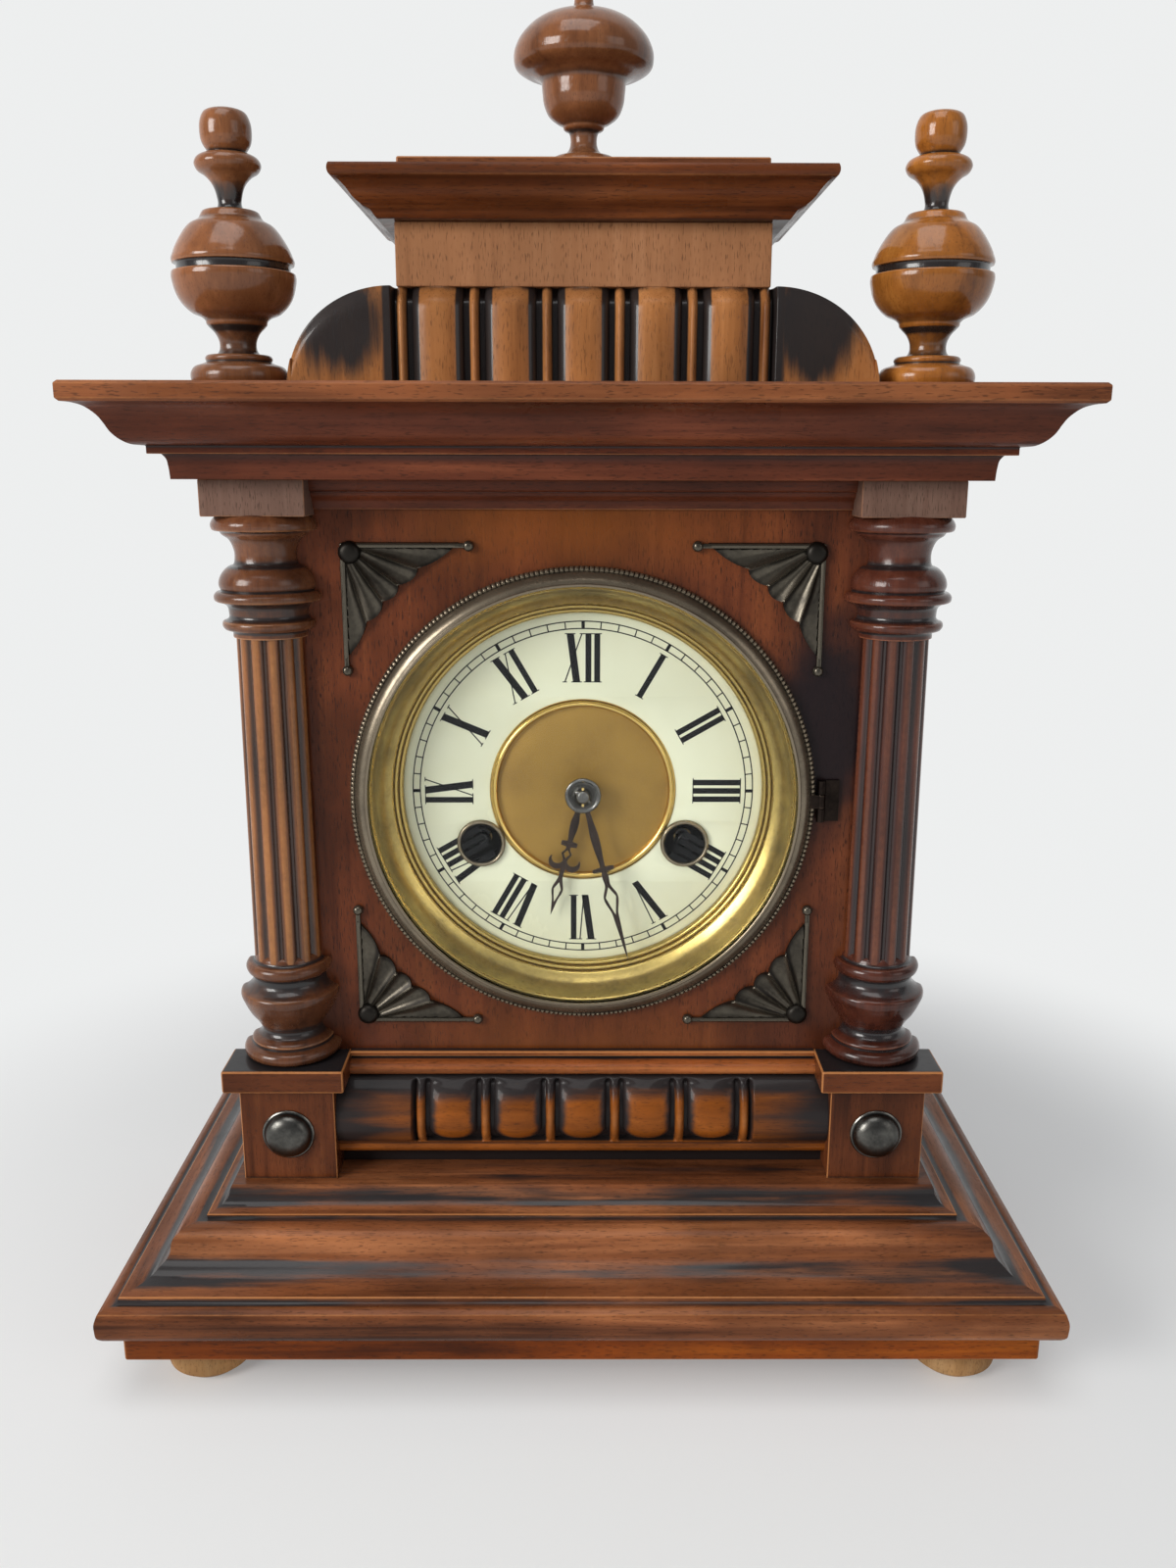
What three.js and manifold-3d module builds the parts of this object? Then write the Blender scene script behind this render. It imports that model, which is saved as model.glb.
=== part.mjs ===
// Table clock: a walnut case with half columns, turned finials and a striking movement.
// Millimetres, +Z up, front towards -Y, origin at the middle of the footprint on the table.
import * as THREE from "three";
import { mergeVertices } from "three/addons/utils/BufferGeometryUtils.js";
import Module from "manifold-3d";

const wasm = await Module();
wasm.setup();

// Clearances that every assembly shares
const mergeStep = 1e-4;
const overrun = 2;
const seatGap = 0.3;
const runGap = 0.3;

// Round sections: how many sides each kind of piece gets
const sides = { finial: 12, column: 12, foot: 8, stud: 10, ring: 24, pan: 16, small: 8, pin: 8, fine: 6 };

// The base: four feet, a board and a moulding that runs round three sides
const base = { width: 338, depth: 167, reach: 43.5, boardInset: 7, boardHeight: 12, mouldHeight: 38 };
const foot = { height: 16, radius: 16, neckRadius: 12, restRadius: 11.5, fromSide: 31, fromEnd: 30 };

// The case body: front panel, two sides, a frame with a door at the back
const body = { inset: 10, wall: 9, height: 253.5, panelThickness: 9, backThickness: 7, backInset: 5 };
const pedestal = { width: 34.5, project: 15.5, blockHeight: 37, capHeight: 8.5, capOut: 5, capIn: 4.5 };
const capital = { blockHeight: 12, turnedHeight: 41, footHeight: 38.5 };
const column = { fromEdge: 17.5, discRadius: 18.2, shaftTop: 11.6, shaftFoot: 12.2, reeds: 16,
  reedDepth: 1.5 };
const stud = { radius: 8.7, dome: 4.2, rim: 1 };
const frieze = { lip: 7.5, belly: 14, pitch: 24, lobe: 17, bead: 5, plainEnd: 27, groove: 5.5,
  beadDrop: 1.6 };
const rail = { project: 7, roundHeight: 5.5, quirk: 1, filletHeight: 2, filletProject: 3 };
const topMould = { height: 10, project: 8 };

// Cornice and crest above the case
const cornice = { reach: 31.5, height: 23, board: 6 };
const crest = { fromFinial: 18.5, endRun: 34.5, height: 31.5, frontInset: 7, pitch: 23.6, lobe: 15.5, bead: 4.6,
  plainEnd: 2, relief: 5.5, beadDrop: 1.5 };
const crestBlock = { sideInset: 1.5, height: 19.5, frontInset: 3 };
const crestCap = { reach: 17.5, height: 14, topBoard: 5.5, topInset: 1 };
const sideFinial = { height: 86, fromEdge: 42, fromFront: 54, ballRadius: 20 };
const centreFinial = { height: 71, domeRadius: 23.5, fromFront: 36 };

// The rear door, its hinge and its turn button
const door = { fromSide: 36.5, aboveBase: 22, belowTop: 41.5, gap: 0.5, barrel: 1.6, stand: 1.9, leafWidth: 7,
  leafThickness: 0.8, knuckles: 3, bore: 1.1, pin: 0.8, sunk: 0.5 };
const button = { length: 28, width: 8, thickness: 3, screw: 2.2, screwHead: 1.2, clear: 8 };

// Heights and planes that follow from the sizes above
const boardTop = foot.height + base.boardHeight;
const baseTop = boardTop + base.mouldHeight;
const pedestalEdge = base.width / 2 - base.reach;
const pedestalFront = -base.depth / 2 + base.reach;
const pedestalInner = pedestalEdge - pedestal.width;
const panelFront = pedestalFront + pedestal.project;
const panelBack = panelFront + body.panelThickness;
const caseTop = baseTop + body.height;
const footBack = base.depth / 2;
const caseBack = footBack - body.backInset;
const blockTop = baseTop + pedestal.blockHeight;
const capTop = blockTop + pedestal.capHeight;
const corniceTop = caseTop + cornice.height;
const boardTopOfCornice = corniceTop + cornice.board;
const crestTop = boardTopOfCornice + crest.height;
const crestBlockTop = crestTop + crestBlock.height;
const crestCapTop = crestBlockTop + crestCap.height;
const crestBoardTop = crestCapTop + crestCap.topBoard;
const corniceFront = pedestalFront - cornice.reach;
const crestFront = panelFront - crest.frontInset;
const crestBlockFront = panelFront - crestBlock.frontInset;
const columnX = pedestalEdge - column.fromEdge;
const bodyHalf = pedestalEdge - body.inset;
const finialX = pedestalEdge + cornice.reach - sideFinial.fromEdge;
const crestHalfFoot = finialX - crest.fromFinial;
const crestHalfTop = crestHalfFoot - crest.endRun;
const crestBlockHalf = crestHalfTop - crestBlock.sideInset;
const crestLobes = Math.floor((2 * (crestHalfTop - crest.plainEnd)) / crest.pitch);
const friezeLobes = Math.floor((2 * (pedestalInner - frieze.plainEnd)) / frieze.pitch);
const frameFront = caseBack - body.backThickness;
const doorHalf = bodyHalf - body.wall - door.fromSide;
const doorBottom = baseTop + door.aboveBase;
const doorTop = caseTop - door.belowTop;

// Dial, glass and hands, set back from the face of the panel
const dial = { drop: 2.5, setBack: 13, radius: 66.8, visible: 65.4, centreHole: 34.1, thickness: 1.2 };
const pan = { radius: 70, thickness: 1, arborHole: 4.4, ringInner: 30.2, ringOuter: 33.3, ringRise: 2.1,
  bare: 0.6, footRadius: 2.5, footCircle: 48 };
const panFootAngles = [30, 150, 270];
const winding = { apart: 75.2, below: 20, holeRadius: 7.3, tubeWall: 0.4, flange: 1.7, depth: 8, rim: 1.6 };
const bezel = { outer: 82.7, fromPedestal: 8.3, bore: 77.2, lip: 76, stand: 6.2, lipDepth: 0.9, panelGap: 0.3,
  holeGap: 1.2 };
const glass = { thickness: 2, edgeGap: 0.3 };
const sight = { edgeGap: 1, dialGap: 0.4 };
const bezelHinge = { barrel: 1.5, pin: 0.7, bore: 1, length: 15, knuckle: 5, leaf: 6.5, leafThickness: 1.2,
  stand: 2.1 };
const fan = { fromSide: 8, fromEnd: 11, arm: 44, edgeRadius: 95.5, rise: 2.4, plate: 1, dome: 3.4, ball: 1.7 };
const fanFlutes = 5;
const hourHand = { length: 46, collet: 4.8, thickness: 0.8, front: 3.6, bar: 3.3, scroll: 5.4 };
const minuteHand = { length: 62, collet: 4.2, thickness: 0.8, front: 7.2, bar: 4.1 };
const handAngle = { hour: 193.75, minute: 165 };
const washer = { radius: 6.3, thickness: 1.1, pinRadius: 0.5, pinLength: 7 };

// The movement between its two plates
const plates = { halfWidth: 62, top: 66, bottom: 52, front: 12, thickness: 2, apart: 32, pillar: 3.2,
  pillarInset: 6 };
const lug = { x: 69, upper: 58, lower: 48, postRadius: 4, barWidth: 9 };
const arbor = { heavy: 2.2, light: 1.2, fine: 0.8, pivot: 0.6, shoulder: 0.5, squareFront: 6 };
const hourPipe = { outer: 3.2, bore: 2.5, arbor: 1.8, front: 4.6, wheelFrom: 5, cannonFrom: 8, cannonLength: 2 };
const barrel = { radius: 18.5, from: 4, length: 14, wheel: 2 };
const ratchet = { size: 1.4, thickness: 1.6, click: 5 };
const teeth = { ratchet: 12, barrel: 36, second: 36, centre: 54, third: 72, escape: 42, minute: 24, hour: 24,
  pin: 36 };
const leaves = { second: 6, centre: 6, third: 6, escape: 6, cannon: 8, minute: 6, fly: 6 };
const pitchSize = { barrel: 1.2, second: 1.2, centre: 0.8, third: 0.5, cannon: 0.75, minute: 0.8, pin: 1.05 };
const tooth = { riseShare: 0.35, depthShare: 1.15 };
const trainAngle = { third: 110, minute: -60, fly: 103 };
const wheel = { thickness: 1.5 };
const escape = { radius: 14, depth: 2, above: 17.3, palletX: 12, palletDrop: 8.1 };
const level = { great: 18, second: 24, centre: 13, third: 8, escape: 16.5, pin: 24, fly: 12, tail: 27.5 };
const pendulum = { length: 156, rod: 1, bob: 17, bobThickness: 7, behind: 7, nut: 2.5, hook: 3 };
const crutch = { length: 36, width: 2, thickness: 1.2, fork: 2.6, behind: 3 };
const cock = { width: 9, thickness: 2, reach: 11, above: 6.5 };
const fly = { vaneLength: 10, vaneRadius: 8, vaneThickness: 0.6 };
const pins = { circle: 15, radius: 0.8, length: 2.5 };
const pinCount = 6;
const hammer = { x: -20, z: -44, arm: 40, head: 5.5, headLength: 13, tailGap: 0.6, rod: 1.4, behind: 21,
  tail: 1.2 };
const gong = { x: -60, z: -92, radius: 37, pitch: 6, wire: 1.2, behind: 70 };
const gongBlock = { width: 16, depth: 12, height: 14, postRadius: 3, fromDoor: 4 };
const winds = { turns: 3, steps: 12, wireSides: 5 };

// The dial and the movement are made to fit the case: the widest ring stays clear of the pedestals and the
// mouldings, and the gong, which lies furthest back, stays clear of the rear door
const faceRoom = Math.min(pedestalInner, (caseTop - topMould.height - capTop) / 2);
const depthRoom = frameFront - panelFront - gongBlock.depth / 2 - gongBlock.postRadius - gongBlock.fromDoor;
const fit = Math.min(faceRoom / (bezel.outer + bezel.fromPedestal), depthRoom / (dial.setBack + gong.behind));
const fitted = [
  dial, pan, winding, bezel, glass, sight, bezelHinge, fan, hourHand, minuteHand, washer, plates, lug,
  arbor, hourPipe, barrel, ratchet, pitchSize, escape, level, pendulum, crutch, cock, fly, pins, hammer,
  gong, wheel,
];
for (const lengths of fitted) {
  for (const name of Object.keys(lengths)) lengths[name] *= fit;
}
const wheelThickness = wheel.thickness;

// Planes of the dial and the movement that follow from the sizes above
const dialHeight = (capTop + caseTop - topMould.height) / 2 - dial.drop;
const fanX = pedestalInner - fan.fromSide;
const fanAbove = caseTop - topMould.height - fan.fromEnd - dialHeight;
const fanBelow = dialHeight - capTop - fan.fromEnd;
const dialPlane = panelFront + dial.setBack;
const platesInner = plates.front + plates.thickness;
const backPlateFront = platesInner + plates.apart;
const backPlateEnd = backPlateFront + plates.thickness;
const pendulumFront = backPlateEnd + pendulum.behind - pendulum.rod;

// Finishes, as colours that the solids carry
const finish = {
  walnut: new THREE.MeshStandardMaterial({ color: 0x7a3d1d, roughness: 0.4, metalness: 0 }),
  paleWalnut: new THREE.MeshStandardMaterial({ color: 0x9a5f35, roughness: 0.45, metalness: 0 }),
  turned: new THREE.MeshStandardMaterial({ color: 0x8a4f26, roughness: 0.3, metalness: 0 }),
  softwood: new THREE.MeshStandardMaterial({ color: 0xb98a52, roughness: 0.7, metalness: 0 }),
  bronze: new THREE.MeshStandardMaterial({ color: 0x4a4138, roughness: 0.45, metalness: 0.9 }),
  brass: new THREE.MeshStandardMaterial({ color: 0xc9a24a, roughness: 0.3, metalness: 1 }),
  steel: new THREE.MeshStandardMaterial({ color: 0x6f7276, roughness: 0.35, metalness: 1 }),
  blued: new THREE.MeshStandardMaterial({ color: 0x2b2624, roughness: 0.35, metalness: 0.8 }),
  enamel: new THREE.MeshStandardMaterial({ color: 0xeeead6, roughness: 0.15, metalness: 0 }),
  glass: new THREE.MeshStandardMaterial({ color: 0xe8f0f0, roughness: 0.05, metalness: 0 }),
};

// Turn a closed geometry into a solid whose faces point out
function solid(geometry) {
  const bare = geometry.index ? geometry.toNonIndexed() : geometry.clone();
  bare.deleteAttribute("normal");
  bare.deleteAttribute("uv");
  const merged = mergeVertices(bare, mergeStep);
  const place = merged.attributes.position.array;
  const corner = merged.index.array;
  const kept = [];
  let volume = 0;
  for (let i = 0; i < corner.length; i += 3) {
    const [a, b, c] = [corner[i], corner[i + 1], corner[i + 2]];
    if (a === b || b === c || c === a) continue;
    kept.push(a, b, c);
    const [p, q, r] = [a, b, c].map((n) => new THREE.Vector3().fromArray(place, n * 3));
    volume += p.dot(q.cross(r));
  }
  if (volume < 0) kept.reverse();
  const vertProperties = new Float32Array(place);
  return new wasm.Manifold(new wasm.Mesh({ numProp: 3, vertProperties, triVerts: new Uint32Array(kept) }));
}

// Join solids or geometries into one solid
function join(...parts) {
  return parts.map(asSolid).reduce((whole, part) => whole.add(part));
}

// Cut every later solid or geometry from the first
function cut(first, ...others) {
  return others.map(asSolid).reduce((whole, part) => whole.subtract(part), asSolid(first));
}

// Keep only what two solids or geometries share
function common(first, second) {
  return asSolid(first).intersect(asSolid(second));
}

function asSolid(part) {
  return part.isBufferGeometry ? solid(part) : part;
}

// A geometry for a mesh, from a solid
function skin(shape) {
  const made = asSolid(shape).getMesh();
  const geometry = new THREE.BufferGeometry();
  geometry.setAttribute("position", new THREE.BufferAttribute(new Float32Array(made.vertProperties), 3));
  geometry.setIndex(new THREE.BufferAttribute(new Uint32Array(made.triVerts), 1));
  geometry.computeVertexNormals();
  return geometry;
}

// One named piece, placed in its group
function piece(group, name, shape, material, at = [0, 0, 0]) {
  const mesh = new THREE.Mesh(skin(shape), material);
  mesh.name = name;
  mesh.position.set(...at);
  group.add(mesh);
  return mesh;
}

// A box between two corners
function box(x0, x1, y0, y1, z0, z1) {
  const made = new THREE.BoxGeometry(x1 - x0, y1 - y0, z1 - z0);
  return made.translate((x0 + x1) / 2, (y0 + y1) / 2, (z0 + z1) / 2);
}

// A turned form round the Z axis, from [radius, height] points
function turned(points, segments) {
  const profile = points.map(([r, z]) => new THREE.Vector2(r, z));
  return new THREE.LatheGeometry(profile, segments).rotateX(Math.PI / 2);
}

// A turned form round the Y axis, from [radius, y] points
function turnedBack(points, segments, turn = 0) {
  const profile = points.map(([r, y]) => new THREE.Vector2(r, y));
  return new THREE.LatheGeometry(profile, segments).rotateY(turn);
}

// A round bar along Y
function barY(radius, y0, y1, segments, x = 0, z = 0) {
  const profile = [[0, y0], [radius, y0], [radius, y1], [0, y1]];
  return turnedBack(profile, segments, Math.PI / segments).translate(x, 0, z);
}

// A round bar along Z
function barZ(radius, z0, z1, segments, x = 0, y = 0) {
  return turned([[0, z0], [radius, z0], [radius, z1], [0, z1]], segments).translate(x, y, 0);
}

function outline(points) {
  return new THREE.Shape(points.map(([u, v]) => new THREE.Vector2(u, v)));
}

// An outline raised from z = 0
function raised(shape, depth) {
  return new THREE.ExtrudeGeometry(shape, { depth, bevelEnabled: false, curveSegments: sides.small });
}

// A plate whose outline lies in X and Z, with its front face at y0
function plate(shape, y0, thickness) {
  const made = raised(shape, thickness);
  return made.rotateX(Math.PI / 2).translate(0, y0 + thickness, 0);
}

// A bar whose section lies in Y and Z, from x0 to x1
function barX(shape, x0, x1) {
  const made = raised(shape, x1 - x0);
  const along = new THREE.Vector3(1, 0, 0);
  const basis = new THREE.Matrix4().makeBasis(new THREE.Vector3(0, 1, 0), new THREE.Vector3(0, 0, 1), along);
  return made.applyMatrix4(basis).translate(x0, 0, 0);
}

// An outline in X and Y, raised from z0 to z1
function rise(shape, z0, z1) {
  const made = raised(shape, z1 - z0);
  return made.translate(0, 0, z0);
}

// Rectangles at rising heights, as [left, right, front, height], joined into one block with a flat back
function boxStack(rows, back) {
  const place = rows.flatMap(([x0, x1, y0, z]) => [x0, back, z, x0, y0, z, x1, y0, z, x1, back, z]);
  const corner = [];
  for (let k = 0; k + 1 < rows.length; k += 1) {
    for (let i = 0; i < 4; i += 1) {
      const [a, b] = [4 * k + i, 4 * k + (i + 1) % 4];
      corner.push(a, b, b + 4, a, b + 4, a + 4);
    }
  }
  const top = 4 * (rows.length - 1);
  corner.push(0, 2, 1, 0, 3, 2, top, top + 1, top + 2, top, top + 2, top + 3);
  const made = new THREE.BufferGeometry();
  made.setAttribute("position", new THREE.Float32BufferAttribute(place, 3));
  made.setIndex(corner);
  return made;
}

// A block whose front and sides carry one mitred moulding.
// Each share pair is [outward share of the reach, share of the height], from bottom to top.
function moulded(halfWidth, front, back, z0, reach, height, shares) {
  return boxStack(shares.map(([out, up]) => {
    const w = halfWidth + out * reach;
    return [-w, w, front - out * reach, z0 + up * height];
  }), back);
}

// Profiles of the mouldings, as shares of their reach and height
const baseShares = [
  [0.955, 0], [0.989, 0.04], [1, 0.12], [1, 0.21], [0.973, 0.284], [0.908, 0.316], [0.878, 0.305], [0.85, 0.32],
  [0.84, 0.36], [0.815, 0.365], [0.74, 0.38], [0.65, 0.415], [0.575, 0.485], [0.525, 0.54], [0.508, 0.6],
  [0.504, 0.645], [0.488, 0.7], [0.44, 0.75], [0.368, 0.774], [0.285, 0.768], [0.264, 0.775], [0.264, 0.8],
  [0.22, 0.805], [0.16, 0.835], [0.115, 0.895], [0.1, 0.968], [0.087, 1],
];
const corniceShares = [
  [0.206, 0], [0.216, 0.18], [0.23, 0.28], [0.262, 0.342], [0.375, 0.342], [0.375, 0.45], [0.41, 0.455],
  [0.49, 0.47], [0.568, 0.532], [0.63, 0.625], [0.672, 0.735], [0.708, 0.82], [0.75, 0.885], [0.81, 0.95],
  [0.88, 0.985], [0.93, 1],
];
const corniceBoardShares = [[0.97, 0], [1, 0.14], [1, 0.86], [0.97, 1]];
const crestCapShares = [
  [0.27, 0], [0.33, 0.09], [0.37, 0.16], [0.43, 0.21], [0.52, 0.265], [0.63, 0.37], [0.755, 0.57], [0.88, 0.71],
  [0.985, 0.765], [1, 0.8], [1, 0.96], [0.985, 1],
];

// Feet, board and moulding of the base
function buildBase(group) {
  const f = foot;
  const profile = [
    [0, 0], [f.restRadius, 0], [f.radius * 0.95, f.height * 0.2], [f.radius, f.height * 0.45],
    [f.radius * 0.93, f.height * 0.68], [f.neckRadius, f.height * 0.8], [f.neckRadius, f.height], [0, f.height],
  ];
  const x = base.width / 2 - f.fromSide;
  const y = base.depth / 2 - f.fromEnd;
  const corners = { front_left: [-x, -y], front_right: [x, -y], back_left: [-x, y], back_right: [x, y] };
  for (const [name, at] of Object.entries(corners)) {
    piece(group, `foot_${name}`, turned(profile, sides.foot), finish.softwood, [...at, 0]);
  }
  const w = base.width / 2 - base.boardInset;
  const front = -base.depth / 2 + base.boardInset;
  piece(group, "base_board", box(-w, w, front, footBack, f.height, boardTop), finish.softwood);
  const { reach, mouldHeight } = base;
  const mould = moulded(pedestalEdge, pedestalFront, footBack, boardTop, reach, mouldHeight, baseShares);
  piece(group, "base_moulding", mould, finish.walnut);
}

// A pedestal: a block and a wider cap with softened upper edges, on one side of the case
function pedestalShape(side) {
  const [inner, outer] = [pedestalInner, pedestalEdge];
  const block = box(inner, outer, pedestalFront, panelFront, baseTop, blockTop);
  const capIn = inner - pedestal.capIn;
  const capOut = outer + pedestal.capOut;
  const capFront = pedestalFront - pedestal.capIn;
  const soft = pedestal.capHeight * 0.12;
  const place = [
    [capIn, capOut, capFront, blockTop], [capIn, capOut, capFront, capTop - soft],
    [capIn + soft, capOut - soft, capFront + soft, capTop],
  ];
  const hull = boxStack(place, panelFront);
  const whole = join(block, hull);
  return side > 0 ? whole : whole.mirror([1, 0, 0]);
}

// The turned profile of a column, as [share of the disc radius, height below the top or above the foot]
const capitalShares = [
  [0.9, 1], [0.97, 0.93], [0.8, 0.87], [0.62, 0.77], [0.58, 0.64], [0.66, 0.59], [0.86, 0.5], [0.9, 0.42],
  [0.84, 0.385], [1, 0.345], [0.95, 0.3], [0.76, 0.26], [0.73, 0.165], [0.87, 0.12], [0.7, 0.05], [0.69, 0],
];
const plinthShares = [
  [0.66, 1], [0.84, 0.93], [0.78, 0.82], [0.74, 0.75], [0.98, 0.65], [0.93, 0.55], [0.68, 0.35], [0.6, 0.3],
  [0.8, 0.19], [0.8, 0.155], [0.98, 0.1], [0.86, 0],
];

// A half column: turned capital and foot, a reeded shaft, and the square block on top
function columnShape(side) {
  const [capitalHeight, plinthHeight] = [capital.turnedHeight, capital.footHeight];
  const top = caseTop - capital.blockHeight;
  const R = column.discRadius;
  const upper = capitalShares.map(([r, h]) => [r * R, top - capitalHeight + h * capitalHeight]);
  const lower = plinthShares.map(([r, h]) => [r * R, capTop + h * plinthHeight]);
  const profile = [[0, top], ...upper, [0, top - capitalHeight]];
  const footProfile = [[0, capTop + plinthHeight], ...lower, [0, capTop]];
  const shaftFrom = capTop + plinthHeight;
  const shaftTo = top - capitalHeight;
  const overlap = column.reedDepth;
  const shaft = reededShaft(shaftFrom - overlap, shaftTo + overlap);
  const whole = join(turned(profile, sides.column), turned(footProfile, sides.column), shaft);
  const keep = box(-2 * R, 2 * R, -2 * R, 0, capTop - overrun, top + overrun);
  const half = whole.intersect(solid(keep));
  const [inner, outer] = [pedestalInner - columnX, pedestalEdge - columnX];
  const block = box(inner, outer, pedestalFront - panelFront, 0, top, caseTop);
  const made = join(half, block);
  return side > 0 ? made : made.mirror([1, 0, 0]);
}

// A tapering shaft with convex reeds round it
function reededShaft(z0, z1) {
  const stepsPerReed = 3;
  const count = column.reeds * stepsPerReed;
  const place = [];
  for (const [z, r] of [[z0, column.shaftFoot], [z1, column.shaftTop]]) {
    for (let i = 0; i < count; i += 1) {
      const bulge = Math.abs(Math.sin(((i % stepsPerReed) / stepsPerReed) * Math.PI));
      const radius = r - column.reedDepth * (1 - bulge);
      const angle = (i / count) * 2 * Math.PI;
      place.push(radius * Math.cos(angle), radius * Math.sin(angle), z);
    }
  }
  place.push(0, 0, z0, 0, 0, z1);
  const corner = [];
  for (let i = 0; i < count; i += 1) {
    const j = (i + 1) % count;
    corner.push(i, j, count + j, i, count + j, count + i, 2 * count, j, i, 2 * count + 1, count + i, count + j);
  }
  const made = new THREE.BufferGeometry();
  made.setAttribute("position", new THREE.Float32BufferAttribute(place, 3));
  made.setIndex(corner);
  return made;
}

// The plan of a gadrooned front: plain ends, round lobes, and narrow beads between grooves
function gadroonPlan(halfWidth, back, front, size, lobes, depth) {
  const points = [[-halfWidth, back], [-halfWidth, front]];
  const first = -(lobes / 2) * size.pitch;
  const lobeSteps = 5;
  const beadSteps = 3;
  points.push([first - size.bead, front]);
  for (let k = 0; k <= lobes; k += 1) {
    const bead = first + k * size.pitch;
    points.push([bead - size.bead * 0.7, front + depth]);
    for (let i = 0; i <= beadSteps; i += 1) {
      const turn = Math.PI * (i / beadSteps);
      const y = front + depth * 0.95 - (depth - size.beadDrop) * Math.sin(turn);
      points.push([bead - (size.bead / 2) * Math.cos(turn), y]);
    }
    points.push([bead + size.bead * 0.7, front + depth]);
    if (k === lobes) continue;
    const lobe = bead + size.pitch / 2;
    for (let i = 0; i <= lobeSteps; i += 1) {
      const turn = Math.PI * (i / lobeSteps);
      const y = front + depth * 0.8 - depth * 0.8 * Math.sin(turn);
      points.push([lobe - (size.lobe / 2) * Math.cos(turn), y]);
    }
  }
  points.push([-first + size.bead, front], [halfWidth, front], [halfWidth, back]);
  return outline(points);
}

// The front of the case between base and cornice
function buildFront(group) {
  for (const [name, side] of [["left", -1], ["right", 1]]) {
    piece(group, `${name}_pedestal`, pedestalShape(side), finish.walnut);
    const at = [side * columnX, panelFront, 0];
    piece(group, `${name}_column`, columnShape(side), finish.turned, at);
    const studZ = baseTop + pedestal.blockHeight / 2;
    const studX = side * (pedestalEdge - pedestal.width / 2);
    piece(group, `${name}_stud`, studShape(), finish.bronze, [studX, pedestalFront, studZ]);
  }
  const w = bodyHalf;
  const panel = box(-w, w, panelFront, panelBack, baseTop, caseTop);
  const hole = bezel.bore + bezel.holeGap;
  const bore = barY(hole, panelFront - overrun, panelBack + overrun, sides.ring, 0, dialHeight);
  piece(group, "front_panel", cut(panel, bore), finish.walnut);

  const f = frieze;
  const inner = pedestalInner;
  const plan = gadroonPlan(inner, panelFront, panelFront - f.belly, f, friezeLobes, f.groove);
  const bellyShares = [
    [0, 0], [0.14, 0], [0.2, 0.12], [0.6, 0.22], [0.66, 0.26], [0.6, 0.3], [0.86, 0.36], [1, 0.53], [0.98, 0.66],
    [0.86, 0.82], [0.4, 1], [0, 1],
  ];
  const high = pedestal.blockHeight;
  const section = outline(bellyShares.map(([o, h]) => [panelFront - o * f.belly, baseTop + h * high]));
  const carved = common(rise(plan, baseTop, blockTop), barX(section, -inner, inner));
  const r = rail;
  const railEnd = pedestalInner - pedestal.capIn;
  const steps = 6;
  const arc = [];
  for (let i = 0; i <= steps; i += 1) {
    const turn = Math.PI * (i / steps);
    const y = panelFront - r.project + (r.roundHeight / 2) * (1 - Math.sin(turn));
    arc.push([y, blockTop + (r.roundHeight / 2) * (1 - Math.cos(turn))]);
  }
  const roundTop = blockTop + r.roundHeight;
  const filletTop = roundTop + r.quirk + r.filletHeight;
  const sectionRail = outline([
    [panelFront, blockTop], ...arc, [panelFront - r.filletProject / 2, roundTop],
    [panelFront - r.filletProject / 2, roundTop + r.quirk], [panelFront - r.filletProject, roundTop + r.quirk],
    [panelFront - r.filletProject, filletTop], [panelFront, filletTop],
  ]);
  piece(group, "egg_frieze", join(carved, barX(sectionRail, -railEnd, railEnd)), finish.walnut);

  const t = topMould;
  const mouldShares = [
    [0, 0], [0.25, 0], [0.3, 0.14], [0.42, 0.3], [0.62, 0.42], [0.7, 0.5], [0.7, 0.58], [0.82, 0.6], [0.95, 0.75],
    [1, 0.9], [1, 1], [0, 1],
  ];
  const mould = outline(mouldShares.map(([o, h]) => [panelFront - o * t.project, caseTop - (1 - h) * t.height]));
  piece(group, "upper_moulding", barX(mould, -pedestalInner, pedestalInner), finish.walnut);
}

// A domed stud with a thin rim, its flat back on the pedestal
function studShape() {
  const s = stud;
  const steps = 4;
  const profile = [[0, 0], [s.radius, 0], [s.radius, -s.rim * 0.6]];
  for (let i = 0; i <= steps; i += 1) {
    const turn = (Math.PI / 2) * (i / steps);
    profile.push([(s.radius - s.rim) * Math.cos(turn), -s.rim * 0.6 - s.dome * Math.sin(turn)]);
  }
  return turnedBack(profile, sides.stud);
}

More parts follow.
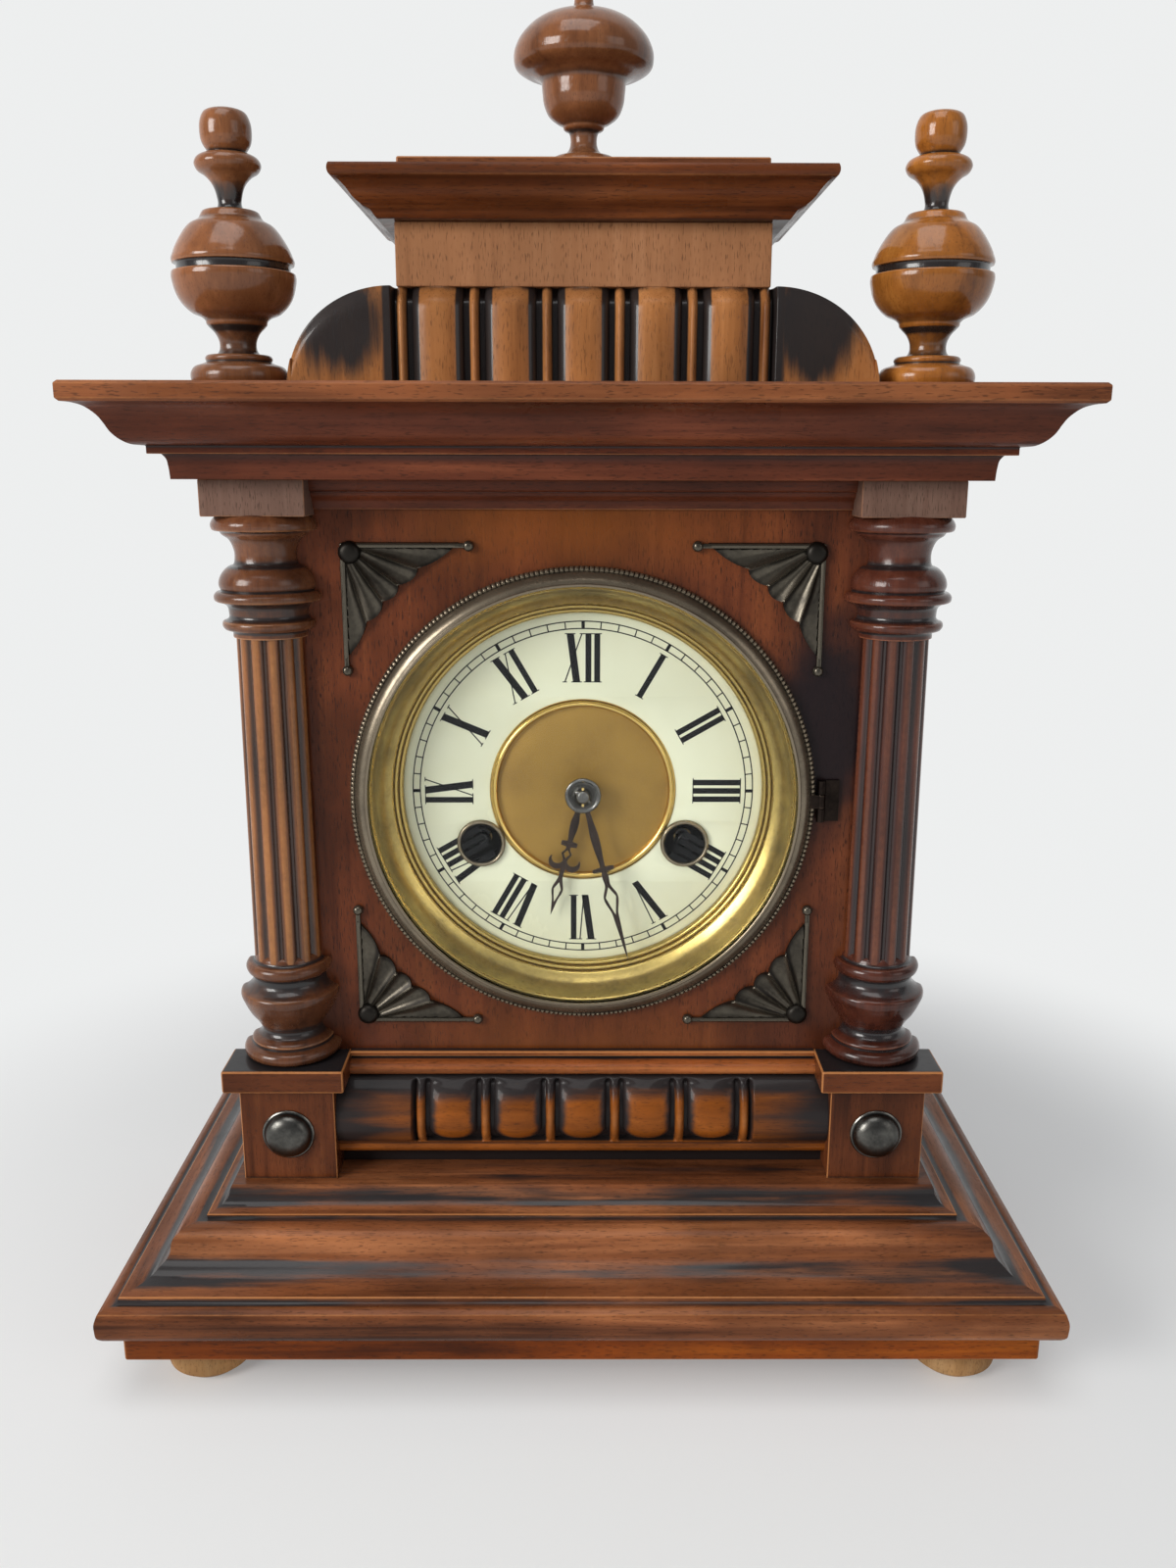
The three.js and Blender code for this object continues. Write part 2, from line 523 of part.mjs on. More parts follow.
// Cornice with its board, and the crest on top of it
function buildTop(group) {
  const c = cornice;
  const mould = moulded(pedestalEdge, pedestalFront, footBack, caseTop, c.reach, c.height, corniceShares);
  piece(group, "cornice_moulding", mould, finish.walnut);
  const boardBack = footBack;
  const shares = corniceBoardShares;
  const board = moulded(pedestalEdge, pedestalFront, boardBack, corniceTop, c.reach, c.board, shares);
  piece(group, "cornice_board", board, finish.walnut);

  const k = crest;
  const plan = gadroonPlan(crestHalfFoot + overrun, caseBack, crestFront, k, crestLobes, k.relief);
  const z0 = boardTopOfCornice;
  const steps = 8;
  const face = [[-crestHalfFoot, z0]];
  for (let i = 1; i <= steps; i += 1) {
    const turn = (Math.PI / 2) * (i / steps);
    const x = crestHalfTop + k.endRun * Math.cos(turn);
    face.push([-x, z0 + k.height * Math.sin(turn)]);
  }
  const mirrored = face.map(([x, z]) => [-x, z]).reverse();
  const through = caseBack - crestFront + 2 * overrun;
  const front = plate(outline([...face, ...mirrored]), crestFront - overrun, through);
  piece(group, "crest_gadroon", common(rise(plan, z0, crestTop), front), finish.walnut);

  const blockHalf = crestBlockHalf;
  const block = box(-blockHalf, blockHalf, crestBlockFront, caseBack, crestTop, crestBlockTop);
  piece(group, "crest_block", block, finish.paleWalnut);
  const { reach, height } = crestCap;
  const cap = moulded(blockHalf, crestBlockFront, caseBack, crestBlockTop, reach, height, crestCapShares);
  piece(group, "crest_cornice", cap, finish.walnut);
  const half = blockHalf - crestCap.topInset;
  const boardFront = crestBlockFront + crestCap.topInset;
  const top = box(-half, half, boardFront, caseBack - crestCap.topInset, crestCapTop, crestBoardTop);
  piece(group, "crest_top_board", top, finish.paleWalnut);
}

// Finial profiles from tip to foot, as [share of the greatest radius, share of the height]
const sideFinialShares = [
  [0, 1], [0.25, 0.99], [0.4, 0.955], [0.4, 0.89], [0.3, 0.85], [0.52, 0.83], [0.5, 0.79], [0.28, 0.755],
  [0.185, 0.68], [0.24, 0.645], [0.49, 0.635], [0.72, 0.585], [0.985, 0.455], [0.92, 0.445], [1, 0.428],
  [0.93, 0.34], [0.54, 0.255], [0.3, 0.17], [0.55, 0.12], [0.8, 0.075], [0.7, 0], [0, 0],
];
const centreFinialShares = [
  [0, 1], [0.15, 0.98], [0.2, 0.93], [0.14, 0.84], [0.16, 0.73], [0.55, 0.69], [0.82, 0.63], [1, 0.53],
  [0.95, 0.48], [0.6, 0.425], [0.56, 0.33], [0.38, 0.25], [0.2, 0.17], [0.45, 0.1], [0.52, 0.04], [0.48, 0],
  [0, 0],
];

// A turned finial from a table of shares
function finialShape(shares, radius, height) {
  return turned(shares.map(([r, h]) => [r * radius, h * height]), sides.finial);
}

function buildFinials(group) {
  const s = sideFinial;
  const y = corniceFront + s.fromFront;
  for (const [name, side] of [["left", -1], ["right", 1]]) {
    const shape = finialShape(sideFinialShares, s.ballRadius, s.height);
    piece(group, `${name}_finial`, shape, finish.turned, [side * finialX, y, boardTopOfCornice]);
  }
  const c = centreFinial;
  const shape = finialShape(centreFinialShares, c.domeRadius, c.height);
  piece(group, "centre_finial", shape, finish.turned, [0, crestBlockFront + c.fromFront, crestBoardTop]);
}

// Side walls, back frame, door, hinge and button
function buildBack(group) {
  const w = bodyHalf;
  const left = box(-w, -w + body.wall, panelBack, frameFront, baseTop, caseTop);
  piece(group, "left_side", left, finish.walnut);
  piece(group, "right_side", box(w - body.wall, w, panelBack, frameFront, baseTop, caseTop), finish.walnut);
  const d = door;
  const frame = box(-w, w, frameFront, caseBack, baseTop, caseTop);
  const opening = box(-doorHalf, doorHalf, frameFront - overrun, caseBack + overrun, doorBottom, doorTop);
  piece(group, "back_frame", cut(frame, opening), finish.walnut);

  // The hinge barrel stands behind the back, at the right edge of the opening
  const axisX = doorHalf;
  const axisY = caseBack + d.stand;
  const inside = doorHalf - d.gap;
  const panel = box(-inside, inside, frameFront, caseBack, doorBottom + d.gap, doorTop - d.gap);
  const from = doorBottom + 2 * d.leafWidth;
  const to = doorTop - 2 * d.leafWidth;
  const step = (to - from) / d.knuckles;
  const fixed = [];
  const moving = [panel];
  for (let i = 0; i < d.knuckles; i += 1) {
    const z0 = from + i * step + runGap / 2;
    const z1 = from + (i + 1) * step - runGap / 2;
    const tube = barZ(d.barrel, z0, z1, sides.pin, axisX, axisY);
    const frameWeb = box(axisX, axisX + d.barrel, caseBack, axisY, z0, z1);
    const [webFront, webBack] = [caseBack - d.sunk, caseBack + d.leafThickness];
    const doorWeb = box(axisX - d.leafWidth, axisX - d.gap, webFront, webBack, z0, z1);
    const doorRoot = box(axisX - d.barrel, axisX - d.gap, caseBack - d.sunk, axisY, z0, z1);
    if (i % 2 === 0) fixed.push(tube, frameWeb);
    else moving.push(tube, doorWeb, doorRoot);
  }
  const bore = barZ(d.bore, doorBottom, doorTop, sides.pin, axisX, axisY);
  const pin = barZ(d.pin, from, to, sides.pin, axisX, axisY);
  const strip = box(axisX + d.barrel, axisX + d.leafWidth, caseBack, caseBack + d.leafThickness, from, to);
  piece(group, "door_hinge", join(...fixed, strip, pin), finish.brass);
  piece(group, "rear_door", cut(join(...moving), bore), finish.walnut);

  // The turn button, standing upright beside the door
  const b = button;
  const buttonX = -(doorHalf + b.width / 2 + b.clear / 2);
  const bar = plate(stadium(b.width, b.length), 0, b.thickness);
  const screw = barY(b.screw, 0, b.thickness + b.screwHead, sides.pin);
  const buttonZ = (doorBottom + doorTop) / 2;
  piece(group, "turn_button", join(bar, screw), finish.brass, [buttonX, caseBack + seatGap, buttonZ]);
}

// A bar with round ends, long in the second direction
function stadium(width, length) {
  const steps = 4;
  const points = [];
  const r = width / 2;
  for (const end of [1, -1]) {
    for (let i = 0; i <= steps; i += 1) {
      const turn = Math.PI * (i / steps);
      points.push([end * r * Math.cos(turn), end * (length / 2 - r + r * Math.sin(turn))]);
    }
  }
  return outline(points);
}

// Half outlines of the hands, as [share of half the crossbar, share of the length], and what is pierced in them
const hourHandShares = [
  [0.45, 0], [0.34, 0.2], [0.45, 0.39], [1, 0.4], [1, 0.43], [0.24, 0.435], [0.16, 0.48], [0.34, 0.52],
  [0.24, 0.6], [0.3, 0.66], [0.64, 0.75], [0.27, 0.9], [0, 1],
];
const hourPiercedShares = [[0, 0.7], [0.3, 0.76], [0, 0.86]];
const minuteHandShares = [
  [0.32, 0], [0.29, 0.2], [0.48, 0.38], [0.36, 0.44], [1, 0.45], [1, 0.475], [0.25, 0.48], [0.2, 0.53],
  [0.6, 0.64], [0.22, 0.84], [0, 1],
];
const minutePiercedShares = [[0, 0.55], [0.36, 0.64], [0, 0.81]];

// A symmetric outline from the half that the shares give
function handOutline(shares, size) {
  const right = shares.map(([w, l]) => [w * size.bar, l * size.length]);
  const left = right.filter(([w]) => w > 0).map(([w, l]) => [-w, l]).reverse();
  return outline([...right, ...left]);
}

// A hand cut from thin plate, turned clockwise from twelve
function handShape(size, angle, shares, piercedShares, extras, bore) {
  const shape = handOutline(shares, size);
  shape.holes.push(new THREE.Path(handOutline(piercedShares, size).getPoints()));
  const blade = plate(shape, 0, size.thickness);
  const disc = barY(size.collet, 0, size.thickness, sides.small);
  const hole = barY(bore, -overrun, size.thickness + overrun, sides.small);
  return cut(join(blade, disc, ...extras), hole).rotate([0, angle, 0]);
}

// A crescent scroll on one side of the hour hand
function scroll(size, side) {
  const steps = 5;
  const outer = size.scroll / 2;
  const inside = outer * 0.6;
  const middle = size.length * 0.6;
  const arc = (radius) => Array.from({ length: steps + 1 }, (_, i) => {
    const turn = Math.PI * (0.75 + 1.1 * (i / steps));
    return [side * (outer + radius * Math.cos(turn)), middle + radius * Math.sin(turn)];
  });
  return plate(outline([...arc(outer), ...arc(inside).reverse()]), 0, size.thickness);
}

// Both hands, one over the other, with a washer fixed on the minute hand
function buildHands(group) {
  const h = hourHand;
  const scrolls = [scroll(h, -1), scroll(h, 1)];
  const pipeHole = hourPipe.outer + runGap;
  const hour = handShape(h, handAngle.hour, hourHandShares, hourPiercedShares, scrolls, pipeHole);
  piece(group, "hour_hand", hour, finish.blued, [0, -h.front, 0]);
  const m = minuteHand;
  const cap = barY(washer.radius, -washer.thickness, 0, sides.foot);
  const arborHole = hourPipe.arbor + runGap;
  const minute = handShape(m, handAngle.minute, minuteHandShares, minutePiercedShares, [cap], arborHole);
  piece(group, "minute_hand", minute, finish.blued, [0, -m.front, 0]);
}

// The enamel ring, and the brass pan behind it with two winding eyelets and three feet on the front plate
function buildDial(group) {
  const d = dial;
  const p = pan;
  const w = winding;
  const tube = w.holeRadius + w.tubeWall;
  const places = [-1, 1].map((side) => [side * w.apart / 2, -w.below]);
  const bores = (radius) => places.map(([x, z]) => {
    return barY(radius, -overrun, d.thickness + p.thickness + overrun, sides.foot, x, z);
  });
  const ring = turnedBack([
    [d.centreHole, 0], [d.radius, 0], [d.radius, d.thickness], [d.centreHole, d.thickness], [d.centreHole, 0],
  ], sides.ring);
  piece(group, "enamel_dial", cut(ring, ...bores(tube + runGap)), finish.enamel);

  const front = d.thickness + seatGap;
  const back = front + p.thickness;
  const middle = (p.ringInner + p.ringOuter) / 2;
  const disc = turnedBack([
    [p.arborHole, p.bare], [p.ringInner, p.bare], [middle, p.bare - p.ringRise], [p.ringOuter, p.bare],
    [p.ringOuter, front], [p.radius, front], [p.radius, back], [p.arborHole, back], [p.arborHole, p.bare],
  ], sides.pan);
  const eyelets = places.map(([x, z]) => turnedBack([
    [w.holeRadius, -w.rim * 0.75], [w.holeRadius + w.flange / 2, -w.rim], [w.holeRadius + w.flange, -w.rim / 4],
    [tube, -w.rim / 4], [tube, w.depth], [w.holeRadius, w.depth],
    [w.holeRadius, -w.rim * 0.75],
  ], sides.foot, Math.PI / sides.foot).translate(x, 0, z));
  const feet = panFootAngles.map((degrees) => {
    const turn = THREE.MathUtils.degToRad(degrees);
    const [x, z] = [p.footCircle * Math.cos(turn), p.footCircle * Math.sin(turn)];
    return barY(p.footRadius, (front + back) / 2, plates.front, sides.pin, x, z);
  });
  piece(group, "dial_pan", join(cut(disc, ...bores(w.holeRadius)), ...eyelets, ...feet), finish.brass);
}

// Profiles of the bezel and the sight ring, as [share of the width, share of the depth]
const bezelRimShares = [[1, 0.42], [0.8, 0.52], [0.6, 0.45], [0.4, 0.77], [0.1, 1]];
const sightFrontShares = [[0.95, 0], [0.8, 0.28], [0.34, 0.67], [0.26, 0.79], [0.08, 0.88], [0, 0.96]];
const sightBackShares = [[0, 1], [0.12, 1], [0.58, 0.72], [1, 0]];

// The bezel with its knuckle, the glass, the sight ring behind it, and the hinge plate on the panel
function buildBezel(group) {
  const b = bezel;
  const width = b.outer - b.bore;
  const face = -dial.setBack;
  const rear = face - b.panelGap;
  const lipFront = face - b.stand;
  const lipBack = lipFront + b.lipDepth;
  const rim = bezelRimShares.map(([across, out]) => [b.bore + across * width, face - out * b.stand]);
  const profile = [
    [b.bore, rear], [b.outer, rear], ...rim, [b.lip, lipFront], [b.lip, lipBack], [b.bore, lipBack],
    [b.bore, rear],
  ];
  const g = bezelHinge;
  const axisX = b.outer + g.stand;
  const axisY = rear - g.barrel - g.pin / 2;
  const half = g.knuckle / 2;
  const arm = box(b.outer - width / 2, axisX, axisY - g.barrel, axisY + g.pin, -half, half);
  const knuckle = barZ(g.barrel, -half, half, sides.pin, axisX, axisY);
  const bore = barZ(g.bore, -g.length, g.length, sides.pin, axisX, axisY);
  const ring = turnedBack(profile, sides.ring);
  piece(group, "bezel", cut(join(ring, arm, knuckle), bore), finish.bronze);

  const end = g.length / 2;
  const knuckles = [[half + runGap, end], [-end, -half - runGap]].flatMap(([z0, z1]) => [
    barZ(g.barrel, z0, z1, sides.pin, axisX, axisY), box(axisX, axisX + g.barrel, axisY, face, z0, z1),
  ]);
  const leaf = box(axisX + g.barrel, axisX + g.leaf, face - g.leafThickness, face, -end, end);
  const pin = barZ(g.pin, -end, end, sides.pin, axisX, axisY);
  piece(group, "bezel_hinge", join(...knuckles, leaf, pin), finish.bronze);

  const glassFront = lipBack + glass.edgeGap;
  const glassBack = glassFront + glass.thickness;
  const pane = barY(b.bore - glass.edgeGap, glassFront, glassBack, sides.ring);
  piece(group, "dial_glass", pane.rotateY(Math.PI / sides.ring), finish.glass);

  // The sight ring curves from the glass down to the edge of the dial
  const from = glassBack + glass.edgeGap;
  const depth = -sight.dialGap - from;
  const reach = b.bore - sight.edgeGap - dial.visible;
  const place = ([across, down]) => [dial.visible + across * reach, from + down * depth];
  const sightProfile = [...sightFrontShares, ...sightBackShares, sightFrontShares[0]].map(place);
  piece(group, "sight_ring", turnedBack(sightProfile, sides.ring), finish.brass);
}

// A low dome with its flat side at y = 0 and its crown towards the front
function domeShape(radius, height) {
  const steps = 2;
  const profile = [[0, 0], [radius, 0]];
  for (let i = 1; i <= steps; i += 1) {
    const turn = (Math.PI / 2) * (i / steps);
    profile.push([radius * Math.cos(turn), -height * Math.sin(turn)]);
  }
  return turnedBack(profile, sides.fine);
}

// A pressed corner fan: flutes spread from a dome in the corner and end on a hollow edge between two arms
function fanShape(side, up) {
  const f = fan;
  const centre = (f.arm + Math.sqrt(2 * f.edgeRadius ** 2 - f.arm ** 2)) / 2;
  const apart = 2 * centre ** 2 - f.edgeRadius ** 2;
  const rays = 2 * fanFlutes;
  const place = [0, 0, 0, 0, 0, f.plate];
  for (let i = 0; i <= rays; i += 1) {
    const turn = (Math.PI / 2) * (i / rays);
    const along = centre * (Math.cos(turn) + Math.sin(turn));
    const onRidge = i % 2 === 1;
    const reach = (along - Math.sqrt(along * along - apart)) * (onRidge ? 1.02 : 0.98);
    const [u, v] = [reach * Math.cos(turn), reach * Math.sin(turn)];
    place.push(u, v, 0, u, v, f.plate + (onRidge ? f.rise : 0));
  }
  const last = 2 + 2 * rays;
  const corner = [0, 2, 3, 0, 3, 1, last, 0, 1, last, 1, last + 1];
  for (let a = 2; a < last; a += 2) {
    const b = a + 2;
    corner.push(1, a + 1, b + 1, 0, b, a, a, b, b + 1, a, b + 1, a + 1);
  }
  const made = new THREE.BufferGeometry();
  made.setAttribute("position", new THREE.Float32BufferAttribute(place, 3));
  made.setIndex(corner);
  const [inward, down, out] = [[-side, 0, 0], [0, 0, -up], [0, -1, 0]].map((axis) => new THREE.Vector3(...axis));
  made.applyMatrix4(new THREE.Matrix4().makeBasis(inward, down, out));
  const inset = f.dome * 0.9;
  const dome = domeShape(f.dome, f.plate + f.rise).translate(-side * inset, 0, -up * inset);
  const balls = [[f.arm, f.ball / 2], [f.ball / 2, f.arm]].map(([u, v]) => {
    return domeShape(f.ball, f.plate + f.ball).translate(-side * u, 0, -up * v);
  });
  return join(made, dome, ...balls);
}

function buildFans(group) {
  for (const [row, up] of [["upper", 1], ["lower", -1]]) {
    for (const [name, side] of [["left", -1], ["right", 1]]) {
      const at = [side * fanX, -dial.setBack, up > 0 ? fanAbove : -fanBelow];
      piece(group, `${row}_${name}_fan`, fanShape(side, up), finish.bronze, at);
    }
  }
}

// Where two circles meet, on the upper side of the line between their centres
function meet([ax, az], ra, [bx, bz], rb) {
  const gap = Math.hypot(bx - ax, bz - az);
  const along = (ra * ra - rb * rb + gap * gap) / (2 * gap);
  const up = Math.sqrt(ra * ra - along * along);
  const [ux, uz] = [(bx - ax) / gap, (bz - az) / gap];
  const lift = ux >= 0 ? 1 : -1;
  return [ax + ux * along - lift * uz * up, az + uz * along + lift * ux * up];
}

// The angle from one arbor to another, seen from the front
function towards([ax, az], [bx, bz]) {
  return Math.atan2(bz - az, bx - ax);
}

// Distance between the arbors of a wheel and a pinion of one tooth size
function meshing(wheelTeeth, pinionLeaves, size) {
  return (size * (wheelTeeth + pinionLeaves)) / 2;
}

// A place at the given distance and angle from another
function around([x, z], distance, degrees) {
  const turn = THREE.MathUtils.degToRad(degrees);
  return [x + distance * Math.cos(turn), z + distance * Math.sin(turn)];
}

// The places of the arbors, seen from the front, with the centre arbor at the origin
const place = { centre: [0, 0] };
place.goingBarrel = [winding.apart / 2, -winding.below];
place.strikeBarrel = [-winding.apart / 2, -winding.below];
const fromBarrel = meshing(teeth.barrel, leaves.second, pitchSize.barrel);
const toCentre = meshing(teeth.second, leaves.centre, pitchSize.second);
place.second = meet(place.centre, toCentre, place.goingBarrel, fromBarrel);
place.pin = [-place.second[0], place.second[1]];
place.third = around(place.centre, meshing(teeth.centre, leaves.third, pitchSize.centre), trainAngle.third);
const toEscape = meshing(teeth.third, leaves.escape, pitchSize.third);
place.escape = [0, place.third[1] + Math.sqrt(toEscape ** 2 - place.third[0] ** 2)];
place.anchor = [0, place.escape[1] + escape.above];
place.minute = around(place.centre, meshing(teeth.minute, leaves.cannon, pitchSize.cannon), trainAngle.minute);
place.fly = around(place.pin, meshing(teeth.pin, leaves.fly, pitchSize.pin), trainAngle.fly);
place.hammer = [hammer.x, hammer.z];

// Where a piece that turns about one of the arbors is placed
function on(name) {
  return [place[name][0], 0, place[name][1]];
}

// A toothed outline with one tooth at the angle given
function gearOutline(count, size, toothAt) {
  const tip = (size * count) / 2 + tooth.riseShare * size;
  const root = tip - (tooth.riseShare + tooth.depthShare) * size;
  const step = Math.PI / count;
  return outline(Array.from({ length: 2 * count }, (_, k) => {
    const radius = k % 2 === 0 ? tip : root;
    const angle = toothAt + k * step;
    return [radius * Math.cos(angle), radius * Math.sin(angle)];
  }));
}

// A wheel with a tooth towards the pinion that it meets
function wheelPlate(count, size, toothAt, from, thickness = wheelThickness) {
  return plate(gearOutline(count, size, toothAt), from, thickness);
}

// A pinion with a gap towards the wheel that it meets, a little longer than that wheel is thick
function pinionPlate(count, size, gapAt, wheelFrom, wheelDepth = wheelThickness) {
  const spare = arbor.shoulder;
  return plate(gearOutline(count, size, gapAt + Math.PI / count), wheelFrom - spare, wheelDepth + 2 * spare);
}

// An arbor between the plates with a fine pivot at each end
function arborShape(radius) {
  const shaft = barY(radius, platesInner + arbor.shoulder, backPlateFront - arbor.shoulder, sides.fine);
  return [shaft, barY(arbor.pivot, plates.front, backPlateEnd, sides.fine)];
}

// An arbor that runs out behind the back plate, with a fine pivot only in front
function longArbor(radius, end) {
  const shaft = barY(radius, platesInner + arbor.shoulder, end, sides.fine);
  return [shaft, barY(arbor.pivot, plates.front, platesInner + 2 * arbor.shoulder, sides.fine)];
}

// A hole through one of the plates, wide enough for what turns in it
function plateHole(name, radius, y0) {
  const [x, z] = place[name];
  const count = radius > arbor.light ? sides.pin : sides.fine;
  return barY(radius + runGap, y0 - overrun, y0 + plates.thickness + overrun, count, x, z);
}

// Both plates, with lugs to the panel, pillars, the cock for the pendulum and the holes for the pivots
function buildPlates(group) {
  const p = plates;
  const lugs = [];
  const panelRear = body.panelThickness - dial.setBack;
  const half = lug.barWidth / 2;
  for (const side of [-1, 1]) {
    for (const z of [lug.upper, -lug.lower]) {
      const ends = [side * (lug.x + half), side * (p.halfWidth - half)].sort((a, b) => a - b);
      lugs.push(box(...ends, p.front, platesInner, z - half, z + half));
      lugs.push(barY(lug.postRadius, panelRear, platesInner, sides.pin, side * lug.x, z));
    }
  }
  const [mx, mz] = place.minute;
  const pintle = barY(arbor.fine, hourPipe.wheelFrom - 2 * runGap, p.front + arbor.shoulder, sides.fine, mx, mz);
  const ratchetTip = (ratchet.size * teeth.ratchet) / 2 + tooth.riseShare * ratchet.size;
  const clicks = [place.goingBarrel, place.strikeBarrel].map(([x, z]) => {
    const [w, foot0] = [ratchet.click / 2, z + ratchetTip + runGap];
    const back = platesInner + runGap + ratchet.thickness;
    return box(x - w, x + w, platesInner - arbor.shoulder, back, foot0, foot0 + ratchet.click);
  });
  const fine = ["second", "third", "escape", "pin", "fly"];
  const large = ["goingBarrel", "strikeBarrel"];
  const frontHoles = [
    ...[...fine, "anchor", "hammer"].map((name) => plateHole(name, arbor.pivot, p.front)),
    ...large.map((name) => plateHole(name, arbor.heavy, p.front)), plateHole("centre", hourPipe.arbor, p.front),
  ];
  const front = box(-p.halfWidth, p.halfWidth, p.front, platesInner, -p.bottom, p.top);
  piece(group, "front_plate", cut(join(front, ...lugs, pintle, ...clicks), ...frontHoles), finish.brass);

  const back = box(-p.halfWidth, p.halfWidth, backPlateFront, backPlateEnd, -p.bottom, p.top);
  const pillars = [-1, 1].flatMap((side) => [p.top - p.pillarInset, p.pillarInset - p.bottom].map((z) => {
    const x = side * (p.halfWidth - p.pillarInset);
    return barY(p.pillar, platesInner, backPlateFront + arbor.shoulder, sides.pin, x, z);
  }));
  const c = cock;
  const axisZ = place.anchor[1];
  const w = c.width / 2;
  const reachEnd = backPlateEnd + c.reach;
  const top = axisZ + c.above;
  const arm = box(-w, w, backPlateEnd - arbor.shoulder, reachEnd, top - c.thickness, top);
  const drop = box(-w, w, reachEnd - c.thickness, reachEnd, axisZ - c.thickness, top);
  const stem = barY(arbor.fine, pendulumFront - arbor.shoulder, reachEnd, sides.fine, 0, axisZ);
  const backHoles = [
    ...[...fine, "centre"].map((name) => plateHole(name, arbor.pivot, backPlateFront)),
    ...["anchor", "hammer"].map((name) => plateHole(name, arbor.light, backPlateFront)),
    ...large.map((name) => plateHole(name, arbor.heavy, backPlateFront)),
  ];
  piece(group, "back_plate", join(cut(join(back, ...pillars), ...backHoles), arm, drop, stem), finish.brass);
}

// A spring barrel with its great wheel, and the winding arbor that runs through it
function buildBarrels(group) {
  const from = platesInner + barrel.from;
  const wheelFrom = platesInner + level.great;
  for (const [name, at, driven] of [["going", "goingBarrel", "second"], ["strike", "strikeBarrel", "pin"]]) {
    const drum = barY(barrel.radius, from, from + barrel.length, sides.finial);
    const toothAt = towards(place[at], place[driven]);
    const wheel = wheelPlate(teeth.barrel, pitchSize.barrel, toothAt, wheelFrom, barrel.wheel);
    const bore = barY(arbor.heavy + runGap, from - overrun, wheelFrom + barrel.wheel + overrun, sides.pin);
    piece(group, `${name}_barrel`, cut(join(drum, wheel), bore), finish.brass, on(at));
    const shaft = barY(arbor.heavy, plates.front - runGap, backPlateEnd, sides.pin);
    const square = arbor.heavy * Math.SQRT1_2;
    const tip = box(-square, square, arbor.squareFront, plates.front, -square, square);
    const teethPlate = wheelPlate(teeth.ratchet, ratchet.size, 0, platesInner + runGap, ratchet.thickness);
    piece(group, `${name}_winding_arbor`, join(shaft, tip, teethPlate), finish.steel, on(at));
  }
}

// The going train from the second wheel to the escape wheel
function buildTrain(group) {
  const names = ["great", "second", "centre", "third"];
  const [great, second, centre, third] = names.map((name) => platesInner + level[name]);
  const toBarrel = towards(place.second, place.goingBarrel);
  const secondPinion = pinionPlate(leaves.second, pitchSize.barrel, toBarrel, great, barrel.wheel);
  const secondWheel = wheelPlate(teeth.second, pitchSize.second, towards(place.second, place.centre), second);
  const secondParts = [...arborShape(arbor.light), secondPinion, secondWheel];
  piece(group, "second_wheel", join(...secondParts), finish.brass, on("second"));

  const centrePinion = pinionPlate(leaves.centre, pitchSize.second, towards(place.centre, place.second), second);
  const centreWheel = wheelPlate(teeth.centre, pitchSize.centre, towards(place.centre, place.third), centre);
  const h = hourPipe;
  const cannonAt = towards(place.centre, place.minute);
  const cannon = wheelPlate(leaves.cannon, pitchSize.cannon, cannonAt, h.cannonFrom, h.cannonLength);
  const nose = -(minuteHand.front + washer.thickness + 4 * washer.pinRadius);
  const front = barY(h.arbor, nose, centre, sides.pin);
  const half = washer.pinLength / 2;
  const taper = barZ(washer.pinRadius, -half, half, sides.fine, 0, nose + 2 * washer.pinRadius);
  const centreParts = [...arborShape(arbor.light), front, centrePinion, centreWheel, cannon, taper];
  piece(group, "centre_wheel", join(...centreParts), finish.brass);

  const thirdPinion = pinionPlate(leaves.third, pitchSize.centre, towards(place.third, place.centre), centre);
  const thirdWheel = wheelPlate(teeth.third, pitchSize.third, towards(place.third, place.escape), third);
  const thirdParts = [...arborShape(arbor.light), thirdPinion, thirdWheel];
  piece(group, "third_wheel", join(...thirdParts), finish.brass, on("third"));

  const escapePinion = pinionPlate(leaves.escape, pitchSize.third, towards(place.escape, place.third), third);
  const step = (2 * Math.PI) / teeth.escape;
  const rootRadius = escape.radius - escape.depth;
  const rim = Array.from({ length: teeth.escape }, (_, k) => k * step).flatMap((angle) => {
    const lean = angle + step / 4;
    return [
      [escape.radius * Math.cos(angle), escape.radius * Math.sin(angle)],
      [rootRadius * Math.cos(lean), rootRadius * Math.sin(lean)],
    ];
  });
  const escapeWheel = plate(outline(rim), platesInner + level.escape, wheelThickness);
  const escapeParts = [...arborShape(arbor.fine), escapePinion, escapeWheel];
  piece(group, "escape_wheel", join(...escapeParts), finish.brass, on("escape"));
}

// The motion work under the dial: minute wheel with its pinion, and hour wheel with its pipe
function buildMotionWork(group) {
  const h = hourPipe;
  const inward = towards(place.minute, place.centre);
  const wheelFrom = h.cannonFrom + runGap;
  const wheel = wheelPlate(teeth.minute, pitchSize.cannon, inward + Math.PI / teeth.minute, wheelFrom);
  const pinionFrom = h.wheelFrom + arbor.shoulder;
  const pinion = pinionPlate(leaves.minute, pitchSize.minute, inward, pinionFrom, wheelFrom - pinionFrom);
  const bore = barY(arbor.fine + runGap, -overrun, plates.front, sides.pin);
  piece(group, "minute_wheel", cut(join(wheel, pinion), bore), finish.brass, on("minute"));

  const hourWheel = wheelPlate(teeth.hour, pitchSize.minute, towards(place.centre, place.minute), h.wheelFrom);
  const pipe = barY(h.outer, -h.front, h.wheelFrom + wheelThickness, sides.small);
  const pipeBore = barY(h.bore, -h.front - overrun, h.cannonFrom, sides.small);
  piece(group, "hour_wheel", cut(join(hourWheel, pipe), pipeBore), finish.brass);
}

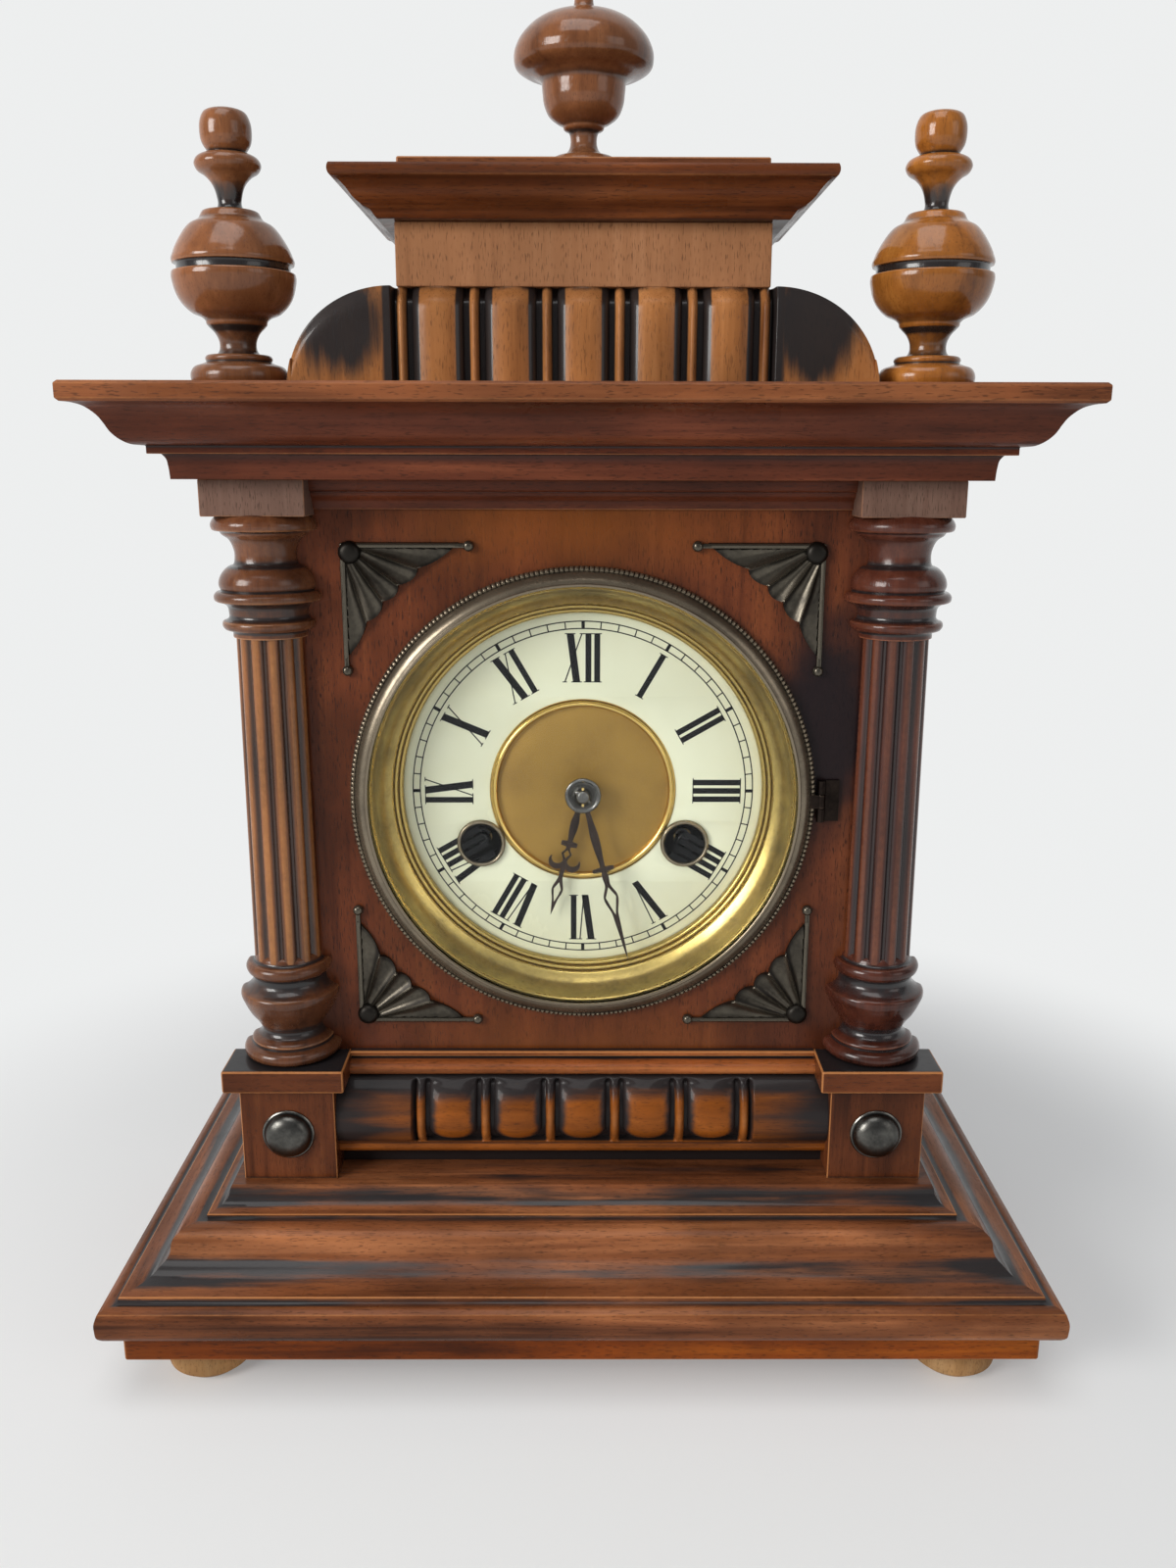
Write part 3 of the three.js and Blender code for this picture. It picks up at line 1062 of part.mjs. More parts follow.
// The anchor, as [share of the pallets' distance from the middle, share of their drop below the arbor]
const anchorShares = [
  [0, -0.42], [0.42, -0.34], [0.97, 0.19], [1.06, 0.93], [1, 1], [0.9, 0.45], [0.4, 0.12], [0, 0.08],
];

// The anchor with its crutch, and the pendulum, both turning about the anchor's arbor
function buildEscapement(group) {
  const e = escape;
  const right = anchorShares.map(([out, down]) => [out * e.palletX, -down * e.palletDrop]);
  const left = right.filter(([x]) => x > 0).map(([x, z]) => [-x, z]).reverse();
  const palletFrom = platesInner + level.escape - runGap / 2;
  const pallets = plate(outline([...right, ...left]), palletFrom, wheelThickness + runGap);
  const c = crutch;
  const p = pendulum;
  const crutchBack = backPlateEnd + c.behind;
  const crutchFront = crutchBack - c.thickness;
  const rodBack = pendulumFront + 2 * p.rod;
  const stem = box(-c.width / 2, c.width / 2, crutchFront, crutchBack, -c.length, c.width / 2);
  const fork = box(-c.fork, c.fork, crutchFront, rodBack, -c.length - c.thickness, -c.length);
  const slotHalf = p.rod + runGap;
  const slotFrom = pendulumFront - 2 * runGap;
  const slot = box(-slotHalf, slotHalf, slotFrom, rodBack + overrun, -c.length - overrun, -c.length + overrun);
  const anchorParts = [pallets, ...longArbor(arbor.light, crutchBack), stem, fork];
  piece(group, "anchor", cut(join(...anchorParts), slot), finish.steel, on("anchor"));

  const middle = pendulumFront + p.rod;
  const end = -(p.length + p.bob + 2 * p.nut);
  const rod = barZ(p.rod, end, -p.hook / 2, sides.pin, 0, middle);
  const eye = barY(p.hook, middle - p.rod, middle + p.rod, sides.small);
  const eyeBore = barY(arbor.fine + runGap, middle - overrun, middle + overrun, sides.pin);
  const half = p.bobThickness / 2;
  const bob = turnedBack([
    [0, middle - half], [p.bob * 0.7, middle - half * 0.75], [p.bob, middle - half * 0.15],
    [p.bob, middle + half * 0.15], [p.bob * 0.7, middle + half * 0.75], [0, middle + half],
  ], sides.finial).translate(0, 0, -p.length);
  const nut = barZ(p.nut, end + p.nut, end + 2 * p.nut, sides.pin, 0, middle);
  piece(group, "pendulum", cut(join(rod, eye, bob, nut), eyeBore), finish.brass, on("anchor"));
}

// The striking side: pin wheel, fly, hammer and the coiled gong
function buildStrike(group) {
  const great = platesInner + level.great;
  const wheelFrom = platesInner + level.pin;
  const wheelBack = wheelFrom + wheelThickness;
  const pinion = pinionPlate(leaves.second, pitchSize.barrel, towards(place.pin, place.strikeBarrel), great,
    barrel.wheel);
  const wheel = wheelPlate(teeth.pin, pitchSize.pin, towards(place.pin, place.fly), wheelFrom);
  const lifts = Array.from({ length: pinCount }, (_, k) => {
    const [x, z] = around([0, 0], pins.circle, (360 * k) / pinCount);
    return barY(pins.radius, wheelBack - arbor.shoulder, wheelBack + pins.length, sides.fine, x, z);
  });
  piece(group, "pin_wheel", join(...arborShape(arbor.light), pinion, wheel, ...lifts), finish.brass, on("pin"));

  const f = fly;
  const from = platesInner + level.fly;
  const thin = f.vaneThickness / 2;
  const vane = box(-f.vaneRadius, f.vaneRadius, from, from + f.vaneLength, -thin, thin);
  const flyPinion = pinionPlate(leaves.fly, pitchSize.pin, towards(place.fly, place.pin), wheelFrom);
  piece(group, "fly", join(...arborShape(arbor.fine), vane, flyPinion), finish.steel, on("fly"));

  const m = hammer;
  const armY = backPlateEnd + m.behind;
  const half = m.rod / 2;
  const arm = box(-m.arm, 0, armY - half, armY + half, -m.rod, m.rod);
  const headFrom = gong.z + gong.radius + gong.wire + m.rod - m.z;
  const head = barZ(m.head, headFrom, headFrom + m.headLength, sides.small, -m.arm, gong.behind);
  const [[hx, hz], [px, pz]] = [place.hammer, place.pin];
  const tailLength = Math.hypot(px - hx, pz - hz) - pins.circle - pins.radius - m.tailGap;
  const tailFrom = platesInner + level.tail;
  const tailTurn = -towards(place.hammer, place.pin);
  const tail = box(0, tailLength, tailFrom, tailFrom + m.tail, -half, half).rotateY(tailTurn);
  const parts = [...longArbor(arbor.light, armY + half), arm, head, tail];
  piece(group, "hammer", join(...parts), finish.steel, on("hammer"));
  piece(group, "gong", gongShape(), finish.steel, [gong.x, 0, gong.z]);
}

// A flat spiral that winds inward
class Spiral extends THREE.Curve {
  getPoint(t, target = new THREE.Vector3()) {
    const radius = gong.radius - winds.turns * gong.pitch * t;
    const angle = 2 * Math.PI * winds.turns * t;
    return target.set(radius * Math.cos(angle), gong.behind, radius * Math.sin(angle));
  }
}

// The gong: the coil, the block that holds its inner end, and the post that stands on the base
function gongShape() {
  const g = gong;
  const section = Array.from({ length: winds.wireSides }, (_, i) => {
    const turn = (2 * Math.PI * i) / winds.wireSides;
    return [g.wire * Math.cos(turn), g.wire * Math.sin(turn)];
  });
  const steps = winds.steps * winds.turns;
  const along = { steps, bevelEnabled: false, extrudePath: new Spiral() };
  const coil = new THREE.ExtrudeGeometry(outline(section), along);
  const innerEnd = g.radius - winds.turns * g.pitch;
  const b = gongBlock;
  const [w, h, d] = [b.width / 2, b.height / 2, b.depth / 2];
  const clamp = box(-w, innerEnd + g.wire, g.behind - d, g.behind + d, -g.wire * 2, h);
  const foot0 = baseTop - dialHeight - g.z;
  const postY = g.behind + d;
  const r = b.postRadius;
  const post = box(-r, r, postY - r, postY + r, foot0, h);
  const sole = box(-w, w, g.behind - d, postY + r, foot0, foot0 + r);
  return join(coil, clamp, post, sole);
}

const clock = new THREE.Group();
buildBase(clock);
buildFront(clock);
buildTop(clock);
buildFinials(clock);
buildBack(clock);

// Everything on the dial side and in the movement is placed from the centre of the dial
const face = new THREE.Group();
face.position.set(0, dialPlane, dialHeight);
clock.add(face);
buildBezel(face);
buildFans(face);
buildDial(face);
buildHands(face);
buildPlates(face);
buildBarrels(face);
buildTrain(face);
buildMotionWork(face);
buildEscapement(face);
buildStrike(face);

export default clock;
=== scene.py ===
"""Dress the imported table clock: a walnut case, a brass and enamel dial, and a striking movement."""

import logging
import math
from dataclasses import dataclass, field
from enum import Enum
from typing import Callable, Sequence

import bmesh
import bpy
import numpy as np
from mathutils import Matrix, Vector


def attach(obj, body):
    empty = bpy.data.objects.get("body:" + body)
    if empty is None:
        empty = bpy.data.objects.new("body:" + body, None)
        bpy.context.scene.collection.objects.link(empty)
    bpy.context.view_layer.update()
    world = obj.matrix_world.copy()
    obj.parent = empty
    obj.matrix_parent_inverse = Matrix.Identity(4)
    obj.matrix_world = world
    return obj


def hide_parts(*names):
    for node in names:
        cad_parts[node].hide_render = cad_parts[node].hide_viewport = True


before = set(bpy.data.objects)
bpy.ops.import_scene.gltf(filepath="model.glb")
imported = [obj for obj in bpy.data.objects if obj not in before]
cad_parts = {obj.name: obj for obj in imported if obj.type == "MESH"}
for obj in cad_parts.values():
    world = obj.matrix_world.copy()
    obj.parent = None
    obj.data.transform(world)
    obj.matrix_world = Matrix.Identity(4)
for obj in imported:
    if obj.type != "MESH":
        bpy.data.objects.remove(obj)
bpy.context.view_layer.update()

logging.basicConfig(level=logging.INFO, format="%(message)s")
log = logging.getLogger("table_clock")

MM = 0.001
TAU = 2 * math.pi
Colour = tuple[float, float, float]
Profile = Sequence[tuple[float, ...]]

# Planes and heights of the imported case, in millimetres
BOARD_TOP, BASE_TOP, BLOCK_TOP, CAP_TOP = 28.0, 66.0, 103.0, 111.5
CASE_TOP, CORNICE_TOP, CORNICE_BOARD_TOP = 319.5, 342.5, 348.5
CREST_TOP, CREST_BLOCK_TOP, CREST_CAP_TOP, CREST_BOARD_TOP = 380.0, 399.5, 413.5, 419.0
EDGE, INNER, COLUMN_X = 125.5, 91.0, 108.0
PEDESTAL_FRONT, PANEL_FRONT, CASE_BACK, FOOT_BACK = -40.0, -24.5, 78.5, 83.5
CREST_FRONT, CREST_BLOCK_FRONT = -31.5, -27.5
DIAL_PLANE, DIAL_HEIGHT = -11.5, 208.0

# Steps, shares and sizes used for fine shapes, in millimetres and degrees
TINY, TIP_SHARE, PLATE_CREASE = 1e-6, 0.45, 30.0
TONE_STEP, HOLLOW_SIZE, RIDGE_SIZE, TONE_SPREAD, TONE_DEPTH = 0.2, 2.2, 0.8, 0.6, 0.22
MOULDING_STEP, RAIL_STEP, BLOCK_STEP, EDGE_BAND = 9.0, 6.0, 18.0, 1.2
# The hollow tone darkens wood recesses as painted shade and gathers tarnish on metal
TONES = ("hollow", "ridge", "paint")

# Colours that the woods share; the ebony black also paints the shade in the hollows
PORE_COLOUR, EBONY_AND_SHADE, DIRT = (0.018, 0.007, 0.004), (0.012, 0.0125, 0.014), (0.030, 0.021, 0.017)


class Grain(Enum):
    """Which axis of the row frame the wood's fibres run along."""

    ALONG_X = (0, 1, 2)
    ALONG_Y = (1, 0, 2)
    ALONG_Z = (2, 0, 1)


# Profiles
def gap(a: np.ndarray, b: np.ndarray) -> float:
    """Return the distance between two points of a profile, never quite zero."""
    return max(float(np.linalg.norm((b - a)[:2])), TINY)


def curve(run: np.ndarray, step: float) -> list[np.ndarray]:
    """Lead a smooth line through points.

    Args:
        run: Rows of [across, along, paint]; two rows give a straight line.
        step: Greatest length of a piece of the line.

    Returns:
        All its points after the first.
    """
    ghost = np.vstack([2 * run[0] - run[1], run, 2 * run[-1] - run[-2]])
    made = []
    for p0, p1, p2, p3 in zip(ghost, ghost[1:], ghost[2:], ghost[3:]):
        before, here, after = gap(p0, p1), gap(p1, p2), gap(p2, p3)
        lead = tail = p2 - p1
        if len(run) > 2:
            lead = ((p2 - p1) / here - (p2 - p0) / (before + here) + (p1 - p0) / before) * here
            tail = ((p3 - p2) / after - (p3 - p1) / (here + after) + (p2 - p1) / here) * here
        count = max(1, math.ceil(here / step))
        for t in (n / count for n in range(1, count + 1)):
            made.append((2 * t**3 - 3 * t**2 + 1) * p1 + (t**3 - 2 * t**2 + t) * lead
                        + (3 * t**2 - 2 * t**3) * p2 + (t**3 - t**2) * tail)
    return made


def rounded_line(points: Profile, corner: float = 42.0, soft: float = 0.35, step: float = 0.7) -> np.ndarray:
    """Turn the corner points of a profile into a fine line with soft corners and smooth curves.

    Args:
        points: Rows of [across, along, paint], in millimetres; paint may be left out.
        corner: Turning angle in degrees from which a point is a corner.
        soft: Size of the small round on a corner.
        step: Greatest length of a piece of the fine line.

    Returns:
        Rows of [across, along, paint].
    """
    rows = np.array([tuple(p) + (0.0,) * (3 - len(p)) for p in points], float)
    ends = [0]
    for i in range(1, len(rows) - 1):
        (ax, ay, _), (bx, by, _) = rows[i] - rows[i - 1], rows[i + 1] - rows[i]
        if math.degrees(abs(math.atan2(ax * by - ay * bx, ax * bx + ay * by))) > corner:
            ends.append(i)
    ends.append(len(rows) - 1)
    made = [rows[0]]
    for start, end in zip(ends[:-1], ends[1:]):
        run = curve(rows[start : end + 1], step)
        if start:
            tip = made.pop()
            a, b = (tip + (p - tip) * min(soft, TIP_SHARE * gap(tip, p)) / gap(tip, p) for p in (made[-1], run[0]))
            made += [a, 0.25 * a + 0.5 * tip + 0.25 * b, b]
        made += run
    out = np.array(made)
    out[:, 2] = np.clip(out[:, 2], 0, 1)
    return out


def relief_tones(line: np.ndarray) -> tuple[np.ndarray, np.ndarray]:
    """Work out how far each point of a profile lies in a hollow or on a ridge.

    Args:
        line: Rows of [across, along, ...]; an open line has its outside towards greater across.

    Returns:
        Two arrays from 0 to 1: hollow and ridge.
    """
    flat = line[:, :2]
    lengths = np.concatenate([[0], np.cumsum(np.linalg.norm(np.diff(flat, axis=0), axis=1))])
    even = np.linspace(0, lengths[-1], max(8, int(lengths[-1] / TONE_STEP)))
    path = np.stack([np.interp(even, lengths, flat[:, k]) for k in (0, 1)], axis=1)
    along = np.gradient(path, axis=0)
    normal = np.stack([-along[:, 1], along[:, 0]], axis=1)
    normal /= np.maximum(np.linalg.norm(normal, axis=1, keepdims=True), TINY)
    area = float((path[:-1, 0] * path[1:, 1] - path[1:, 0] * path[:-1, 1]).sum())
    closed = bool(np.allclose(flat[0], flat[-1], atol=0.3))
    if area > 0 if closed else normal[:, 0].mean() < 0:
        normal = -normal
    result = []
    for size, sign in ((HOLLOW_SIZE, 1), (RIDGE_SIZE, -1)):
        reach = max(2, int(size * 2 / TONE_STEP))
        kernel = np.exp(-0.5 * (np.arange(-reach, reach + 1) * TONE_STEP / (size * TONE_SPREAD)) ** 2)
        kernel /= kernel.sum()
        padded = np.pad(path, ((reach, reach), (0, 0)), mode="reflect", reflect_type="odd")
        smoothed = np.stack([np.convolve(padded[:, k], kernel, mode="valid") for k in (0, 1)], axis=1)
        depth = sign * ((smoothed - path) * normal).sum(axis=1) / (size * TONE_DEPTH)
        result.append(np.clip(np.interp(lengths, even, depth), 0, 1))
    return result[0], result[1]


# Shells
@dataclass
class Shell:
    """A closed surface under construction, in millimetres, with its tones and grain."""

    points: list[Sequence[float]] = field(default_factory=list)
    faces: list[tuple[int, ...]] = field(default_factory=list)
    tones: list[tuple[float, float, float]] = field(default_factory=list)
    grains: list[Grain] = field(default_factory=list)

    def point(self, place: Sequence[float], hollow: float = 0.0, ridge: float = 0.0, paint: float = 0.0) -> int:
        """Add one point and return its number."""
        self.points.append(place)
        self.tones.append((hollow, ridge, paint))
        return len(self.points) - 1

    def face(self, corners: Sequence[int], grain: Grain = Grain.ALONG_X) -> None:
        """Add one face from point numbers."""
        self.faces.append(tuple(corners))
        self.grains.append(grain)

    def rows(self, grid: Sequence[Sequence[int]], grain: Grain = Grain.ALONG_X, closed: bool = False) -> None:
        """Join rows of point numbers with quads.

        Args:
            grid: Rows of equal length.
            grain: Grain of the faces.
            closed: Whether the last column joins the first.
        """
        for low, high in zip(grid[:-1], grid[1:]):
            count = len(low) if closed else len(low) - 1
            for i in range(count):
                j = (i + 1) % len(low)
                self.face((low[i], low[j], high[j], high[i]), grain)

    def ends(self, grid: Sequence[Sequence[int]], grain: Grain = Grain.ALONG_X) -> None:
        """Close the first and the last row of a grid with a face each."""
        self.face(grid[0], grain)
        self.face(grid[-1], grain)

    def moved(self, shift: Sequence[float] = (0, 0, 0), mirror: bool = False) -> "Shell":
        """Return a copy moved by shift, and mirrored left to right first if asked.

        Args:
            shift: Distance along each axis.
            mirror: Whether X changes sign before the move.

        Returns:
            The new shell.
        """
        sign = -1 if mirror else 1
        points = [(sign * x + shift[0], y + shift[1], z + shift[2]) for x, y, z in self.points]
        faces = [tuple(reversed(f)) for f in self.faces] if mirror else self.faces[:]
        return Shell(points, faces, self.tones[:], self.grains[:])

    def add(self, other: "Shell") -> "Shell":
        """Take in the surface of another shell.

        Args:
            other: The other shell, which stays as it is.

        Returns:
            This shell.
        """
        start = len(self.points)
        self.points += other.points
        self.faces += [tuple(i + start for i in f) for f in other.faces]
        self.tones += other.tones
        self.grains += other.grains
        return self

    def object(self, name: str, material: bpy.types.Material, body: str, slot: str, nodes: Sequence[str],
               crease: float = 40.0) -> bpy.types.Object:
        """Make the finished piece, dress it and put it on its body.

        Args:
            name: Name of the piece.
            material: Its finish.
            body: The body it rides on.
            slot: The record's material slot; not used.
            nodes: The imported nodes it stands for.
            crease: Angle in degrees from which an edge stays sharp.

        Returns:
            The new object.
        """
        place = np.array(self.points, float) * MM
        mesh = bpy.data.meshes.new(name)
        mesh.from_pydata(place.tolist(), [], self.faces)
        mesh.validate(clean_customdata=False)
        for label, values in zip(TONES, np.array(self.tones, np.float32).T.copy()):
            mesh.attributes.new(label, "FLOAT", "POINT").data.foreach_set("value", values)
        order = np.repeat([g.value for g in self.grains], [p.loop_total for p in mesh.polygons], axis=0)
        corner_point = np.zeros(len(mesh.loops), np.int64)
        mesh.loops.foreach_get("vertex_index", corner_point)
        grain = np.take_along_axis(place[corner_point], order, axis=1).astype(np.float32)
        mesh.attributes.new("grain", "FLOAT_VECTOR", "CORNER").data.foreach_set("vector", grain.ravel())
        smooth(mesh, crease)
        turn_outward(mesh)
        return seat(name, mesh, material, body, nodes)


def smooth(mesh: bpy.types.Mesh, crease: float) -> None:
    """Shade a mesh smooth, but for its edges from an angle in degrees on."""
    mesh.polygons.foreach_set("use_smooth", [True] * len(mesh.polygons))
    mesh.set_sharp_from_angle(angle=math.radians(crease))


def turn_outward(mesh: bpy.types.Mesh, merge: float = 0.0) -> None:
    """Make the faces of each closed surface in a mesh point out.

    Args:
        mesh: The mesh, which is changed.
        merge: Distance below which points are joined first, or zero for none.
    """
    work = bmesh.new()
    work.from_mesh(mesh)
    if merge:
        bmesh.ops.remove_doubles(work, verts=work.verts, dist=merge)
    bmesh.ops.recalc_face_normals(work, faces=work.faces)
    work.to_mesh(mesh)
    work.free()


def seat(name: str, mesh: bpy.types.Mesh, material: bpy.types.Material, body: str,
         nodes: Sequence[str]) -> bpy.types.Object:
    """Put a finished mesh in the scene as one piece on its body.

    Args:
        name: Name of the piece.
        mesh: Its mesh, in metres in the row frame.
        material: Its finish.
        body: The body it rides on.
        nodes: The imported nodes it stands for.

    Returns:
        The new object.
    """
    made = bpy.data.objects.new(name, mesh)
    bpy.context.scene.collection.objects.link(made)
    mesh.materials.clear()
    mesh.materials.append(material)
    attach(made, body)
    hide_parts(*nodes)
    log.info("%s: %d faces on %s", name, len(mesh.polygons), body)
    return made


def turned(profile: Profile, segments: int = 96, corner: float = 42.0, soft: float = 0.35, half: bool = False,
           reeds: Callable[[float], tuple[float, float]] | None = None) -> Shell:
    """Turn a profile round the Z axis.

    Args:
        profile: Rows of [radius, height, paint].
        segments: Number of steps round.
        corner: Corner angle passed to rounded_line.
        soft: Corner softness passed to rounded_line.
        half: Whether only the front half is made, with a flat back.
        reeds: Gives the change of radius and the hollow at an angle, for a reeded shaft.

    Returns:
        The closed shell.
    """
    line = rounded_line(profile, corner, soft)
    shell = Shell()
    count = segments // 2 + 1 if half else segments
    angles = [-math.pi * i / (count - 1) if half else TAU * i / count for i in range(count)]
    grid: list[list[int]] = []
    for (r, z, paint), dip, top in zip(line, *relief_tones(line)):
        row = []
        for a in angles:
            change, groove = reeds(a) if reeds else (0.0, 0.0)
            radius = max(r + change, 0.01)
            place = (radius * math.cos(a), radius * math.sin(a), z)
            row.append(shell.point(place, max(dip, groove), max(top, 0.55 - 2.2 * groove) if reeds else top, paint))
        grid.append(row)
    shell.rows(grid, Grain.ALONG_Z, closed=not half)
    if half:
        shell.rows([(row[-1], row[0]) for row in grid], Grain.ALONG_Z)
    shell.ends(grid, Grain.ALONG_Z)
    return shell


def swept_ring(profile: Profile, segments: int, corner: float, soft: float, step: float,
               mill: Callable[[float, float, float], float] | None = None) -> Shell:
    """Sweep a closed profile of [radius, height] round the Z axis.

    Args:
        profile: The closed profile; its last row repeats its first.
        segments: Number of steps round.
        corner: Corner angle passed to rounded_line.
        soft: Corner softness passed to rounded_line.
        step: Step passed to rounded_line.
        mill: Gives a change of height and radius for an angle, a radius and a height.

    Returns:
        The closed shell.
    """
    line = rounded_line(profile, corner, soft, step)
    shell = Shell()
    grid = []
    for (r, z, _), dip, top in list(zip(line, *relief_tones(line)))[:-1]:
        row = []
        for a in (TAU * i / segments for i in range(segments)):
            lift = mill(a, r, z) if mill else 0.0
            radius = r + lift * 0.3
            place = (radius * math.cos(a), radius * math.sin(a), z + min(lift, 0.0))
            row.append(shell.point(place, max(dip, -lift * 4), max(top, lift * 3)))
        grid.append(row)
    shell.rows([*grid, grid[0]], Grain.ALONG_Z, closed=True)
    return shell


def moulding_run(profile: Profile, half_width: float, front: float, back: float, soft: float = 0.35,
                 worn: float = 0.0) -> Shell:
    """Run a moulding round the front and both sides with mitred corners and a flat back.

    Args:
        profile: Rows of [outward, height, paint], from bottom to top.
        half_width: Half width at outward zero.
        front: Front plane at outward zero.
        back: Back plane.
        soft: Corner softness passed to rounded_line.
        worn: Share of the paint that is rubbed off in the middle of the front.

    Returns:
        The closed shell.
    """
    line = rounded_line(profile, soft=soft)
    side_steps, front_steps = (max(2, int(size / MOULDING_STEP)) for size in (back - front, 2 * half_width))
    shell = Shell()
    path = [(0, 0.0)]
    for side, steps in enumerate((side_steps, front_steps, side_steps)):
        path += [(side, i / steps) for i in range(1, steps + 1)]
    grid = []
    for (out, z, paint), dip, top in zip(line, *relief_tones(line)):
        w, f = half_width + out, front - out
        row = []
        for side, t in path:
            place = ((-w, back + (f - back) * t, z), (-w + 2 * w * t, f, z), (w, f + (back - f) * t, z))[side]
            left = 1 - worn * (1 - (2 * t - 1) ** 4) if side == 1 else 1.0
            row.append(shell.point(place, dip * (0.5 + 0.5 * left), top, paint * left))
        grid.append(row)
    for low, high in zip(grid[:-1], grid[1:]):
        for i in range(len(path) - 1):
            grain = Grain.ALONG_X if path[i + 1][0] == 1 else Grain.ALONG_Y
            shell.face((low[i], low[i + 1], high[i + 1], high[i]), grain)
        shell.face((low[-1], low[0], high[0], high[-1]))
    shell.ends(grid)
    return shell


def straight_run(profile: Profile, half_width: float, front: float) -> Shell:
    """Run a moulding straight along X, with flat ends and a flat back at outward zero.

    Args:
        profile: Rows of [outward, height, paint], from bottom to top.
        half_width: Half its length.
        front: The plane at outward zero.

    Returns:
        The closed shell.
    """
    line = rounded_line(profile, 50, 0.25)
    shell = Shell()
    steps = max(2, int(2 * half_width / RAIL_STEP))
    xs = [-half_width + 2 * half_width * i / steps for i in range(steps + 1)]
    grid = [[shell.point((x, front - out, z), dip, top, paint) for x in xs]
            for (out, z, paint), dip, top in zip(line, *relief_tones(line))]
    shell.rows([*grid, grid[0]])
    shell.ends([[row[k] for row in grid] for k in (0, -1)], Grain.ALONG_Z)
    return shell


def soft_block(low: Sequence[float], high: Sequence[float], radius: float, grain: Grain = Grain.ALONG_X,
               paint_top: float = 0.0, dark_foot: float = 0.0) -> Shell:
    """Make a block with rounded, worn edges.

    Args:
        low: Lowest corner.
        high: Highest corner.
        radius: Radius of its edges.
        grain: Direction of its grain.
        paint_top: How dark its top face is.
        dark_foot: How dark its lower edge is.

    Returns:
        The closed shell.
    """
    shell = Shell()
    seen: dict[tuple[float, ...], int] = {}
    marks = []
    for a, b in zip(low, high):
        inner = [a + radius * s for s in (0, 0.3, 0.65, 1)] + [a + radius + EDGE_BAND]
        outer = [b - v + a for v in reversed(inner)]
        steps = max(2, int((outer[0] - inner[-1]) / BLOCK_STEP))
        middle = np.linspace(inner[-1], outer[0], steps + 1)[1:-1]
        marks.append(inner + list(middle) + outer if outer[0] > inner[-1] else [a, a + radius, b - radius, b])
    core_low = np.array(low, float) + radius
    core_high = np.array(high, float) - radius

    def corner(place: tuple[float, ...]) -> int:
        """Find or make the rounded point for a place on the plain block.

        Args:
            place: A place on the surface of the block with sharp edges.

        Returns:
            The number of the point.
        """
        key = tuple(round(v, 4) for v in place)
        if key not in seen:
            core = np.clip(place, core_low, core_high)
            out = np.array(place) - core
            edge = float((np.abs(out) > TINY).sum() > 1)
            size = float(np.linalg.norm(out))
            spot = core + out * (radius / size if size > TINY else 0)
            paint = paint_top if place[2] > high[2] - TINY and not edge else 0.0
            # Painted shade: the lower edge darkens where the block stands on the part below
            foot = dark_foot if place[2] < low[2] + radius + 1.0 else 0.0
            seen[key] = shell.point(spot, foot, edge, paint)
        return seen[key]

    for axis in range(3):
        u, v = [k for k in range(3) if k != axis]
        for end in (low[axis], high[axis]):
            for a0, a1 in zip(marks[u][:-1], marks[u][1:]):
                for b0, b1 in zip(marks[v][:-1], marks[v][1:]):
                    places = ({axis: end, u: a, v: b} for a, b in ((a0, b0), (a1, b0), (a1, b1), (a0, b1)))
                    shell.face([corner((p[0], p[1], p[2])) for p in places], grain)
    return shell


def carved_run(xs: Sequence[float], section: Callable[[float], list[tuple[float, float, float, float, float]]],
               grain: Grain) -> Shell:
    """Loft closed sections side by side along X.

    Args:
        xs: Places of the sections.
        section: Gives rows of [y, z, hollow, ridge, paint] at an x, going once round the section.
        grain: Direction of the grain.

    Returns:
        The closed shell.
    """
    shell = Shell()
    grid = [[shell.point((x, y, z), *tones) for y, z, *tones in section(x)] for x in xs]
    shell.rows(grid, grain, closed=True)
    shell.ends(grid, grain)
    return shell


def step_up(low: float, high: float, value: float) -> float:
    """Rise smoothly from 0 at low to 1 at high."""
    t = min(1.0, max(0.0, (value - low) / (high - low)))
    return t * t * (3 - 2 * t)


def flat_plate(outlines: Sequence[Sequence[tuple[float, float]]], front: float, thickness: float,
               bevel: float) -> bpy.types.Mesh:
    """Cut a plate from outlines in X and Z; an outline inside another is a hole.

    Args:
        outlines: Closed outlines in millimetres.
        front: Y of its front face.
        thickness: Thickness towards +Y.
        bevel: Size of the small bevel on its edges.

    Returns:
        The mesh, in metres.
    """
    drawing = bpy.data.curves.new("plate", "CURVE")
    drawing.dimensions, drawing.fill_mode, drawing.bevel_resolution = "2D", "BOTH", 1
    drawing.extrude, drawing.bevel_depth, drawing.offset = (thickness / 2 - bevel) * MM, bevel * MM, -bevel * MM
    for outline in outlines:
        spline = drawing.splines.new("POLY")
        spline.points.add(len(outline) - 1)
        for point, (x, z) in zip(spline.points, outline):
            point.co = (x * MM, z * MM, 0, 1)
        spline.use_cyclic_u = True
    holder = bpy.data.objects.new("plate", drawing)
    bpy.context.scene.collection.objects.link(holder)
    bpy.context.view_layer.update()
    mesh = bpy.data.meshes.new_from_object(holder.evaluated_get(bpy.context.evaluated_depsgraph_get()))
    bpy.data.objects.remove(holder)
    bpy.data.curves.remove(drawing)
    mesh.transform(Matrix(((1, 0, 0, 0), (0, 0, -1, (front + thickness / 2) * MM), (0, 1, 0, 0), (0, 0, 0, 1))))
    turn_outward(mesh, 1e-7)
    smooth(mesh, PLATE_CREASE)
    return mesh


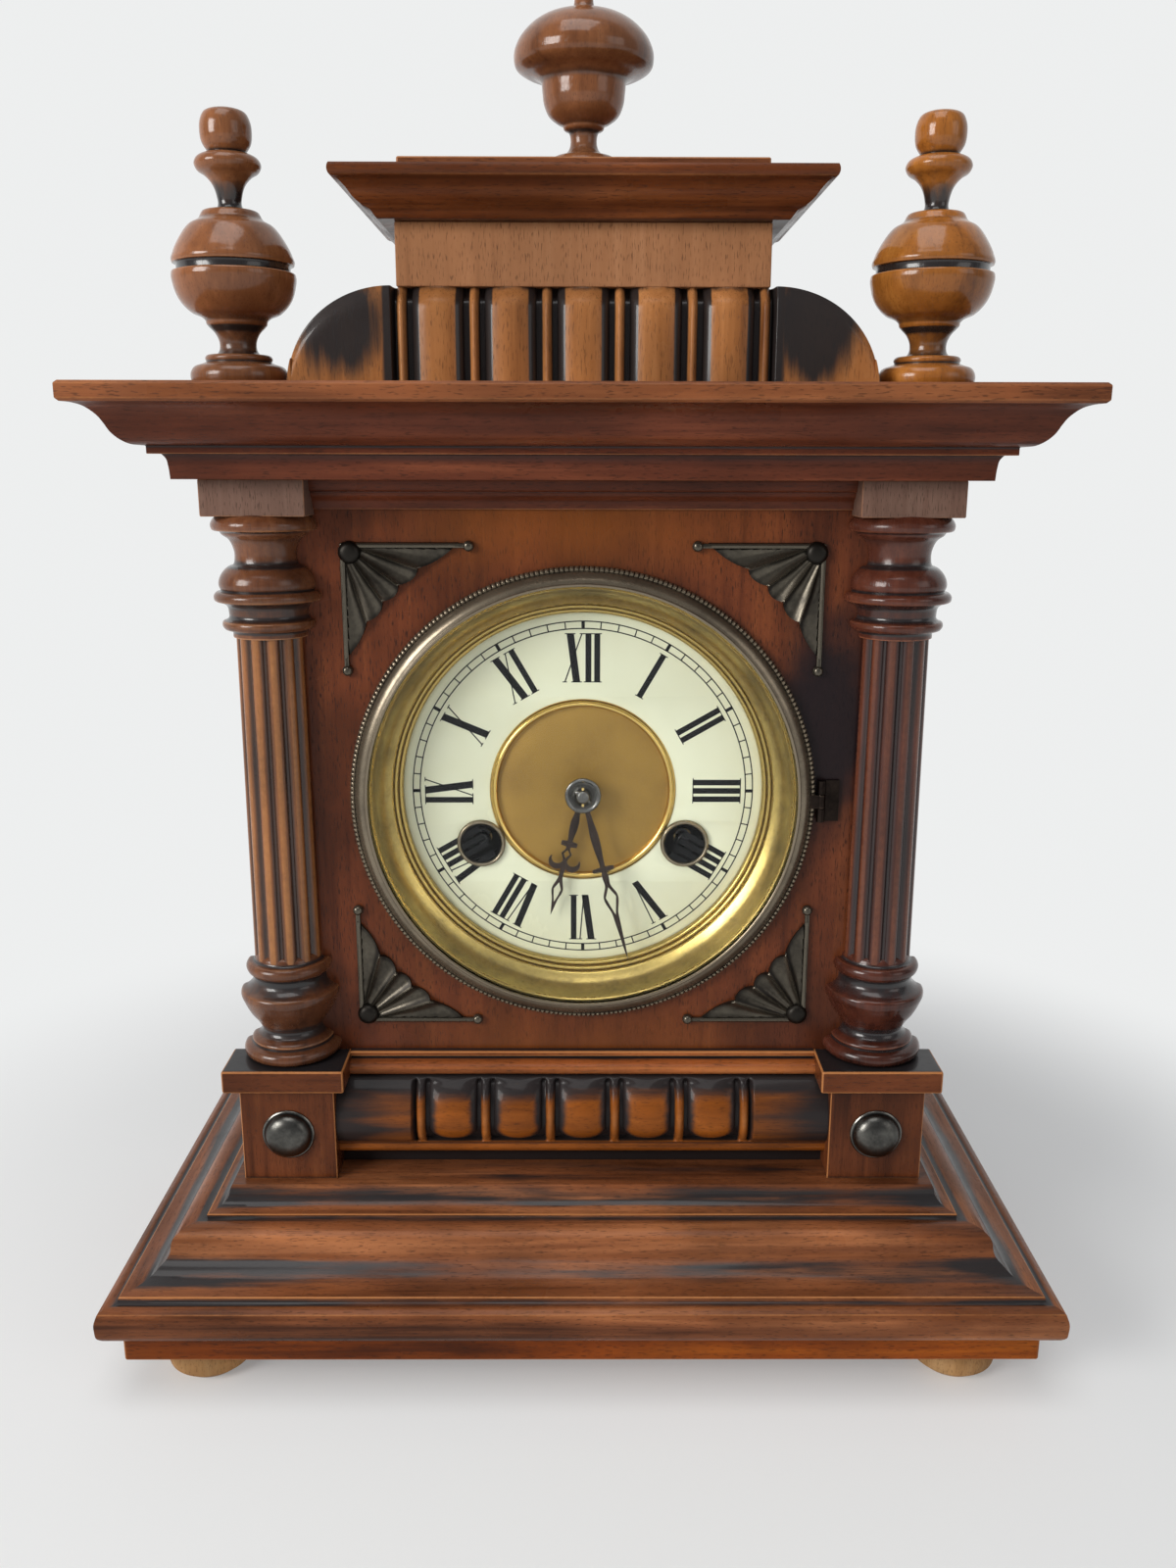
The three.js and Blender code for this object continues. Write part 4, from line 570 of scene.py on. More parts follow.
def join_meshes(name: str, meshes: Sequence[bpy.types.Mesh]) -> bpy.types.Mesh:
    """Join several meshes into one new mesh.

    Args:
        name: Name of the new mesh.
        meshes: The meshes to join.

    Returns:
        The new mesh.
    """
    work = bmesh.new()
    for mesh in meshes:
        work.from_mesh(mesh)
    made = bpy.data.meshes.new(name)
    work.to_mesh(made)
    work.free()
    smooth(made, PLATE_CREASE)
    return made


def ring_points(radius: float, count: int = 96, x: float = 0.0, z: float = 0.0) -> list[tuple[float, float]]:
    """Give the points of a circle in X and Z."""
    return [(x + radius * math.cos(TAU * i / count), z + radius * math.sin(TAU * i / count)) for i in range(count)]


def facing(shell: Shell, x: float = 0.0, z: float = 0.0) -> Shell:
    """Turn a copy of a shell from the Z axis to face the front: its foot goes to y = 0 and its top towards -Y.

    Args:
        shell: A shell turned round Z.
        x: Where its axis stands.
        z: Height of its axis.

    Returns:
        The turned copy.
    """
    made = shell.moved()
    made.points = [(x + px, -pz, z + py) for px, py, pz in made.points]
    return made


# Shader groups
class Value:
    """A socket that can be added, multiplied and so on; each step adds a Math node to its graph."""

    def __init__(self, graph: "Graph", socket: bpy.types.NodeSocket) -> None:
        """Keep the socket and the graph it belongs to."""
        self.graph, self.socket = graph, socket

    def __add__(self, other: object) -> "Value":
        """Return the sum."""
        return self.graph.math("ADD", self, other)

    def __sub__(self, other: object) -> "Value":
        """Return the difference."""
        return self.graph.math("SUBTRACT", self, other)

    def __rsub__(self, other: object) -> "Value":
        """Return a number less this value."""
        return self.graph.math("SUBTRACT", other, self)

    def __mul__(self, other: object) -> "Value":
        """Return the product."""
        return self.graph.math("MULTIPLY", self, other)

    def __truediv__(self, other: object) -> "Value":
        """Return the quotient."""
        return self.graph.math("DIVIDE", self, other)

    def __abs__(self) -> "Value":
        """Return the size without its sign."""
        return self.graph.math("ABSOLUTE", self)


class Graph:
    """A short way to add and join shader nodes in one tree."""

    def __init__(self, tree: bpy.types.NodeTree) -> None:
        """Keep the tree that the nodes go into."""
        self.tree = tree

    def fill(self, node: bpy.types.Node, inputs: dict[object, object]) -> None:
        """Set or link inputs of a node; a colour without alpha gets it.

        Args:
            node: The node.
            inputs: Numbers, colours, sockets or values by input name or number.
        """
        for key, given in inputs.items():
            socket = node.inputs[key]
            given = given.socket if isinstance(given, Value) else given
            if isinstance(given, bpy.types.NodeSocket):
                self.tree.links.new(given, socket)
            elif socket.type == "RGBA" and len(given) == 3:
                socket.default_value = (*given, 1.0)
            else:
                socket.default_value = given

    def node(self, kind: str, inputs: dict[object, object] | None = None, **settings: object) -> bpy.types.Node:
        """Add a node, set its properties, and set or link its inputs.

        Args:
            kind: Node type without the ShaderNode prefix.
            inputs: As for fill.
            settings: Properties of the node.

        Returns:
            The node.
        """
        made = self.tree.nodes.new(kind if kind.startswith("Node") else "ShaderNode" + kind)
        for key, value in settings.items():
            setattr(made, key, value)
        self.fill(made, inputs or {})
        return made

    def value(self, kind: str, inputs: dict[object, object] | None = None, output: object = 0,
              **settings: object) -> Value:
        """Add a node and return one of its outputs.

        Args:
            kind: Node type without the ShaderNode prefix.
            inputs: As for fill.
            output: Name or number of the output.
            settings: Properties of the node.

        Returns:
            The output.
        """
        return Value(self, self.node(kind, inputs, **settings).outputs[output])

    def outputs(self, node: bpy.types.Node) -> dict[str, Value]:
        """Return all outputs of a node by name."""
        return {socket.name: Value(self, socket) for socket in node.outputs}

    def effect(self, effect: "Effect", **inputs: object) -> dict[str, Value]:
        """Place a shared effect in a material with its own values and return its outputs."""
        return self.outputs(self.node("Group", inputs, node_tree=EFFECTS.get(effect)))

    def math(self, operation: str, a: object, b: object = 0.0, c: object = 0.0, clamp: bool = False) -> Value:
        """Add a Math node."""
        return self.value("Math", {0: a, 1: b, 2: c}, operation=operation, use_clamp=clamp)

    def parts(self, vector: Value) -> list[Value]:
        """Return the three parts of a vector."""
        return list(self.outputs(self.node("SeparateXYZ", {0: vector})).values())

    def object_place(self) -> Value:
        """Return the place on the object in its own frame."""
        return self.value("TexCoord", output="Object")

    def noise(self, vector: Value, scale: float, detail: float, rough: float = 0.5, distortion: float = 0.0) -> Value:
        """Add a Noise Texture, about 0.5 in the middle."""
        return self.value("TexNoise", {"Vector": vector, "Scale": scale, "Detail": detail, "Roughness": rough,
                                       "Distortion": distortion})

    def streaks(self, grain: Value, along: float, across: float, *settings: float) -> Value:
        """Add a noise that is drawn out along the grain, with detail, roughness and distortion."""
        stretched = self.value("VectorMath", {0: grain, 1: (along, across, across)}, operation="MULTIPLY")
        return self.noise(stretched, 1.0, *settings)

    def between(self, value: Value, low: float, high: float, to_low: float = 0.0, to_high: float = 1.0) -> Value:
        """Map a value smoothly from one range to another."""
        return self.value("MapRange", {"Value": value, "From Min": low, "From Max": high, "To Min": to_low,
                                       "To Max": to_high}, interpolation_type="SMOOTHSTEP")

    def mix(self, share: object, a: object, b: object, blend: str = "MIX") -> Value:
        """Mix two colours."""
        return self.value("Mix", {0: share, 6: a, 7: b}, 2, data_type="RGBA", blend_type=blend)

    def lay_over(self, share: Value, under: bpy.types.Node, over: bpy.types.Node, end: bpy.types.Node) -> None:
        """Show one shader in place of another by a share.

        Args:
            share: How much of the upper shader shows.
            under: The lower shader.
            over: The upper shader.
            end: The output node.
        """
        both = self.node("MixShader", {0: share, 1: under.outputs[0], 2: over.outputs[0]})
        self.fill(end, {0: both.outputs[0]})


class Effect(Enum):
    """The shader effects that several finishes share."""

    FIGURE = "wood_figure"
    EBONISED = "rubbed_black"
    GRIME = "settled_grime"
    PATINA = "metal_patina"


class EffectLibrary:
    """Builds each shared shader group once and hands it out."""

    def __init__(self) -> None:
        """Start with no group built."""
        self.built: dict[Effect, bpy.types.NodeTree] = {}

    def get(self, effect: Effect) -> bpy.types.NodeTree:
        """Hand out the group of an effect, building it the first time.

        Args:
            effect: The effect.

        Returns:
            Its group.
        """
        if effect not in self.built:
            maker = {Effect.FIGURE: self.figure, Effect.EBONISED: self.ebonised, Effect.GRIME: self.grime,
                     Effect.PATINA: self.patina}[effect]
            self.built[effect] = maker(effect.value)
        return self.built[effect]

    def opened(self, name: str, **inputs: object) -> tuple[Graph, dict[str, Value]]:
        """Open a new group with its inputs.

        Args:
            name: Name of the group.
            inputs: Default of each input by name: a colour, a number, or None for a vector.

        Returns:
            The graph and the inputs' values inside the group.
        """
        tree = bpy.data.node_groups.new(name, "ShaderNodeTree")
        for label, default in inputs.items():
            kind = "Vector" if default is None else "Color" if isinstance(default, tuple) else "Float"
            socket = tree.interface.new_socket(label, in_out="INPUT", socket_type="NodeSocket" + kind)
            if default is not None:
                socket.default_value = default
        g = Graph(tree)
        return g, g.outputs(g.node("NodeGroupInput"))

    def closed(self, g: Graph, **results: Value) -> bpy.types.NodeTree:
        """Give a group its outputs.

        Args:
            g: The group's graph.
            results: Values by the name of their output.

        Returns:
            The finished group.
        """
        for label, value in results.items():
            kind = "Color" if value.socket.type == "RGBA" else "Float"
            g.tree.interface.new_socket(label, in_out="OUTPUT", socket_type="NodeSocket" + kind)
        g.node("NodeGroupOutput", results)
        return g.tree

    def figure(self, name: str) -> bpy.types.NodeTree:
        """Build the wood figure: fibres, broad bands, pores and blotches.

        Args:
            name: Name of the group.

        Returns:
            The group.
        """
        g, given = self.opened(name, Grain=None, Light=(0.4, 0.16, 0.05, 1), Middle=(0.2, 0.07, 0.02, 1),
                               Dark=(0.06, 0.02, 0.01, 1), Bands=0.5, Pores=0.5, Blotch=0.4, Seed=0.0)
        seed = g.value("CombineXYZ", dict.fromkeys("XYZ", given["Seed"]))
        place = g.value("VectorMath", {0: given["Grain"], 1: seed}, operation="ADD")
        fibre = g.streaks(place, 16.0, 520.0, 4.0, 0.6)
        band = g.streaks(place, 7.0, 70.0, 3.0, 0.55, 0.9)
        wide = g.streaks(place, 5.0, 26.0, 2.0, 0.5, 0.5)
        pore = g.between(g.streaks(place, 320.0, 2400.0, 1.0), 0.58, 0.70)
        bands = (band - 0.5) * 1.25 + (wide - 0.5)
        value = g.math("MULTIPLY_ADD", bands, given["Bands"], 0.5) + (fibre - 0.5) * 0.45
        lower = g.mix(g.between(value, 0.18, 0.5), given["Dark"], given["Middle"])
        colour = g.mix(g.between(value, 0.46, 0.84), lower, given["Light"])
        shade = g.between(g.streaks(place, 19.0, 30.0, 3.0, 0.6), 0.34, 0.7, 1.0, 0.0)
        dim = g.value("CombineColor", dict.fromkeys(range(3), 1.0 - shade * given["Blotch"]))
        colour = g.mix(1.0, colour, dim, "MULTIPLY")
        amount = pore * given["Pores"]
        colour = g.mix(amount, colour, PORE_COLOUR)
        return self.closed(g, Color=colour, Height=fibre * 0.35 - amount, Pore=amount)

    def ebonised(self, name: str) -> bpy.types.NodeTree:
        """Build the black bands, the painted shade that blackens the hollows, and the ridges where the varnish is
        rubbed pale.

        Args:
            name: Name of the group.

        Returns:
            The group.
        """
        g, given = self.opened(name, Color=(0.2, 0.07, 0.02, 1), Worn=(0.45, 0.2, 0.08, 1), Grain=None, Hollow=0.0,
                               Ridge=0.0, Paint=0.0, Depth=0.8, Rub=0.7, Patchy=0.5)
        streak = g.streaks(given["Grain"], 11.0, 240.0, 4.0, 0.62)
        patch = g.streaks(given["Grain"], 14.0, 62.0, 3.0, 0.6)
        fine = g.noise(given["Grain"], 420.0, 3.0, 0.6)
        uneven = ((streak - 0.5) * 1.1 + (patch - 0.5)) * given["Patchy"]
        painted = g.between(given["Paint"] + uneven, 0.3, 0.75)
        # Painted shade: the hollow tone blackens recesses where shade falls
        hollow_shade = g.between(given["Hollow"] * given["Depth"] + uneven * 0.5, 0.12, 0.85)
        black = g.math("MAXIMUM", painted * 0.97, hollow_shade * 0.9)
        edge = given["Ridge"] * given["Rub"]
        broken = g.math("MULTIPLY_ADD", patch - 0.5, 1.1, (fine - 0.5) * 0.5)
        bare = g.between(edge + broken * g.math("MINIMUM", edge, 0.6), 0.22, 0.75)
        colour = g.mix(black, given["Color"], EBONY_AND_SHADE)
        return self.closed(g, Color=g.mix(bare * 0.8, colour, given["Worn"]), Black=black, Bare=bare)

    def grime(self, name: str) -> bpy.types.NodeTree:
        """Build dust and rubbed spots that change colour and roughness a little all over.

        Args:
            name: Name of the group.

        Returns:
            The group.
        """
        g, given = self.opened(name, Color=(0.2, 0.07, 0.02, 1), Dirt=(0.05, 0.035, 0.03, 1), Place=None, Amount=0.2,
                               Gloss=0.3, Dull=0.55)
        cloud = g.noise(given["Place"], 26.0, 4.0, 0.62)
        speck = g.noise(given["Place"], 900.0, 2.0)
        spots = g.between(speck, 0.64, 0.74) * (given["Amount"] * 0.6)
        cover = g.math("ADD", g.between(cloud, 0.42, 0.78) * given["Amount"], spots, clamp=True)
        share = g.between(cloud, 0.3, 0.72)
        gloss = g.math("MULTIPLY_ADD", share, given["Dull"] - given["Gloss"], given["Gloss"])
        return self.closed(g, Color=g.mix(cover, given["Color"], given["Dirt"]), Roughness=gloss, Height=speck * 0.3)

    def patina(self, name: str) -> bpy.types.NodeTree:
        """Build mottled metal: tarnish in the hollows, bare metal on the ridges.

        Args:
            name: Name of the group.

        Returns:
            The group.
        """
        g, given = self.opened(name, Bare=(0.6, 0.4, 0.12, 1), Tarnish=(0.08, 0.06, 0.04, 1), Place=None, Ridge=0.0,
                               Hollow=0.0, Cover=0.5, Gloss=0.25, Dull=0.5)
        cloud = g.noise(given["Place"], 55.0, 5.0, 0.65)
        fine = g.noise(given["Place"], 700.0, 3.0, 0.6)
        value = given["Cover"] + (cloud - 0.5) * 0.9 + (fine - 0.5) * 0.35
        value = value + given["Hollow"] * 0.5 - given["Ridge"] * 0.55
        cover = g.between(value, 0.15, 0.85)
        gloss = g.math("MULTIPLY_ADD", cover, given["Dull"] - given["Gloss"], given["Gloss"])
        return self.closed(g, Color=g.mix(cover, given["Bare"], given["Tarnish"]), Roughness=gloss, Height=fine)


EFFECTS = EffectLibrary()


class Source(Enum):
    """Where a material takes its place from: a shell's own grain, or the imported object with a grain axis."""

    SHELL = "shell"
    CAD_X = "cad_x"
    CAD_Z = "cad_z"


def place_value(g: Graph, source: Source) -> Value:
    """Read the grain coordinates, whose first part runs along the grain.

    Args:
        g: The material's graph.
        source: Where the place comes from.

    Returns:
        The coordinates.
    """
    if source is Source.SHELL:
        return g.value("Attribute", output="Vector", attribute_name="grain")
    place = g.object_place()
    if source is Source.CAD_X:
        return place
    x, y, z = g.parts(place)
    return g.value("CombineXYZ", {0: z, 1: x, 2: y})


def tone_value(g: Graph, name: str, source: Source) -> object:
    """Return a tone of a shell, or zero for a packed object."""
    return g.value("Attribute", output="Fac", attribute_name=name) if source is Source.SHELL else 0.0


def open_material(name: str) -> tuple[bpy.types.Material, Graph, bpy.types.Node, bpy.types.Node]:
    """Start a material with one Principled shader.

    Args:
        name: Name of the material.

    Returns:
        The material, its graph, the shader and the output node.
    """
    material = bpy.data.materials.new(name)
    material.use_nodes = True
    material.node_tree.nodes.clear()
    g = Graph(material.node_tree)
    shader = g.node("BsdfPrincipled")
    return material, g, shader, g.node("OutputMaterial", {0: shader.outputs[0]})


@dataclass(frozen=True)
class WoodFinish:
    """A varnished or bare wood."""

    name: str
    light: Colour
    middle: Colour
    dark: Colour
    worn: Colour = (0.46, 0.19, 0.065)
    bands: float = 0.6
    pores: float = 0.5
    blotch: float = 0.4
    # How strongly the painted shade blackens the hollows
    depth: float = 0.8
    rub: float = 0.7
    patchy: float = 0.5
    gloss: float = 0.22
    dull: float = 0.42
    grime: float = 0.12
    coat: float = 0.02
    black_coat: float = 0.38
    shine: float = 0.14
    bump: float = 0.16
    source: Source = Source.SHELL
    seed: float = 0.0

    def tint(self, g: Graph, colour: Value) -> Value:
        """Return the figured colour as it is."""
        return colour

    def make(self) -> bpy.types.Material:
        """Build the material."""
        material, g, shader, _ = open_material(self.name)
        grain = place_value(g, self.source)
        hollow, ridge, paint = (tone_value(g, tone, self.source) for tone in TONES)
        figure = g.effect(Effect.FIGURE, Grain=grain, Light=self.light, Middle=self.middle, Dark=self.dark,
                          Bands=self.bands, Pores=self.pores, Blotch=self.blotch, Seed=self.seed)
        # Black paint, painted shade in the hollows, and rubbed pale ridges
        black = g.effect(Effect.EBONISED, Color=self.tint(g, figure["Color"]), Worn=self.worn, Grain=grain,
                         Hollow=hollow, Ridge=ridge, Paint=paint, Depth=self.depth, Rub=self.rub, Patchy=self.patchy)
        soiled = g.effect(Effect.GRIME, Color=black["Color"], Dirt=DIRT, Place=grain, Amount=self.grime,
                          Gloss=self.gloss, Dull=self.dull)
        g.fill(shader, {
            "Base Color": soiled["Color"],
            "Roughness": g.math("ADD", soiled["Roughness"] + figure["Pore"] * 0.25, black["Black"] * 0.1, clamp=True),
            "Normal": g.value("Bump", {"Strength": self.bump, "Distance": 0.0004,
                                       "Height": figure["Height"] + soiled["Height"]}),
            "Specular IOR Level": self.shine,
            "Coat Weight": g.math("MULTIPLY_ADD", black["Black"], self.black_coat, self.coat),
            "Coat Roughness": 0.1})
        return material


@dataclass(frozen=True)
class PanelFinish(WoodFinish):
    """Panel veneer with painted light: a honey glow above and below the dial; painted shade at the right and bottom;
    one black stain.
    """

    # Colour of the painted glow of light
    honey: Colour = (0.31, 0.090, 0.011)
    stain: Colour = (0.009, 0.006, 0.008)
    stain_place: tuple[float, float] = (0.085, 0.234)
    stain_size: tuple[float, float] = (0.019, 0.040)

    def tint(self, g: Graph, colour: Value) -> Value:
        """Paint light and shade over the figured colour of the panel.

        Args:
            g: The material's graph.
            colour: The figured colour.

        Returns:
            The colour with its painted light and shade.
        """
        place = g.object_place()
        cloud = g.noise(place, 21.0, 4.0, 0.6)
        x, _, z = g.parts(place)
        # Painted light: a honey glow on the open veneer above and below the dial
        painted_glow = g.between(abs(x), 0.082, 0.018) * g.between(abs(z - DIAL_HEIGHT * MM), 0.072, 0.098)
        painted_glow = painted_glow * g.between(cloud, 0.25, 0.6, 0.35, 1.0)
        colour = g.mix(painted_glow * 0.42, colour, self.honey)
        # Painted shade along the right edge and towards the bottom
        edge = g.between(x, 0.070, 0.093) * g.between(cloud, 0.3, 0.65, 0.3, 0.0)
        colour = g.mix(edge, colour, self.dark)
        low = g.between(z, (DIAL_HEIGHT - 70) * MM, (DIAL_HEIGHT - 92) * MM, 0.0, 0.35)
        colour = g.mix(low, colour, self.dark)
        across = (x - self.stain_place[0]) / self.stain_size[0]
        up = (z - self.stain_place[1]) / self.stain_size[1]
        far = g.math("SQRT", across * across + up * up) + (cloud - 0.5) * 1.8
        return g.mix(g.between(far, 1.5, 0.5, 0.0, 0.95), colour, self.stain)


@dataclass(frozen=True)
class MetalFinish:
    """A bare, tarnished or blued metal."""

    name: str
    bare: Colour
    tarnish: Colour
    cover: float = 0.4
    gloss: float = 0.22
    dull: float = 0.45
    bump: float = 0.06
    metallic: float = 1.0
    source: Source = Source.SHELL

    def make(self) -> bpy.types.Material:
        """Build the material."""
        material, g, shader, _ = open_material(self.name)
        patina = g.effect(Effect.PATINA, Bare=self.bare, Tarnish=self.tarnish, Place=g.object_place(),
                          Ridge=tone_value(g, "ridge", self.source), Hollow=tone_value(g, "hollow", self.source),
                          Cover=self.cover, Gloss=self.gloss, Dull=self.dull)
        bump = g.value("Bump", {"Strength": self.bump, "Distance": 0.0003, "Height": patina["Height"]})
        g.fill(shader, {"Base Color": patina["Color"], "Roughness": patina["Roughness"], "Normal": bump,
                        "Metallic": self.metallic})
        return material


@dataclass(frozen=True)
class EnamelFinish:
    """Fired enamel with a faint unevenness, or the ink on it."""

    name: str
    colour: Colour
    stain: Colour
    roughness: float = 0.16
    shine: float = 0.5

    def make(self) -> bpy.types.Material:
        """Build the material."""
        material, g, shader, _ = open_material(self.name)
        place = g.object_place()
        cloud = g.noise(place, 38.0, 4.0, 0.6)
        speck = g.between(g.noise(place, 620.0, 2.0), 0.70, 0.78, 0.0, 0.35)
        share = g.math("ADD", g.between(cloud, 0.35, 0.8, 0.0, 0.55), speck, clamp=True)
        g.fill(shader, {
            "Base Color": g.mix(share, self.colour, self.stain),
            "Roughness": g.between(cloud, 0.3, 0.7, self.roughness, self.roughness + 0.12),
            "Specular IOR Level": self.shine,
            "Normal": g.value("Bump", {"Strength": 0.05, "Distance": 0.0004, "Height": cloud})})
        return material


@dataclass(frozen=True)
class GlassFinish:
    """Clear glass that lets light through to the dial."""

    name: str = "window_glass"

    def make(self) -> bpy.types.Material:
        """Build the material."""
        material, g, shader, end = open_material(self.name)
        smear = g.noise(g.object_place(), 30.0, 3.0, 0.6)
        g.fill(shader, {"Base Color": (0.97, 0.985, 0.975), "Transmission Weight": 1.0, "IOR": 1.2,
                        "Roughness": g.between(smear, 0.4, 0.8, 0.0, 0.02)})
        ray = g.outputs(g.node("LightPath"))
        through = g.math("MAXIMUM", ray["Is Shadow Ray"], ray["Is Diffuse Ray"])
        g.lay_over(through, shader, g.node("BsdfTransparent", {"Color": (0.94, 0.96, 0.95)}), end)
        return material


class Finishes:
    """Every finish of the clock, each built once."""

    def __init__(self) -> None:
        """Build all the materials."""
        self.moulding = WoodFinish("walnut_mouldings", (0.27, 0.085, 0.026), (0.140, 0.038, 0.012),
                                   (0.042, 0.011, 0.004), depth=0.85).make()
        self.base = WoodFinish("walnut_base", (0.42, 0.158, 0.062), (0.210, 0.068, 0.025), (0.055, 0.016, 0.006),
                               depth=0.9, rub=0.95, patchy=0.95, blotch=0.35, bands=0.75).make()
        self.rail = WoodFinish("half_round_walnut", (0.64, 0.215, 0.060), (0.34, 0.094, 0.025), (0.08, 0.022, 0.006),
                               depth=0.9, rub=0.95, patchy=0.6).make()
        self.cornice = WoodFinish("walnut_cornice", (0.24, 0.067, 0.028), (0.115, 0.029, 0.013),
                                  (0.040, 0.010, 0.005), depth=0.75, rub=0.5, blotch=0.35).make()
        self.ledge = WoodFinish("walnut_ledges", (0.38, 0.138, 0.052), (0.235, 0.077, 0.029), (0.072, 0.021, 0.009),
                                bands=0.8, depth=0.4, rub=0.6, blotch=0.3).make()
        self.panel = PanelFinish("walnut_panel", (0.265, 0.076, 0.023), (0.150, 0.038, 0.0135),
                                 (0.044, 0.011, 0.0055), bands=0.42, blotch=0.5, pores=0.75, source=Source.CAD_Z,
                                 seed=3.1, gloss=0.2, dull=0.36, coat=0.03).make()
        self.boards = WoodFinish("walnut_boards", (0.24, 0.075, 0.024), (0.125, 0.035, 0.012), (0.04, 0.011, 0.005),
                                 source=Source.CAD_Z, seed=1.7).make()
        self.pale = WoodFinish("pale_walnut", (0.50, 0.245, 0.118), (0.375, 0.168, 0.074), (0.19, 0.075, 0.032),
                               bands=0.3, pores=0.5, blotch=0.15, gloss=0.42, dull=0.6, coat=0.0, rub=0.3,
                               depth=0.5).make()
        turning = dict(bands=0.4, pores=0.3, blotch=0.4, depth=1.0, rub=0.6, patchy=0.35, gloss=0.1, dull=0.24,
                       coat=0.2, shine=0.3)
        self.turning = WoodFinish("turned_walnut", (0.45, 0.185, 0.078), (0.265, 0.098, 0.037),
                                  (0.085, 0.027, 0.011), **turning).make()
        self.honey = WoodFinish("turned_honey_walnut", (0.58, 0.235, 0.050), (0.370, 0.128, 0.022),
                                (0.105, 0.030, 0.007), **turning).make()
        column = dict(bands=0.5, pores=0.35, blotch=0.4, depth=1.2, rub=0.75, patchy=0.4, gloss=0.14, dull=0.3,
                      coat=0.18, shine=0.3)
        self.column = WoodFinish("turned_columns", (0.40, 0.165, 0.060), (0.225, 0.080, 0.026),
                                 (0.065, 0.019, 0.007), worn=(0.52, 0.225, 0.072), **column).make()
        # A darker copy of the column wood paints the shade that the right column stands in
        self.shaded_column = WoodFinish("dark_turned_columns", (0.175, 0.054, 0.029), (0.087, 0.023, 0.013),
                                      (0.028, 0.0075, 0.0045), worn=(0.28, 0.095, 0.045), **column).make()
        self.column_ends = WoodFinish("turned_column_ends", (0.285, 0.115, 0.050), (0.150, 0.052, 0.022),
                                      (0.046, 0.014, 0.006), worn=(0.46, 0.21, 0.09), **column).make()
        self.capital = WoodFinish("capital_block_walnut", (0.235, 0.145, 0.108), (0.165, 0.092, 0.067),
                                  (0.07, 0.032, 0.024), bands=0.4, blotch=0.25, gloss=0.4, dull=0.58, coat=0.0,
                                  rub=0.4).make()
        self.carving = WoodFinish("carved_crest_walnut", (0.59, 0.262, 0.096), (0.400, 0.158, 0.050),
                                  (0.15, 0.047, 0.013), bands=0.5, pores=0.4, blotch=0.3, depth=0.9, rub=0.35,
                                  patchy=0.55, gloss=0.22, dull=0.42).make()
        self.frieze = WoodFinish("carved_frieze_walnut", (0.50, 0.158, 0.023), (0.300, 0.082, 0.010),
                                 (0.07, 0.019, 0.005), bands=0.5, pores=0.35, blotch=0.35, depth=1.0, rub=0.55,
                                 patchy=0.45, gloss=0.28, dull=0.45, black_coat=0.12).make()
        self.softwood = WoodFinish("bare_softwood", (0.72, 0.44, 0.20), (0.52, 0.28, 0.11), (0.24, 0.105, 0.04),
                                   bands=0.5, pores=0.35, blotch=0.4, gloss=0.5, dull=0.75, coat=0.0, grime=0.35,
                                   depth=0.7, rub=0.4).make()
        self.board = WoodFinish("oiled_board", (0.44, 0.112, 0.007), (0.26, 0.052, 0.003), (0.09, 0.018, 0.002),
                                bands=0.7, gloss=0.4, dull=0.6, coat=0.0, grime=0.3, rub=0.5).make()
        self.bronze = MetalFinish("dark_bronze", (0.115, 0.100, 0.076), (0.018, 0.0155, 0.0125), 0.5, 0.24, 0.4,
                                  metallic=0.8).make()
        self.stud = MetalFinish("grey_bronze", (0.16, 0.155, 0.140), (0.034, 0.034, 0.033), 0.55, 0.24, 0.4).make()
        self.hinge = MetalFinish("black_bronze", (0.05, 0.036, 0.028), (0.012, 0.009, 0.008), 0.6, 0.35, 0.5).make()
        self.bezel = MetalFinish("bezel_bronze", (0.215, 0.176, 0.124), (0.048, 0.039, 0.029), 0.42, 0.24, 0.4,
                                 metallic=0.7).make()
        self.sight = MetalFinish("satin_brass", (0.46, 0.335, 0.110), (0.115, 0.083, 0.034), 0.36, 0.27, 0.42,
                                 0.10).make()
        self.gilt = MetalFinish("polished_brass", (0.72, 0.50, 0.16), (0.26, 0.165, 0.055), 0.3, 0.16, 0.34).make()
        self.matte_gilt = MetalFinish("matte_gilding", (0.36, 0.205, 0.038), (0.215, 0.117, 0.023), 0.35, 0.45, 0.62,
                                      0.35, 0.3).make()
        self.brass = MetalFinish("movement_brass", (0.70, 0.50, 0.20), (0.30, 0.20, 0.08), 0.35, 0.22, 0.42,
                                 source=Source.CAD_X).make()
        self.steel = MetalFinish("movement_steel", (0.42, 0.42, 0.43), (0.12, 0.11, 0.10), 0.4, 0.25, 0.45,
                                 source=Source.CAD_X).make()
        self.washer = MetalFinish("hub_steel", (0.15, 0.145, 0.14), (0.035, 0.033, 0.03), 0.45, 0.2, 0.4).make()
        self.blued = MetalFinish("blued_hands", (0.085, 0.060, 0.050), (0.018, 0.014, 0.014), 0.5, 0.25, 0.42).make()
        self.arbor_end = MetalFinish("black_arbor_ends", (0.07, 0.07, 0.072), (0.014, 0.014, 0.014), 0.5, 0.18,
                                     0.3).make()
        self.gong = MetalFinish("gong_steel", (0.10, 0.11, 0.16), (0.03, 0.03, 0.045), 0.5, 0.25, 0.4).make()
        self.enamel = EnamelFinish("cream_enamel", (0.90, 0.89, 0.68), (0.80, 0.78, 0.55)).make()
        self.ink = EnamelFinish("black_ink", (0.006, 0.006, 0.007), (0.010, 0.010, 0.011), 0.35, 0.15).make()
        # Black that paints the shade inside the winding wells
        self.lining = EnamelFinish("blackened_well", (0.003, 0.003, 0.003), (0.005, 0.004, 0.004), 0.6, 0.05).make()
        self.glass = GlassFinish().make()


